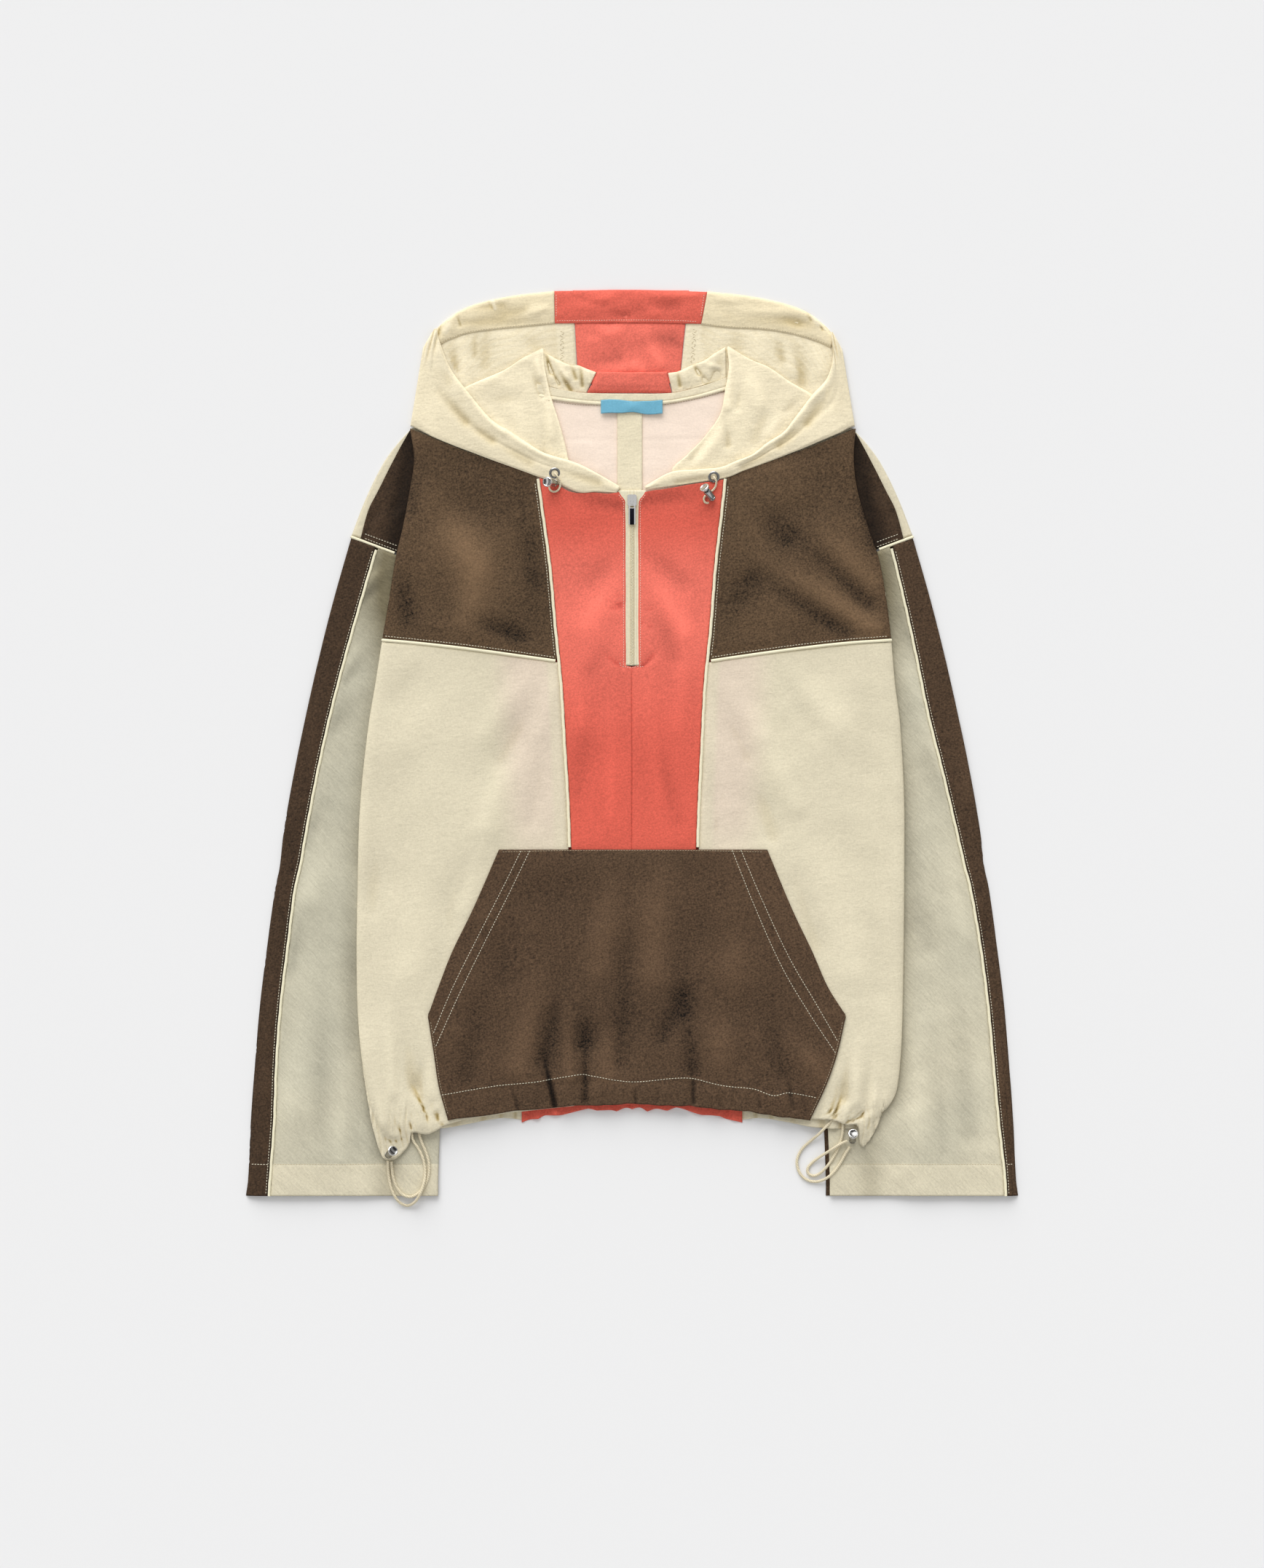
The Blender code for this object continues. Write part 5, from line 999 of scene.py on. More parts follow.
def mesh_object(name, bm, sharp=35):
    """Puts a bmesh into the scene as a smooth object."""
    mesh = bpy.data.meshes.new(name)
    bm.to_mesh(mesh)
    bm.free()
    mesh.shade_smooth()
    mesh.set_sharp_from_angle(angle=math.radians(sharp))
    obj = bpy.data.objects.new(name, mesh)
    bpy.context.scene.collection.objects.link(obj)
    return obj


def wear(obj, slot, body="garment"):
    """Gives a piece its finish and its body."""
    obj.data.materials.clear()
    obj.data.materials.append(finish(slot))
    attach(obj, body)
    return obj


def dress(obj, node):
    """Lets a piece stand for its solid."""
    wear(obj, SLOTS[node], frame["nodes"][node]["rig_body"])
    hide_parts(node)
    return obj


class Value:
    """A shader socket that Python's arithmetic works on."""

    def __init__(self, shader, socket):
        self.shader = shader
        self.socket = socket

    def maths(self, operation, *values):
        return self.shader.node("ShaderNodeMath", {"operation": operation}, dict(enumerate(values)))

    def __add__(self, other):
        return self.maths("ADD", self, other)

    def __sub__(self, other):
        return self.maths("SUBTRACT", self, other)

    def __rsub__(self, other):
        return self.maths("SUBTRACT", other, self)

    def __mul__(self, other):
        return self.maths("MULTIPLY", self, other)

    def at_least(self, floor):
        return self.maths("MAXIMUM", self, floor)

    def sine(self):
        return self.maths("SINE", self)

    __radd__ = __add__
    __rmul__ = __mul__


class Shader:
    """One material, or the world: every node comes from node()."""

    def __init__(self, owner, output="Principled BSDF"):
        owner.use_nodes = True
        self.owner = owner
        self.tree = owner.node_tree
        self.output = self.tree.nodes[output]

    def node(self, kind, settings, inputs, output=0):
        node = self.tree.nodes.new(kind)
        for name, value in settings.items():
            setattr(node, name, value)
        for name, value in inputs.items():
            self.put(node.inputs[name], value)
        return Value(self, node.outputs[output])

    def put(self, socket, value):
        if isinstance(value, Value):
            self.tree.links.new(value.socket, socket)
        else:
            socket.default_value = value

    def surface(self, **inputs):
        for name, value in inputs.items():
            self.put(self.output.inputs[name.replace("_", " ")], value)

    def place(self, scale, turn=0.0):
        """Object coordinates, turned and then stretched."""
        spot = self.node("ShaderNodeTexCoord", {}, {}, "Object")
        inputs = {"Vector": spot, "Scale": tuple(1 / waves for waves in scale), "Rotation": (0, 0, turn)}
        return self.node("ShaderNodeMapping", {"vector_type": "TEXTURE"}, inputs)

    def noise(self, scale, turn=0.0, detail=2.0, distortion=0.0):
        """Noise with that many waves a metre along each axis."""
        inputs = {"Vector": self.place(scale, turn), "Scale": 1.0, "Detail": detail, "Distortion": distortion}
        return self.node("ShaderNodeTexNoise", {}, inputs)

    def waves(self, direction, scale, turn=0.0, distortion=0.0):
        """Even bands across a direction."""
        inputs = {"Vector": self.place((1, 1, 1), turn), "Scale": scale, "Distortion": distortion}
        return self.node("ShaderNodeTexWave", {"wave_type": "BANDS", "bands_direction": direction}, inputs)

    def mix(self, a, b, factor):
        settings = {"data_type": "RGBA", "clamp_factor": True}
        return self.node("ShaderNodeMix", settings, {0: factor, 6: a, 7: b}, 2)

    def attribute(self, name):
        return self.node("ShaderNodeAttribute", {"attribute_name": name}, {}, "Fac")

    def bump(self, height, distance):
        return self.node("ShaderNodeBump", {}, {"Strength": 1.0, "Distance": distance, "Height": height})


def fabric(name, look):
    """Plain-weave cloth: colours for layers that show through, and painted light and shade, deepest in
    creases.
    """
    s = Shader(bpy.data.materials.new(name))
    warp = s.noise((1400, 260, 900), look.turn)
    weft = s.noise((260, 1400, 900), look.turn)
    heather = warp + weft - 1.0
    mottle = s.noise((16, 10, 12), detail=4.0) - 0.5
    shade, warm, depth = s.attribute("shade"), s.attribute("warm"), s.attribute("depth")
    # Painted shade in hollows: the crease colour is mixed in where broad creases lie low, more where the
    # third colour lies.
    stain = shade.at_least(0.0) * look.stain * (warm * 0.8 + 1.0)
    # The second colour: layers showing through, painted light on the coral and painted shade on the brown.
    colour = s.mix((*look.colour, 1), (*look.second, 1), s.attribute("tint") + mottle * 0.12)
    # The third colour: the hood's double tone, painted light on the brown yoke, painted shade on the sheer
    # beside the body.
    colour = s.mix(colour, (*look.warm, 1), warm)
    # Painted shade: the crease colour in sharp creases and in hollows, with each piece's constant share.
    colour = s.mix(colour, (*look.deep, 1), depth + stain)
    grain = s.noise((520, 600, 520), look.turn, detail=3.0) - 0.5
    streaks = (s.noise((45, 300, 120), look.turn * 0.3, detail=3.0, distortion=0.4) - 0.5) * warm
    crinkle = s.noise((look.streak[0], look.streak[1], 120), look.turn, detail=5.0, distortion=0.6)
    # Brightness: the cloth's heather, mottle and grain; painted shade of the broad creases, stronger where
    # the third colour lies; the light and shade of its crinkles and streaks painted in; and painted shade
    # deep in sharp creases.
    value = heather * look.heather + mottle * look.mottle + grain * look.heather * 2.2 + 1.0
    value = value - shade * look.shade * (warm * 1.2 + 1.0) + (crinkle - 0.5) * (look.crinkle * 0.5)
    value = value + streaks * (look.crinkle * 0.5) - (depth - 0.2).at_least(0.0) * 0.5
    colour = s.node("ShaderNodeHueSaturation", {}, {"Value": value, "Color": colour})
    weave = s.waves("X", 480.0, look.turn) * s.waves("Y", 480.0, look.turn)
    rumple = s.noise((26, 15, 20), detail=4.0, distortion=0.7)
    height = crinkle * look.crinkle * (warm * 0.6 + 1.0) + rumple * (look.crinkle * 0.7)
    height = height + streaks * look.crinkle + weave * 0.05 + heather * 0.05 + grain * 0.12
    s.surface(Base_Color=colour, Roughness=look.roughness, Sheen_Weight=look.sheen, Sheen_Roughness=0.5,
              Specular_IOR_Level=0.2, Normal=s.bump(height, 0.001))
    return s.owner


def plated(name, colour, roughness):
    """Bright plated metal with faint handling marks, and a painted dark reflection of the room where its
    shade attribute says.
    """
    s = Shader(bpy.data.materials.new(name))
    marks = s.noise((900, 900, 900), detail=6.0)
    colour = s.mix((*colour, 1), (*[0.1 * c for c in colour], 1), s.attribute("shade"))
    s.surface(Base_Color=colour, Metallic=1.0, Roughness=marks * 0.12 + roughness,
              Normal=s.bump(marks, 0.00002))
    return s.owner


def braided(name, colour, pitch, depth):
    """Round cord or thread: slanting plies across its length."""
    s = Shader(bpy.data.materials.new(name))
    plies = s.waves("DIAGONAL", pitch, distortion=1.5)
    dusty = s.noise((400, 400, 400), detail=3.0)
    colour = s.mix((*[0.72 * c for c in colour], 1), (*colour, 1), plies * 0.6 + dusty * 0.6)
    s.surface(Base_Color=colour, Roughness=0.75, Sheen_Weight=0.2, Normal=s.bump(plies, depth))
    return s.owner


def finish(slot):
    """The material of a slot or thread, made once."""
    name = f"{slot}_finish"
    found = bpy.data.materials.get(name)
    if found:
        return found
    cloth, trim = bpy.context.scene.jacket_cloth, bpy.context.scene.jacket_trim
    cream, cream_deep = cloth.cream, cloth.cream_deep
    plain = (150, 210)
    looks = {
        "cream_cloth": Fabric(
            cream, cloth.cream_pink, cloth.cream_warm, cream_deep, shade=0.08, stain=0.34, mottle=0.04,
            heather=0.14, crinkle=0.30, streak=(120, 260), roughness=0.78, sheen=0.10, turn=0.15),
        "sheer_cloth": Fabric(
            cloth.sheer, cream, cloth.sheer_shade, cloth.sheer_deep, shade=0.24, stain=0.2, mottle=0.08,
            heather=0.16, crinkle=0.50, streak=(60, 330), roughness=0.75, sheen=0.10, turn=-0.85),
        "brown_cloth": Fabric(
            cloth.brown, cloth.brown_dark, cloth.brown_light, cloth.brown_deep, shade=0.66, stain=0.0,
            mottle=0.22, heather=0.95, crinkle=0.30, streak=plain, roughness=0.85, sheen=0.0, turn=0.3),
        "coral_cloth": Fabric(
            cloth.coral, cloth.coral_light, cloth.coral, cloth.coral_deep, shade=0.34, stain=0.16,
            mottle=0.08, heather=0.30, crinkle=0.22, streak=plain, roughness=0.78, sheen=0.05, turn=0.3),
        "lining_cloth": Fabric(
            cloth.lining, cream, cream, cloth.lining_deep, shade=0.08, stain=0.3, mottle=0.03,
            heather=0.08, crinkle=0.2, streak=(90, 240), roughness=0.8, sheen=0.05, turn=0.0),
        "blue_label": Fabric(
            *[cloth.label] * 3, cloth.brown_deep, shade=0.30, stain=0.1, mottle=0.05,
            heather=0.12, crinkle=0.05, streak=plain, roughness=0.45, sheen=0.2, turn=0.0),
        "piping": Fabric(
            *[cloth.piping] * 3, cream_deep, shade=0.0, stain=0.0, mottle=0.05,
            heather=0.06, crinkle=0.10, streak=plain, roughness=0.75, sheen=0.10, turn=0.3),
        "zip_tape": Fabric(
            cloth.tape, cloth.coil, cloth.coil, cream_deep, shade=0.10, stain=0.0, mottle=0.04,
            heather=0.12, crinkle=0.05, streak=plain, roughness=0.7, sheen=0.05, turn=0.0),
        "coil": Fabric(
            *[cloth.tape] * 3, cream_deep, shade=0.10, stain=0.0, mottle=0.04,
            heather=0.10, crinkle=0.05, streak=plain, roughness=0.5, sheen=0.05, turn=0.0),
    }
    if slot in looks:
        return fabric(name, looks[slot])
    if slot == "nickel":
        return plated(name, trim.nickel, 0.16)
    if slot == "inlay":
        return plated(name, trim.inlay, 0.35)
    if slot == "cord":
        return braided(name, tuple(trim.cord), 260.0, 0.0003)
    return braided(name, tuple(getattr(trim, slot)), 900.0, 0.0001)


def back_hem(x):
    """The gathered back hem, a little longer than the front and scalloped by its cord."""
    drop = 10.5 * ramp((abs(x) - 40) / 70) + 8 * ramp((abs(x) - 130) / 45)
    return -334.5 - drop - 2.4 * abs(math.sin(x / 13.0))


def back_seam(y):
    """Half width of the coral back panel."""
    return BACK_HEM_HALF + (BACK_TOP_HALF - BACK_HEM_HALF) * ramp((y + 340) / 640)


def hem_scallop(x):
    """How far the cord draws up the back hem at each gather."""
    return 2.8 * abs(math.sin(x / 6.4 + 1.2 * math.sin(x / 17.0))) * (0.6 + 0.4 * math.sin(x / 23.0 + 1.0))


def hem_ruffle(x, y, u, v):
    """Small gathers that the cord draws at the back hem."""
    return ramp((-316 - y) / 12) * (1.5 * np.sin(x / 2.8 + 2.4 * np.sin(x / 17.0)) + 0.9)


def make_back():
    head = through(SHOULDER_LINE)

    def centre(u, v):
        x = 2 * u - 1
        foot = back_hem(x * BACK_HEM_HALF) + hem_scallop(x * BACK_HEM_HALF) - 2.8
        y = foot + (head(abs(x) * BACK_TOP_HALF) - foot) * v
        half = abs(x) * back_seam(y)
        return math.copysign(half, x), y, lift(half, y) + CLOTH / 2

    rows = finer([0, 0.02, 0.06, 0.15, 1.0], 10)
    Tailor.shell("back_centre", even(170), rows, centre, swells=(), extra=hem_ruffle, sewn=(1, 1, 0, 1))
    for side, sign in SIDES.items():
        make_back_side(side, sign, rows)
        make_back_shoulder(side, sign)


def make_back_side(side, sign, rows):
    outer = [Point(190, 303.6), Point(190, 245), Point(195, 210), Point(208, 186)]
    outer += [Point(BODY[side](y) - 0.2, y) for y in (150, 100, 50, 0, -60, -130, -200, -270, -320, -350)]
    foot = [Point(half, back_hem(half)) for half in (BACK_HEM_HALF, 120, 137, 155, 170, 190, 210)]
    top = [Point(BACK_TOP_HALF, 322.2), Point(150, 316.6), Point(170, 310.3), Point(190, 303.6)]
    near = [Point(back_seam(y), y) for y in (foot[0].y, -250, -150, -50, 50, 150, 250, top[0].y)]
    plane = filled(Line(foot + [outer[-1]]), Line(top), Line(near), Line(outer[::-1]))
    place = on_side(sign, plane, lambda half, y, u, v: lift(half, y) + CLOTH / 2)
    Tailor.shell(f"back_side_{side}", even(48), rows, place, swells=(), extra=hem_ruffle, sewn=(1, 1, 0, 1))


def make_back_shoulder(side, sign):
    """The back end of the yoke, which shows outside the shoulder."""
    low = Point(201, armhole_y(201) + 1.0)
    corner = Point(262, armhole_y(262) + 1.0)
    neck, tip = Point(191.2, 300), Point(205.5, 298.6)
    inner = Line([low, Point(196.4, 212), Point(191.4, 245), neck])
    edge = Line([corner, *SHOULDER_BACK[-2:0:-1], tip])
    plane = filled(straight(low, corner), straight(neck, tip), inner, edge)
    place = on_side(sign, plane, lambda half, y, u, v: CLOTH / 2)
    Tailor.shell(f"back_shoulder_{side}", even(24), even(36), place, swells=((25, 0.25),))


def make_neck():
    """The pale inside of the back, its tapes and the bare label."""
    lining_z = CLOTH + LAYER_GAP + CLOTH / 2
    trim_z = lining_z + CLOTH + 0.3
    corners = Point(-LINING_HALF, LINING_FOOT_Y), Point(LINING_HALF, LINING_FOOT_Y)
    head = (Point(-100, 330.5), Point(-60, 330), Point(0, 329.3), Point(60, 331), Point(100, 334.5))
    lining, tape = strip(corners, head), strip(TAPE_LOW, TAPE_HIGH)

    def seams(x, y, u, v):
        """The dips of two seams across the back and of one down each side of its middle."""
        across = sum(bell(y - at, 0.8) for at in (288.0, 267.0))
        return -0.35 * across - 0.3 * bell(np.abs(x) - 38, 0.8)

    def rolled_seam(x, y, u, v):
        """The cord of the seam allowance along the tape's foot."""
        return 0.55 * bell(v - 0.12, 0.1) - 0.5 * bell(v - 0.3, 0.06)

    def hanger(u, v):
        width, length = HANGER_SIZE
        return HANGER_LEFT + width * u, LINING_FOOT_Y + length * v, trim_z

    def label(u, v):
        """A little twisted, with its middle pinched and raised."""
        width, height = LABEL_SIZE
        wave = math.sin(u * 2 * math.pi) + 0.3 * math.sin(u * 14)
        pinch = bell(u - 0.52, 0.15)
        y = LABEL_Y + height * (v - 0.5) * (1.0 - 0.2 * pinch) + 0.6 * wave
        z = trim_z + CLOTH + 0.5 + 0.5 * (1 + wave) * (1 - v) + 0.9 * pinch * math.sin(math.pi * v)
        return LABEL_LEFT + width * u, y, z

    Tailor.shell("back_lining", even(80), even(46), lambda u, v: (*lining(u, v), lining_z),
                 swells=((40, 0.3),), extra=seams)
    Tailor.shell("neck_tape", even(90), even(20), lambda u, v: (*tape(u, v), trim_z + 0.4 * v),
                 swells=((20, 0.25),), warm=0.6, extra=rolled_seam, sewn=(0, 0, 0, 0))
    Tailor.shell("hanger_tape", even(14), even(46), hanger, swells=((45, 0.3),), warm=0.6)
    Tailor.shell("neck_label", even(60), even(14), label, swells=())


def pocket_cover(x, y, z, wider):
    """Share of the front that the pocket hides, with its outline widened."""
    inside = np.where(x < 0, POCKET["L"].over(y), POCKET["R"].over(y)) - np.abs(x)
    return ramp((inside + wider) / 9) * ramp((POCKET_TOP_Y + wider - y) / 9)


def zip_slit(y):
    """Half width of the opening that the tape shows in, which flares below the hood."""
    return ZIP_SLIT_HALF + 7.0 * ramp((y - 228) / 13)


def make_front():
    for side, sign in SIDES.items():
        make_front_centre(side, sign)
        make_yoke(side, sign)
        make_front_side(side, sign)
        make_shoulder(side, sign)


def make_front_centre(side, sign):
    """One half of the coral panel, open beside the zip."""
    neck = Line(NECK_FRONT[side][::-1])
    foot = straight((0.0, HEM_Y), (CENTRE[side](HEM_Y - 1), HEM_Y - 1))
    zip_share = (ZIP_END_Y - HEM_Y) / (238 - HEM_Y)
    vs = finer([0, 0.35, zip_share - 0.001], 50) + finer([zip_share + 0.001, 0.95, 1.0], 34)

    def place(u, v):
        y_foot = foot(u)[1]
        y = y_foot + (neck(u)[1] - 0.3 - y_foot) * v
        slit = zip_slit(y) if v > zip_share else 0.0
        half = slit + (CENTRE[side](y) - slit) * u
        seam = 0.5 * bell(half, 0.9) if v < zip_share else 0.5 * bell(half - slit, 0.8)
        return sign * half, y, front_height(side, half, y) - seam

    def light(x, y, z):
        """Lighter on the chest, where the light catches it."""
        return ramp((y + 20) / 150) * (1 - 1.2 * ramp((y - 150) / 80))

    Tailor.shell(f"front_centre_{side}", even(34), vs, place, swells=((90, 0.8),), tint=light,
                 covered=pocket_cover)


def make_yoke(side, sign):
    end = Point(BODY[side](YOKE_END_Y), YOKE_END_Y)
    foot = Line([Point(p.x, p.y + HALF_PIPING) for p in YOKE_FOOT[:-1]] + [end])
    head = Line([Point(p.x, p.y - 0.2) for p in YOKE_TOP])
    low, high = foot(0)[1], YOKE_TOP[0].y - 0.2
    ys = [low + (high - low) * t for t in even(8)]
    near = Line([Point(CENTRE[side](y) + 2 * HALF_PIPING, y) for y in ys])
    far = Line([Point(BODY[side](y), y) for y in (YOKE_END_Y, 140, 180, 203, 241, 270, 297.9)])
    plane = filled(foot, head, near, far)
    place = on_side(sign, plane, lambda half, y, u, v: front_height(side, half, y))

    def beside_seams(x, y, z):
        """Painted shade along the piping, and a painted shadow under the hood's edge."""
        half = np.abs(x)
        from_centre = half - CENTRE[side].over(y) - 2 * HALF_PIPING
        from_foot = y - FOOT_OF_YOKE.over(half) - HALF_PIPING
        from_hood = TOP_OF_YOKE.over(half) - y
        return 0.9 * bell(np.minimum(from_centre, from_foot), 1.1) + 0.9 * bell(from_hood, 2.2)

    us = finer([0, 0.045], 6)[:-1] + finer([0.045, 0.8], 34) + finer([0.822, 0.93, 0.965, 0.988, 1.0], 5)
    vs = finer([0, 0.035], 6)[:-1] + finer([0.035, 0.95], 56)[:-1] + finer([0.95, 1.0], 6)
    # Half of the brown's painted light colour all over, and painted shade by the seams.
    Tailor.shell(f"front_yoke_{side}", us, vs, place, swells=((110, 1.1), (45, 0.3)), sewn=(1, 0, 1, 1),
                 warm=0.5, tint=beside_seams)


def make_front_side(side, sign):
    """The cream panel beside the coral, drawn up by the cord at its hem."""
    corner, top = HEM_CORNER_Y[side], SIDE_PANEL_TOP_Y
    foot = [Point(CENTRE[side](HEM_Y) + 2 * HALF_PIPING, HEM_Y - 1), *GATHERED_HEM[side],
            Point(BODY[side](corner), corner)]
    head = [Point(p.x, p.y - HALF_PIPING) for p in YOKE_FOOT[:-1]] + [Point(BODY[side](top), top)]
    near_ys = (HEM_Y - 1, -280, -220, -160, -108, -94, -60, -20, 20, 50, head[0].y)
    near = Line([Point(CENTRE[side](y) + 2 * HALF_PIPING, y) for y in near_ys])
    far_ys = (corner, -335, -322, -310, -290, -245, -195, -120, -50, 20, 60, top)
    far = Line([Point(BODY[side](y), y) for y in far_ys])
    plane = filled(Line(foot), Line(head), near, far)

    def height(half, y, u, v):
        """The hem's folds rise only outside the pocket."""
        beside = ramp((half - POCKET[side](min(y, POCKET_TOP_Y)) - 1) / 12) * ramp((y + 374) / 20)
        return front_height(side, half, y) + beside * folds(SIDE_FOLDS, half, y, -356)

    def gathers(x, y, u, v):
        """Fine gathers near the cord, and the ridge of the seam allowance beside the piping."""
        close = ramp((-322 - y) / 22) * ramp((np.abs(x) - 172) / 10)
        fine = 0.75 * close * np.sin(np.abs(x) * 1.25 + 1.7 * np.sin(y * 0.13))
        allowance = np.abs(x) - CENTRE[side].over(y) - 2.9
        pucker = 0.32 * np.sin(y + 1.8 * np.sin(y * 0.19)) * bell(allowance - 4, 7)
        return fine + 0.35 * ramp((11.0 - allowance) / 1.6) * ramp(v * 12) + pucker

    def pink(x, y, z):
        """The coral back panel shows through the single layer, softly."""
        near_seam = ramp((np.abs(x) - CENTRE[side].over(y) - 13.0) / 3.0)
        over_coral = 1 - ramp((np.abs(x) - back_seam(y) + 18) / 34)
        return 0.85 * over_coral * (0.35 + 0.65 * near_seam) * ramp((y + 140) / 90)

    us = finer([0, 0.15, 0.3, 0.41, 0.51, 0.6, 0.67, 0.735, 0.79, 0.84, 0.885, 0.925, 0.955, 0.982, 1.0], 6)
    vs = finer([0, 0.03, 0.07, 0.12, 0.18, 0.25], 6)[:-1] + finer([0.25, 1.0], 110)
    Tailor.shell(f"front_side_{side}", us, vs, on_side(sign, plane, height), swells=((120, 1.2), (50, 0.3)),
                 sewn=(1, 0, 0, 1), tint=pink, extra=gathers, covered=pocket_cover)


def make_shoulder(side, sign):
    """The yoke's shoulder end, which turns under at the fold and reaches the armhole seam."""
    body = BODY[side]
    start = Point(body(184) - 8, armhole_y(body(184) - 8) + 1.2)
    end = Point(SHOULDER_END_HALF, armhole_y(SHOULDER_END_HALF) + 1.2)
    neck, tip = Point(199.5, 295), Point(206.5, 298)
    near = Line([start, *[Point(body(y) - 8, y) for y in (203, 241, 270)], neck])
    far = Line([end, *SHOULDER_FRONT[-2:0:-1], tip])
    plane = filled(straight(start, end), straight(neck, tip), near, far)

    def height(half, y, u, v):
        return 2.25 + 0.35 * ramp((215 - y) / 20) * ramp((half - body(y)) / 8)

    def shaded(x, y, z):
        """Painted shade: nearly black beside the body's fold, and plain brown further out."""
        return 1 - 0.65 * ramp((np.abs(x) - body.over(y) - 3) / 24)

    # A constant share more of painted crease shade, too.
    Tailor.shell(f"front_shoulder_{side}", even(30), even(48), on_side(sign, plane, height),
                 swells=((22, 0.4),), sewn=(1, 0, 1, 1), tint=shaded, stain=0.35)


def make_pocket():
    def place(u, v):
        share = 2 * u - 1
        side = "L" if share < 0 else "R"
        x = share * POCKET_HEM_HALF
        scallop = 1.1 * abs(math.sin(x / 17.0)) + 0.6 * abs(math.sin(x / 6.1 + 0.8)) * ramp((x + 60) / 60)
        foot = -331.0 - 15.5 * abs(share) ** 1.7 - scallop
        y = foot + (POCKET_TOP_Y - foot) * v
        half = abs(share) * POCKET[side](y)
        x = math.copysign(half, share)
        return x, y, front_height(side, half, y) + POCKET_LIFT + folds(POCKET_FOLDS, x, y, -340)

    def gathers(x, y, u, v):
        """Small ruffles under the casing stitches, and the dip along them."""
        wave = np.sin(x * 0.48 + 2.2 * np.sin(x * 0.07 + 1.0))
        ruffle = 0.55 * ramp((-312 - y) / 12) * wave * (0.4 + 0.6 * ramp((x + 90) / 60))
        stitches = -311.0 - 14.0 * (np.abs(x) / POCKET_HEM_HALF) ** 2.0
        return ruffle - 0.5 * bell(y - stitches, 1.3) + 0.5 * bell(y - stitches + 10, 8)

    vs = finer([0, 0.05, 0.12, 0.2, 0.29, 0.37], 8)[:-1] + finer([0.37, 1.0], 52)
    Tailor.shell("pocket", even(230), vs, place, swells=((110, 1.0), (45, 0.3)), sewn=(1, 1, 0, 1), rise=1.0,
                 extra=gathers, rests_on=["front_side_L_cloth", "front_side_R_cloth"])


def make_sleeves():
    rows = finer([0, 0.06, 1.0], 24)[:24] + finer([0.06, 1.0], 150)
    for side, sign in SIDES.items():
        make_sleeve_front(side, sign, rows)
        make_sleeve_back(side, sign, rows)


def cuff(side, x, y):
    """The double hem stands proud of the single cloth, which the body's edge presses down."""
    pressed = 0.5 * bell(np.abs(x) - BODY[side].over(y), 9) * ramp((y + 330) / 60)
    return 0.35 * ramp((CUFF_SEAM_Y + 1.0 - y) / 1.6) - 0.3 * bell(y - CUFF_SEAM_Y, 0.8) - pressed


def make_sleeve_front(side, sign, rows):
    """The sheer upper panel, from under the body to the brown strip."""
    reveal = {"L": 0.0, "R": 3.5}[side]
    lighter = {"L": 0.0, "R": 0.26}[side]
    top_shade = {"L": 1.0, "R": 0.7}[side]

    def place(u, v):
        def half_at(y):
            outer = ARM["outer"](y) - ARM[side](y) - HALF_PIPING
            inner = ARM["inner"](y) + reveal
            return inner + (outer - inner) * u

        y = sleeve_row(v, 1.4, half_at)
        half = half_at(y)
        return sign * half, y, sleeve_height(side, half, y)

    def opaque(x, y, z):
        """Uneven where the brown shows through, and cream where the cuff lies double."""
        lifted = 0.12 * swell(x, y, 130, 3.1) + 0.14 * ramp((-150 - y) / 200) + lighter
        shaded = 0.12 * ramp((y - 20) / 160)
        return np.maximum(np.clip(lifted - shaded, 0, 0.5), 0.75 * ramp((CUFF_SEAM_Y + 0.5 - y) / 1.0))

    def dusk(x, y, z):
        """Shade beside the body, and at the top of the sleeve under the shoulder."""
        apart = np.abs(x) - BODY[side].over(np.minimum(y, SLEEVE_TOP_Y))
        return 0.3 * bell(apart, 11) + top_shade * ramp((y - 60) / 100) * bell(apart, 36)

    us = [0, 0.012, 0.035] + [0.035 + 0.965 * t for t in even(60)][1:]
    Tailor.shell(f"sleeve_front_{side}", us, rows, place, swells=((90, 0.8), (40, 0.3)), sewn=(0, 1, 0, 1),
                 tint=opaque, warm=dusk, extra=lambda x, y, u, v: cuff(side, x, y))


def make_sleeve_back(side, sign, rows):
    """The brown strip and the under panel, one piece round the fold."""
    last = len(SLEEVE_FOLD) - 1
    deeper = {"L": 0.24, "R": 0.0}[side]

    def place(u, v):
        step = {name: curve(u * last) for name, curve in FOLD_ROUND.items()}

        def half_at(y):
            outer = ARM["outer"](y)
            inset = step["strip"] * (ARM[side](y) - HALF_PIPING) + step["inset"]
            return outer - inset - step["under"] * (outer - ARM["inner"](y))

        y = sleeve_row(v, 1.4, half_at)
        top = sleeve_height(side, ARM["outer"](y) - ARM[side](y), y)
        return sign * half_at(y), y, step["top"] * top + step["z"]

    def seam_groove(x, y, z):
        """A little darker all over, more on the left, and painted shade beside the piping."""
        apart = ARM["outer"].over(y) - ARM[side].over(y) + HALF_PIPING - np.abs(x)
        return 0.2 + deeper + 0.7 * bell(apart, 1.2)

    us = finer([0, 6 / last], 42)[:-1] + finer([6 / last, 1.0], 8)
    Tailor.shell(f"sleeve_back_{side}", us, rows, place, swells=((60, 0.4),), sewn=(1, 1, 0, 1),
                 tint=seam_groove, extra=lambda x, y, u, v: cuff(side, x, y) * (u < 0.4))


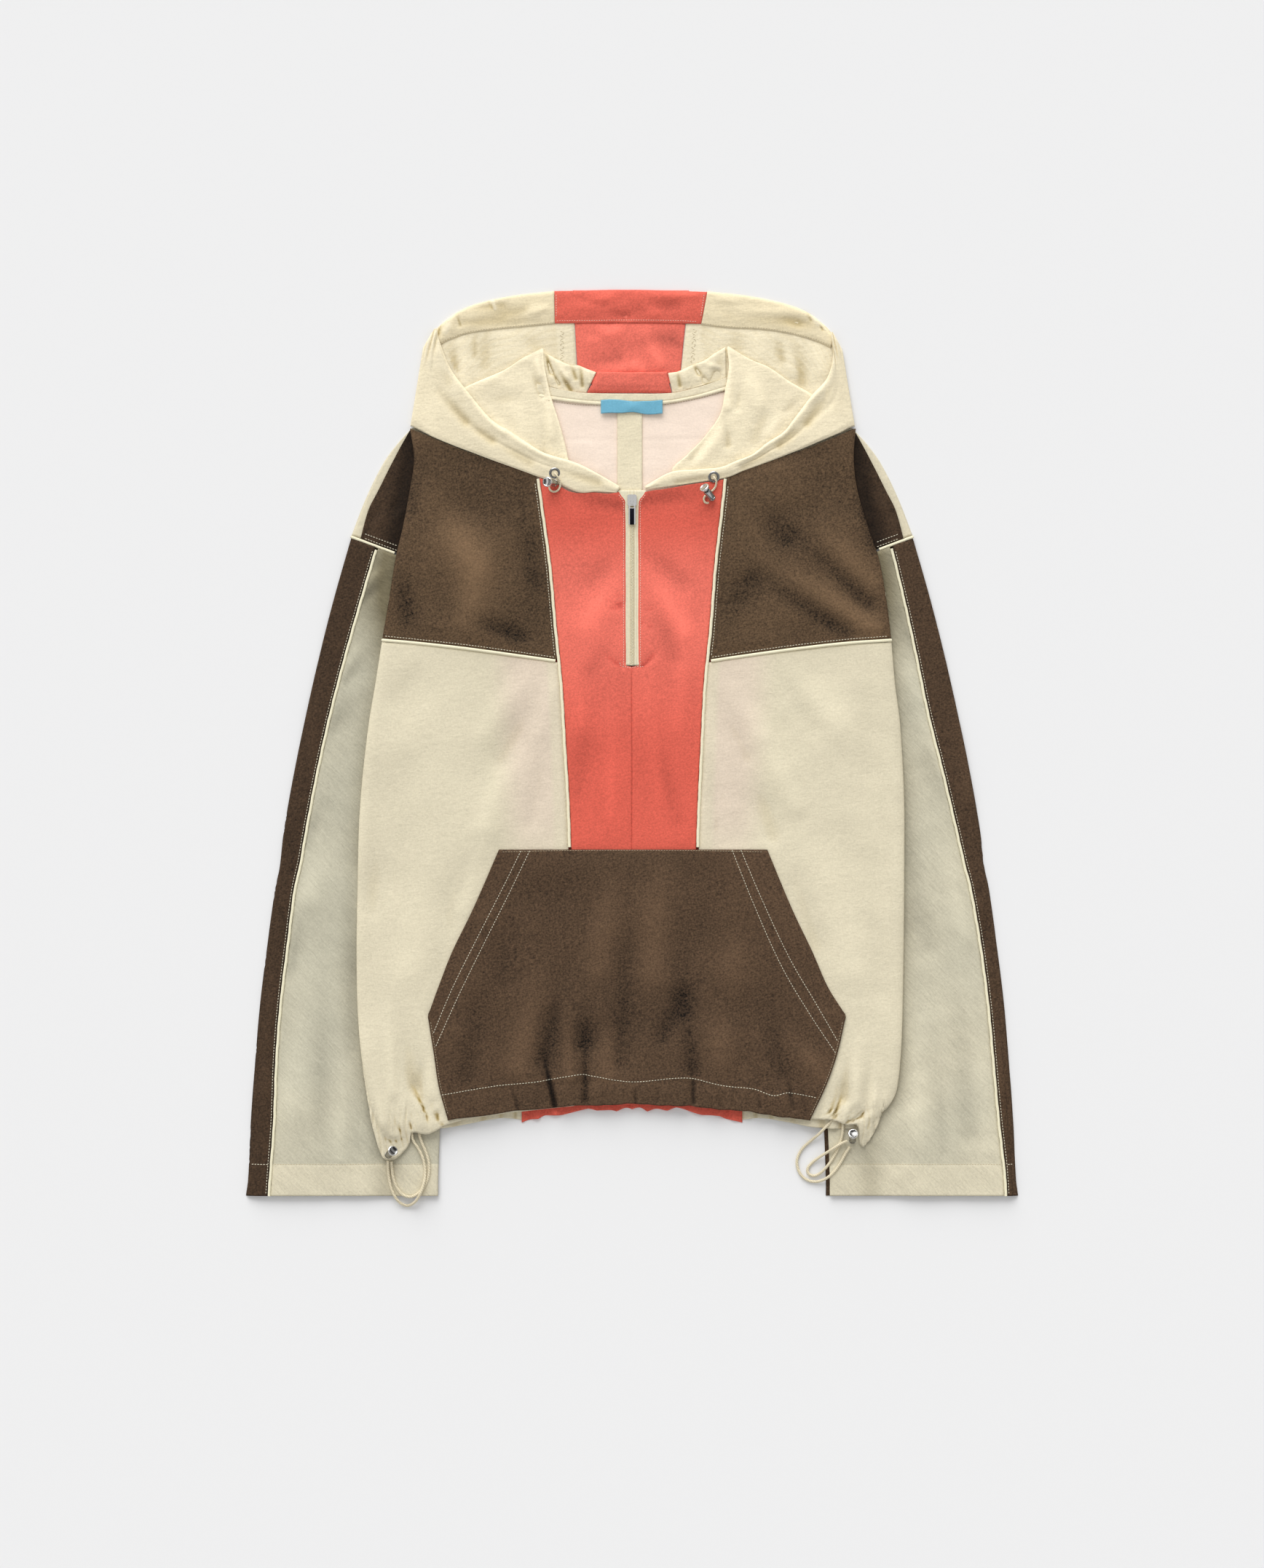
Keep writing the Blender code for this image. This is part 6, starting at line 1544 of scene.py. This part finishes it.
def hood_place(side, u, v):
    """A point of a hood side: u counts its sections, and v runs from the rim to the neck seam."""
    s = u * (len(HOOD_SECTIONS[side]) - 1)
    rim, seam = (Vector([HOOD[side][f"{edge}_{axis}"](s) for axis in "xyz"]) for edge in ("rim", "seam"))
    point = rim.lerp(seam, v)
    front = ramp((s - 9) / 2)
    point.z += front * 0.8 * math.sin(math.pi * v) ** 2
    if front > 0:
        point.z += front * ramp(v * 1.6 - 0.6) * (front_height(side, point.x, point.y - 0.4) - seam.z)
        channel = front * ramp((18.5 - s) / 4)
        point.z += channel * (0.9 * bell(v - 0.13, 0.12) - 0.75 * bell(v - 0.47, 0.06))
        point.z -= 0.9 * (1 - ramp(v / 0.06))
    return point


def casing_roll(v):
    """How the rim's casing swells in its middle, and turns down at its rim and its stitches."""
    return 0.5 * math.sin(math.pi * v) - 0.9 * ramp((v - 0.9) / 0.1) - 0.8 * (1 - ramp(v / 0.3))


def make_hood():
    for side, sign in SIDES.items():
        make_hood_side(side, sign)
        make_hood_folds(side, sign)
    make_hood_centre()


def make_hood_side(side, sign):
    count = len(HOOD_SECTIONS[side]) - 1
    stitches = through(CASING_STITCH[side])

    def place(u, v):
        point = hood_place(side, u, v)
        return sign * point.x, point.y, point.z

    def seams(x, y, u, v):
        """The overlocked seam's ledge, crinkles across the back, and gathers where the rim turns."""
        back = ramp((0.3 - u) / 0.06) * ramp((y - 346) / 5)
        ledge = 0.6 * ramp((SERGED_HALF[side] - np.abs(x)) / 1.4)
        crinkles = 0.2 * np.sin(y * 1.25 + 2.0 * np.sin(x * 0.13) + 1.2 * np.sin(y * 0.21))
        at = u * count
        drawn = ramp((at - 7.4) / 0.8) * ramp((12.6 - at) / 2.4) * (1 - ramp((v - 0.1) / 0.26))
        bunched = drawn * np.sin(5.6 * at + 1.6 * np.sin(2.1 * at) + 4 * v)
        return bunched + back * (ledge + crinkles)

    def under_casing(x, y, z, wider):
        return ramp((y - stitches.over(np.abs(x)) + wider) / 7) * (z < 1.0)

    vs = finer([0, 0.05, 0.37, 0.62, 0.84, 1], 8)
    # A painted highlight at the rim, and a constant share more of painted crease shade.
    Tailor.shell(f"hood_side_{side}", finer(even(count), 9), vs, place, swells=((60, 0.4),), rise=1.0,
                 warm=0.75, stain=0.16, glow=(0, 0, 1.3, 0), extra=seams, covered=under_casing)


def make_hood_folds(side, sign):
    """The stand at the back neck, the flap folded in beside the neck, and the rim's casing."""

    def stand_height(half, y, u, v):
        crease = 0.25 * math.sin(u * 9) * math.sin(math.pi * v)
        low = 0.85 + 1.0 * ramp(u * 1.3)
        return low + (3.25 - low) * ramp(v * 1.5) + crease - 0.6 * ramp((v - 0.9) / 0.1)

    def flap_height(half, y, u, v):
        bulge = 0.7 * math.sin(math.pi * u) * math.sin(math.pi * v)
        return 3.9 + 0.7 * ramp(u * 1.4) - 0.25 * ramp((v - 0.7) / 0.3) + bulge

    stand = strip(STAND_NECK[side], STAND_RIDGE[side])
    # Painted highlights at the free edges of the stand, flap and casing, and a constant share more of painted
    # crease shade on the stand and the casing.
    Tailor.shell(f"hood_stand_{side}", even(44), even(28), on_side(sign, stand, stand_height),
                 swells=((16, 0.3),), sewn=(0, 0, 1, 0), warm=0.8, stain=0.10, glow=(0, 0, 0, 1.0))
    corner = straight(FLAP_TOP[side][0], FLAP_EDGE[side][0])
    flap = filled(corner, Line(FLAP_FOOT[side]), Line(FLAP_TOP[side]), Line(FLAP_EDGE[side]))
    Tailor.shell(f"hood_flap_{side}", even(56), even(72), on_side(sign, flap, flap_height),
                 swells=((60, 0.4),), sewn=(0, 0, 0, 0), warm=0.9, glow=(1.0, 1.2, 1.2, 1.2))
    casing = strip(CASING_STITCH[side], CASING_RIM[side])
    place = on_side(sign, casing, lambda half, y, u, v: 2.1 + casing_roll(v))
    Tailor.shell(f"hood_casing_{side}", even(64), even(22), place, swells=((30, 0.3),), sewn=(1, 0, 1, 0),
                 warm=0.95, stain=0.31, glow=(0, 0.8, 0, 1.0))


def make_hood_centre():
    last = len(HOOD_CENTRE) - 1

    def centre(u, v):
        turn = {name: curve(v * last) for name, curve in HOOD_LENGTHWISE.items()}
        sag = 0.8 * (1 - (2 * u - 1) ** 2) * ramp((turn["z"] - 2.0) / 0.8)
        return -turn["left"] + (turn["left"] + turn["right"]) * u, turn["y"] - sag, turn["z"]

    # Mostly the coral's painted light colour.
    Tailor.shell("hood_centre", even(56), finer(even(last), 5), centre, swells=((40, 0.4),), rise=0.9,
                 tint=0.95, covered=lambda x, y, z, wider: ramp((y - 398 + wider) / 7))
    casing = strip((Point(-72, 396.4), Point(0, 397), Point(64.5, 396)),
                   (Point(-72.4, 426.4), Point(0, 427.6), Point(70.2, 425.6)))
    # A little of the coral's painted light colour.
    Tailor.shell("hood_casing_centre", even(80), even(22), lambda u, v: (*casing(u, v), 2.2 + casing_roll(v)),
                 swells=((30, 0.3),), sewn=(1, 1, 1, 0), tint=0.3)


def tube(name, points, width, rounding=3):
    """A round strand through places in the frame, as one open curve."""
    curve = bpy.data.curves.new(name, "CURVE")
    curve.dimensions = "3D"
    curve.bevel_depth = width * MM / 2
    curve.bevel_resolution = rounding
    curve.use_fill_caps = True
    spline = curve.splines.new("POLY")
    spline.points.add(len(points) - 1)
    for spot, point in zip(spline.points, points):
        spot.co = (*point, 1.0)
    spline.use_smooth = True
    obj = bpy.data.objects.new(name, curve)
    bpy.context.scene.collection.objects.link(obj)
    return obj


def piping_runs(side):
    """Places along each piped seam of a side, as half, y and height."""
    seam = PIPING_WIDTH / 2 + 0.4
    runs = {"centre": [], "yoke": [], "armhole": [], "sleeve": []}
    for t in even(110):
        y = -92.5 + 343.5 * t
        half = CENTRE[side](y) + seam
        runs["centre"].append((half, y, front_height(side, half, y) + 0.5))
    start = Point(CENTRE[side](81) + 2 * seam + 1.6, 81.2)
    foot = Line([start, *YOKE_FOOT[1:-1], Point(BODY[side](100.4) - 0.2, 100.4)])
    for t in finer([0, 0.9, 1.0], 36):
        half, y = foot(t)
        runs["yoke"].append((half, y, front_height(side, half, y) + 0.5))
    stop = BODY[side](184) + 3.0
    for t in even(24):
        half = 262.5 + (stop - 262.5) * t
        runs["armhole"].append((half, armhole_y(half), 2.6 + 0.4 * (1 - t)))

    def seam_half(y):
        return ARM["outer"](y) - ARM[side](y)

    for t in even(180):
        y = sleeve_row(t, 3.6, seam_half)
        half = seam_half(y)
        runs["sleeve"].append((half, y, sleeve_height(side, half, y) + 0.4))
    return runs


def make_piping():
    width = bpy.context.scene.jacket_trim.piping_width / MM
    for side, sign in SIDES.items():
        for name, run in piping_runs(side).items():
            points = []
            for k, (half, y, z) in enumerate(run):
                uneven = 0.12 * math.sin(k * 0.9 + sign) + 0.08 * math.sin(k * 2.3)
                points.append(world((sign * (half + uneven), y, z)))
            thick = width if name in ("centre", "yoke") else width - 0.2
            dress(tube(f"piping_{name}_{side}_cord", points, thick), f"piping_{name}_{side}")


def sew(bm, points, stitch):
    """A row of stitches along a line, each laid between two points on top of the cloth."""
    path = Line([tuple(p) for p in points])
    for k in range(int(path.length / stitch.step)):
        shares = (0.5 - stitch.share / 2, 0.5 + stitch.share / 2)
        ends = [Tailor.top(*path((k + share) * stitch.step / path.length)) for share in shares]
        if None in ends:
            continue
        (a, normal), (b, _) = ends
        along = b - a
        if along.length > 2 * stitch.step * MM:
            continue
        across = normal.cross(along).normalized()
        turn = Matrix((along.normalized(), across, normal)).transposed().to_4x4()
        size = Matrix.Diagonal((along.length / 2, stitch.width * MM / 2, stitch.width * MM * 0.32, 1))
        middle = Matrix.Translation((a + b) / 2 + normal * 0.00008)
        bmesh.ops.create_icosphere(bm, subdivisions=1, radius=1.0, matrix=middle @ turn @ size)


def side_seams(side):
    """Rows of stitches of one side by thread, as points of half and y."""
    body, outer, band = BODY[side], ARM["outer"], ARM[side]
    beside_piping = PIPING_WIDTH + 0.8
    yoke = [Point(CENTRE[side](85) + beside_piping + 1.8, YOKE_FOOT[0].y + 3.6)]
    yoke += [Point(p.x, p.y + 3.6) for p in YOKE_FOOT[1:-1]] + [Point(body(104) - 1, 104.2)]
    centre_ys = (86, 110, 140, 170, 200, 225, 247)
    centre = [Point(CENTRE[side](y) + beside_piping + 1.6, y) for y in centre_ys]
    ends = (body(186) + 1.0, 250.5)
    armhole = [[Point(half, armhole_y(half) + above) for half in ends] for above in (3.2, 7.6)]
    sleeve = [Point(outer(y) - band(y) + PIPING_WIDTH / 2 + 1.8, y) for y in range(-416, 190, 24)]
    fold, seam = outer(CUFF_SEAM_Y), outer(CUFF_SEAM_Y) - band(CUFF_SEAM_Y)
    band_cuff = [Point(half, CUFF_SEAM_Y) for half in (fold - 1.5, seam + 2.5)]
    sheer_cuff = [Point(half, CUFF_SEAM_Y) for half in (seam - 2.5, 190)]
    casing = [Point(p.x, p.y + 1.2) for p in CASING_STITCH[side]]
    pocket = [Point(POCKET[side](y) - 1.8, y) for y in (-255, -270, -290, -310, -330, -343)]
    slit_ys = (ZIP_END_Y - 1, 110, 150, 190, 222, 229, 233, 237)
    return {
        "thread_white": [yoke, centre, *armhole, sleeve, band_cuff],
        "thread_cream": [sheer_cuff, casing],
        "thread_tan": [pocket],
        "thread_coral": [[Point(zip_slit(y) + 2.2, y) for y in slit_ys]],
    }


def seam_lines():
    """Every row of stitches by thread, as lines of points in the tables' plane."""
    rows = {thread: [] for thread in STITCHES}
    for side, sign in SIDES.items():
        for thread, lines in side_seams(side).items():
            rows[thread] += [[Point(sign * p.x, p.y) for p in line] for line in lines]
    for thread, lines in SEAMS_IN_PIXELS.items():
        rows[thread] += [[photo(*spot) for spot in line] for line in lines]
    return rows


def make_stitching():
    for thread, lines in seam_lines().items():
        bm = bmesh.new()
        for points in lines:
            sew(bm, points, STITCHES[thread])
        wear(mesh_object(f"stitches_{thread[7:]}", bm), thread)


def make_zip():
    def tape(u, v):
        y = ZIP_END_Y + 1.4 + (ZIP_TOP_Y - 1 - ZIP_END_Y) * v
        half = zip_slit(y) + 0.9
        return half * (2 * u - 1), y, TAPE_Z - 0.3 * abs(2 * u - 1)

    def lines(x, y, z):
        """Thin lines beside the coil and near each edge of the tape."""
        half = np.abs(x)
        return 0.5 * bell(half - 1.9, 0.4) + 0.3 * bell(half - 4.2, 0.35)

    Tailor.shell("zip_tape", even(52), even(90), tape, swells=(), tint=lines,
                 extra=lambda x, y, u, v: 0.14 * np.cos(x * 3.3))
    coil = bmesh.new()
    pitch = 1.3
    size = Matrix.Diagonal((1.15 * MM, 0.42 * MM, 0.55 * MM, 1))
    for k in range(int((SLIDER_Y - ZIP_END_Y - 3) / pitch)):
        for sign in SIDES.values():
            spot = world((sign * 0.75, ZIP_END_Y + 2.5 + (k + 0.25 * sign) * pitch, TAPE_Z + CLOTH / 2 + 0.1))
            matrix = Matrix.Translation(spot) @ Matrix.Rotation(sign * 0.25, 4, "Z") @ size
            bmesh.ops.create_icosphere(coil, subdivisions=2, radius=1.0, matrix=matrix)
    wear(mesh_object("zip_coil", coil), "coil")
    for node in ("zip_slider", "zip_pull"):
        solid = frame["nodes"][node]
        solid.data.materials.clear()
        solid.data.materials.append(finish("nickel"))
    hinge = Matrix.Translation(world((0, SLIDER_Y, PULL_AXIS_Z))) @ Matrix.Rotation(PULL_LEAN, 4, "X")
    seat = hinge @ Matrix.Translation(Vector((0, -15.4, 0.62)) * MM)
    inlay = bmesh.new()
    bmesh.ops.create_cube(inlay, size=1.0, matrix=seat @ Matrix.Diagonal((4.1 * MM, 15.2 * MM, 0.3 * MM, 1)))
    bmesh.ops.bevel(inlay, geom=list(inlay.edges), offset=0.1 * MM, segments=2, profile=0.5, affect="EDGES",
                    material=-1)
    wear(mesh_object("zip_pull_inlay", inlay), "inlay", "zip_pull")


def turned(name, profile, place, dark, steps=48):
    """A round piece: the closed profile of (radius, height) points in millimetres turned about its axis.

    dark() gives how dark a painted reflection of the room it has at a radius and height.
    """
    bm = bmesh.new()
    verts = [bm.verts.new((radius * MM, 0, height * MM)) for radius, height in profile]
    edges = [bm.edges.new((a, b)) for a, b in zip(verts, verts[1:] + verts[:1]) if a.co.x + b.co.x > 0]
    bmesh.ops.spin(bm, geom=verts + edges, axis=(0, 0, 1), cent=(0, 0, 0), angle=2 * math.pi, steps=steps,
                   use_merge=True)
    bmesh.ops.remove_doubles(bm, verts=bm.verts, dist=0.005 * MM)
    bmesh.ops.recalc_face_normals(bm, faces=bm.faces)
    shade = bm.verts.layers.float.new("shade")
    for vert in bm.verts:
        vert[shade] = dark(vert.co.xy.length / MM, vert.co.z / MM)
    bmesh.ops.transform(bm, matrix=place, verts=bm.verts)
    return mesh_object(name, bm, sharp=40)


def make_hardware():
    for side, spot in EYELETS.items():
        lean = Matrix.Rotation(math.radians(spot.slope), 4, "X")
        place = Matrix.Translation(world((spot.x, spot.y, spot.z))) @ lean
        ring = turned(f"eyelet_{side}_ring", EYELET_RING, place, lambda radius, height: EYELET_SHADE)
        dress(ring, f"eyelet_{side}")
    for name, lock in LOCKS.items():
        turn = Matrix.Rotation(math.radians(lock.heading), 4, "Z")
        lean = Matrix.Rotation(math.radians(90 - lock.tilt), 4, "Y")
        place = Matrix.Translation(world((lock.foot_x, lock.foot_y, lock.foot_z))) @ turn @ lean

        def face(radius, height):
            """Painted dark reflection inside the head's bright rim, and along the shaft."""
            return FACE_SHADE[name] if radius < 3.6 or height < 15 else 0.0

        barrel = turned(f"{name}_barrel", BARREL, place, lambda radius, height: BARREL_SHADE)
        dress(barrel, f"lock_barrel_{name}")
        dress(turned(f"{name}_plunger", PLUNGER, place, face), f"lock_plunger_{name}")


def make_cords():
    for name, route in CORD_ROUTES.items():
        width = HOOD_CORD_WIDTH if name.startswith("hood") else HEM_CORD_WIDTH
        path = Line(route)
        points = [world(path(t)) for t in even(round(path.length / 1.2))]
        obj = dress(tube(f"{name}_elastic", points, width, rounding=4), name)


def make_stage():
    stage = bpy.context.scene.jacket_stage
    bm = bmesh.new()
    bmesh.ops.create_grid(bm, x_segments=2, y_segments=2, size=12.0)
    floor = mesh_object("floor", bm)
    s = Shader(bpy.data.materials.new("floor"))
    s.surface(Base_Color=(*stage.floor, 1), Roughness=0.9)
    floor.data.materials.append(s.owner)
    bpy.context.scene.world = bpy.data.worlds.new("studio")
    s = Shader(bpy.context.scene.world, "Background")
    mirrored = s.node("ShaderNodeLightPath", {}, {}, "Is Glossy Ray")
    aim = s.node("ShaderNodeSeparateXYZ", {}, {0: s.node("ShaderNodeTexCoord", {}, {}, "Generated")}, "Z")
    strips = ((aim * 10.5 + 2.28).sine() * 0.85 + stage.sky_power).at_least(0.03)
    s.surface(Color=(*stage.sky, 1), Strength=mirrored * (strips - stage.sky_power) + stage.sky_power)
    sun = bpy.data.lights.new("key", "SUN")
    sun.energy = stage.key_power
    sun.angle = math.radians(stage.key_softness)
    key = bpy.data.objects.new("key", sun)
    key.rotation_euler = (math.radians(-stage.key_tilt), math.radians(-stage.key_side), 0)
    bpy.context.scene.collection.objects.link(key)
    lens = bpy.data.cameras.new("camera")
    lens.lens = LENS
    lens.sensor_width = SENSOR
    camera = bpy.data.objects.new("camera", lens)
    middle = photo(PHOTO_SIZE[0] / 2, PHOTO_SIZE[1] / 2)
    height = PHOTO_SIZE[1] * PHOTO_PIXEL * LENS / SENSOR
    camera.location = world((middle.x, middle.y, height))
    bpy.context.scene.collection.objects.link(camera)
    bpy.context.scene.camera = camera
    bpy.context.scene.view_settings.view_transform = "Standard"


def colour(name, description, default):
    """A colour that a user can change."""
    return FloatVectorProperty(name=name, description=description, default=default, subtype="COLOR",
                               min=0, max=1)


def number(name, description, default, unit="NONE"):
    """A size or a strength that a user can change."""
    return FloatProperty(name=name, description=description, default=default, unit=unit)


class JacketCloth(bpy.types.PropertyGroup):
    """The cloth's thickness, creases and colours."""

    thickness: number("Cloth thickness", "Thickness of one layer", 0.0008, "LENGTH")
    crease_strength: number("Creases", "Height of the creases placed by hand", 1.15)
    cream: colour("Cream", "Cream cloth", (0.735, 0.665, 0.49))
    cream_pink: colour("Cream over coral", "Cream cloth with the coral back under it", (0.75, 0.625, 0.50))
    cream_warm: colour("Cream, double", "Cream cloth that lies double on the hood", (0.89, 0.785, 0.56))
    # Painted shade in the creases of the cream cloth
    cream_deep: colour("Cream in creases", "Depth of the creases in the cream cloth", (0.50, 0.355, 0.10))
    sheer: colour("Cream over brown", "Single cream cloth with brown under it", (0.54, 0.51, 0.39))
    sheer_shade: colour("Sheer in shade", "Single cream cloth beside the body", (0.20, 0.17, 0.10))
    # Painted shade in the creases of the sheer cloth
    sheer_deep: colour("Sheer in creases", "Depth of the creases in the sheer cloth", (0.38, 0.34, 0.23))
    brown: colour("Brown", "Brown cloth", (0.088, 0.052, 0.029))
    # Painted light: a lit copy of the brown, on the yoke
    brown_light: colour("Brown on the yoke", "Brown cloth where the light catches it", (0.112, 0.070, 0.036))
    # Painted shade: a shaded copy of the brown, beside the shoulder fold, the seams and the hood's edge
    brown_dark: colour("Brown in shade", "Brown cloth beside the shoulder fold", (0.018, 0.010, 0.005))
    # Painted shade in the creases of the brown cloth and of the label
    brown_deep: colour("Brown in creases", "Depth of the creases in the brown cloth", (0.02, 0.012, 0.007))
    coral: colour("Coral", "Coral cloth", (0.707, 0.119, 0.079))
    # Painted light: a lit copy of the coral, on the chest and the hood's centre
    coral_light: colour("Coral, light", "Coral cloth where it catches the light", (0.83, 0.175, 0.124))
    # Painted shade in the creases of the coral cloth
    coral_deep: colour("Coral in creases", "Depth of the creases in the coral cloth", (0.50, 0.03, 0.025))
    lining: colour("Inside of the back", "Pale inside of the coral back", (0.95, 0.79, 0.66))
    # Painted shade in the creases of the inside of the back
    lining_deep: colour("Inside in creases", "Depth of the creases inside", (0.72, 0.50, 0.38))
    label: colour("Label", "Blue satin label", (0.158, 0.43, 0.58))
    piping: colour("Piping", "Corded piping", (0.88, 0.82, 0.60))
    tape: colour("Zip tape", "Woven tape of the zip", (0.78, 0.72, 0.53))
    coil: colour("Zip lines", "Thin lines woven in the tape", (0.62, 0.46, 0.26))


class JacketTrim(bpy.types.PropertyGroup):
    """Piping, cords, thread and metal."""

    piping_width: number("Piping", "Width of the piping", 0.0028, "LENGTH")
    cord: colour("Cord", "Elastic cord", (0.84, 0.74, 0.52))
    thread_white: colour("Contrast thread", "Thread on the brown cloth", (0.78, 0.72, 0.55))
    thread_tan: colour("Edge thread", "Thread at the pocket's edges", (0.42, 0.34, 0.22))
    thread_coral: colour("Pink thread", "Thread beside the zip", (0.95, 0.62, 0.50))
    thread_cream: colour("Cream thread", "Thread on the cream cloth", (0.56, 0.46, 0.27))
    nickel: colour("Nickel", "Bright nickel plate", (0.74, 0.73, 0.71))
    inlay: colour("Inlay", "Dark inlay of the zip pull", (0.02, 0.02, 0.03))


class JacketStage(bpy.types.PropertyGroup):
    """Floor and light."""

    floor: colour("Floor", "Pale floor", (0.85, 0.85, 0.852))
    sky: colour("Ambient", "Colour of the light from all round", (1.0, 1.0, 1.0))
    sky_power: number("Ambient power", "Light from all round", 0.62)
    key_power: number("Key power", "Strength of the key light", 2.7)
    key_softness: number("Key softness", "Angle that the key light fills", 50.0)
    key_tilt: number("Key tilt", "Lean of the key light towards the hood", 60.0)
    key_side: number("Key side", "Lean of the key light to the left", 22.0)


class Piece(bpy.types.Operator):
    """Makes one group of pieces."""

    bl_options = {"REGISTER", "UNDO"}

    def execute(self, context):
        for make in self.makers:
            make()
        return {"FINISHED"}


class JACKET_OT_back(Piece):
    """Back panels, with the gathered hem"""

    bl_idname = "jacket.back"
    bl_label = "Back"
    makers = (make_back,)


class JACKET_OT_neck(Piece):
    """Inside of the neck, with its tapes and bare label"""

    bl_idname = "jacket.neck"
    bl_label = "Neck"
    makers = (make_neck,)


class JACKET_OT_sleeves(Piece):
    """Both sleeves"""

    bl_idname = "jacket.sleeves"
    bl_label = "Sleeves"
    makers = (make_sleeves,)


class JACKET_OT_front(Piece):
    """Front panels, yokes and shoulders"""

    bl_idname = "jacket.front"
    bl_label = "Front"
    makers = (make_front,)


class JACKET_OT_pocket(Piece):
    """Kangaroo pocket"""

    bl_idname = "jacket.pocket"
    bl_label = "Pocket"
    makers = (make_pocket,)


class JACKET_OT_hood(Piece):
    """Hood, with its casing, stand and folded-in flaps"""

    bl_idname = "jacket.hood"
    bl_label = "Hood"
    makers = (make_hood,)


class JACKET_OT_piping(Piece):
    """Piping in the seams"""

    bl_idname = "jacket.piping"
    bl_label = "Piping"
    makers = (make_piping,)


class JACKET_OT_zip(Piece):
    """Zip tape, coil, slider and pull"""

    bl_idname = "jacket.zip"
    bl_label = "Zip"
    makers = (make_zip,)


class JACKET_OT_stitching(Piece):
    """Rows of stitches"""

    bl_idname = "jacket.stitching"
    bl_label = "Stitching"
    makers = (make_stitching,)


class JACKET_OT_hardware(Piece):
    """Eyelets and cord locks"""

    bl_idname = "jacket.hardware"
    bl_label = "Eyelets and locks"
    makers = (make_hardware,)


class JACKET_OT_cords(Piece):
    """Elastic cords at the hood and hem"""

    bl_idname = "jacket.cords"
    bl_label = "Cords"
    makers = (make_cords,)


class JACKET_OT_stage(Piece):
    """Floor, light and camera"""

    bl_idname = "jacket.stage"
    bl_label = "Stage"
    makers = (make_stage,)


OPERATORS = (
    JACKET_OT_stage, JACKET_OT_cords, JACKET_OT_back, JACKET_OT_neck, JACKET_OT_sleeves, JACKET_OT_front,
    JACKET_OT_pocket, JACKET_OT_hood, JACKET_OT_piping, JACKET_OT_zip, JACKET_OT_stitching,
    JACKET_OT_hardware,
)
SETTINGS = {"jacket_cloth": JacketCloth, "jacket_trim": JacketTrim, "jacket_stage": JacketStage}


class JACKET_PT_panel(bpy.types.Panel):
    """Lists the pieces and their settings"""

    bl_idname = "JACKET_PT_panel"
    bl_label = "Windbreaker"
    bl_space_type = "VIEW_3D"
    bl_region_type = "UI"
    bl_category = "Windbreaker"

    def draw(self, context):
        for operator in OPERATORS:
            self.layout.operator(operator.bl_idname)
        for name, group in SETTINGS.items():
            for field in group.__annotations__:
                self.layout.prop(getattr(context.scene, name), field)


def register():
    for group in (*SETTINGS.values(), *OPERATORS, JACKET_PT_panel):
        bpy.utils.register_class(group)
    for name, group in SETTINGS.items():
        setattr(bpy.types.Scene, name, PointerProperty(type=group))


def unregister():
    for name in SETTINGS:
        delattr(bpy.types.Scene, name)
    for group in reversed((*SETTINGS.values(), *OPERATORS, JACKET_PT_panel)):
        bpy.utils.unregister_class(group)


def main():
    register()
    for operator in OPERATORS:
        group, name = operator.bl_idname.split(".")
        getattr(getattr(bpy.ops, group), name)()


if __name__ == "__main__":
    main()
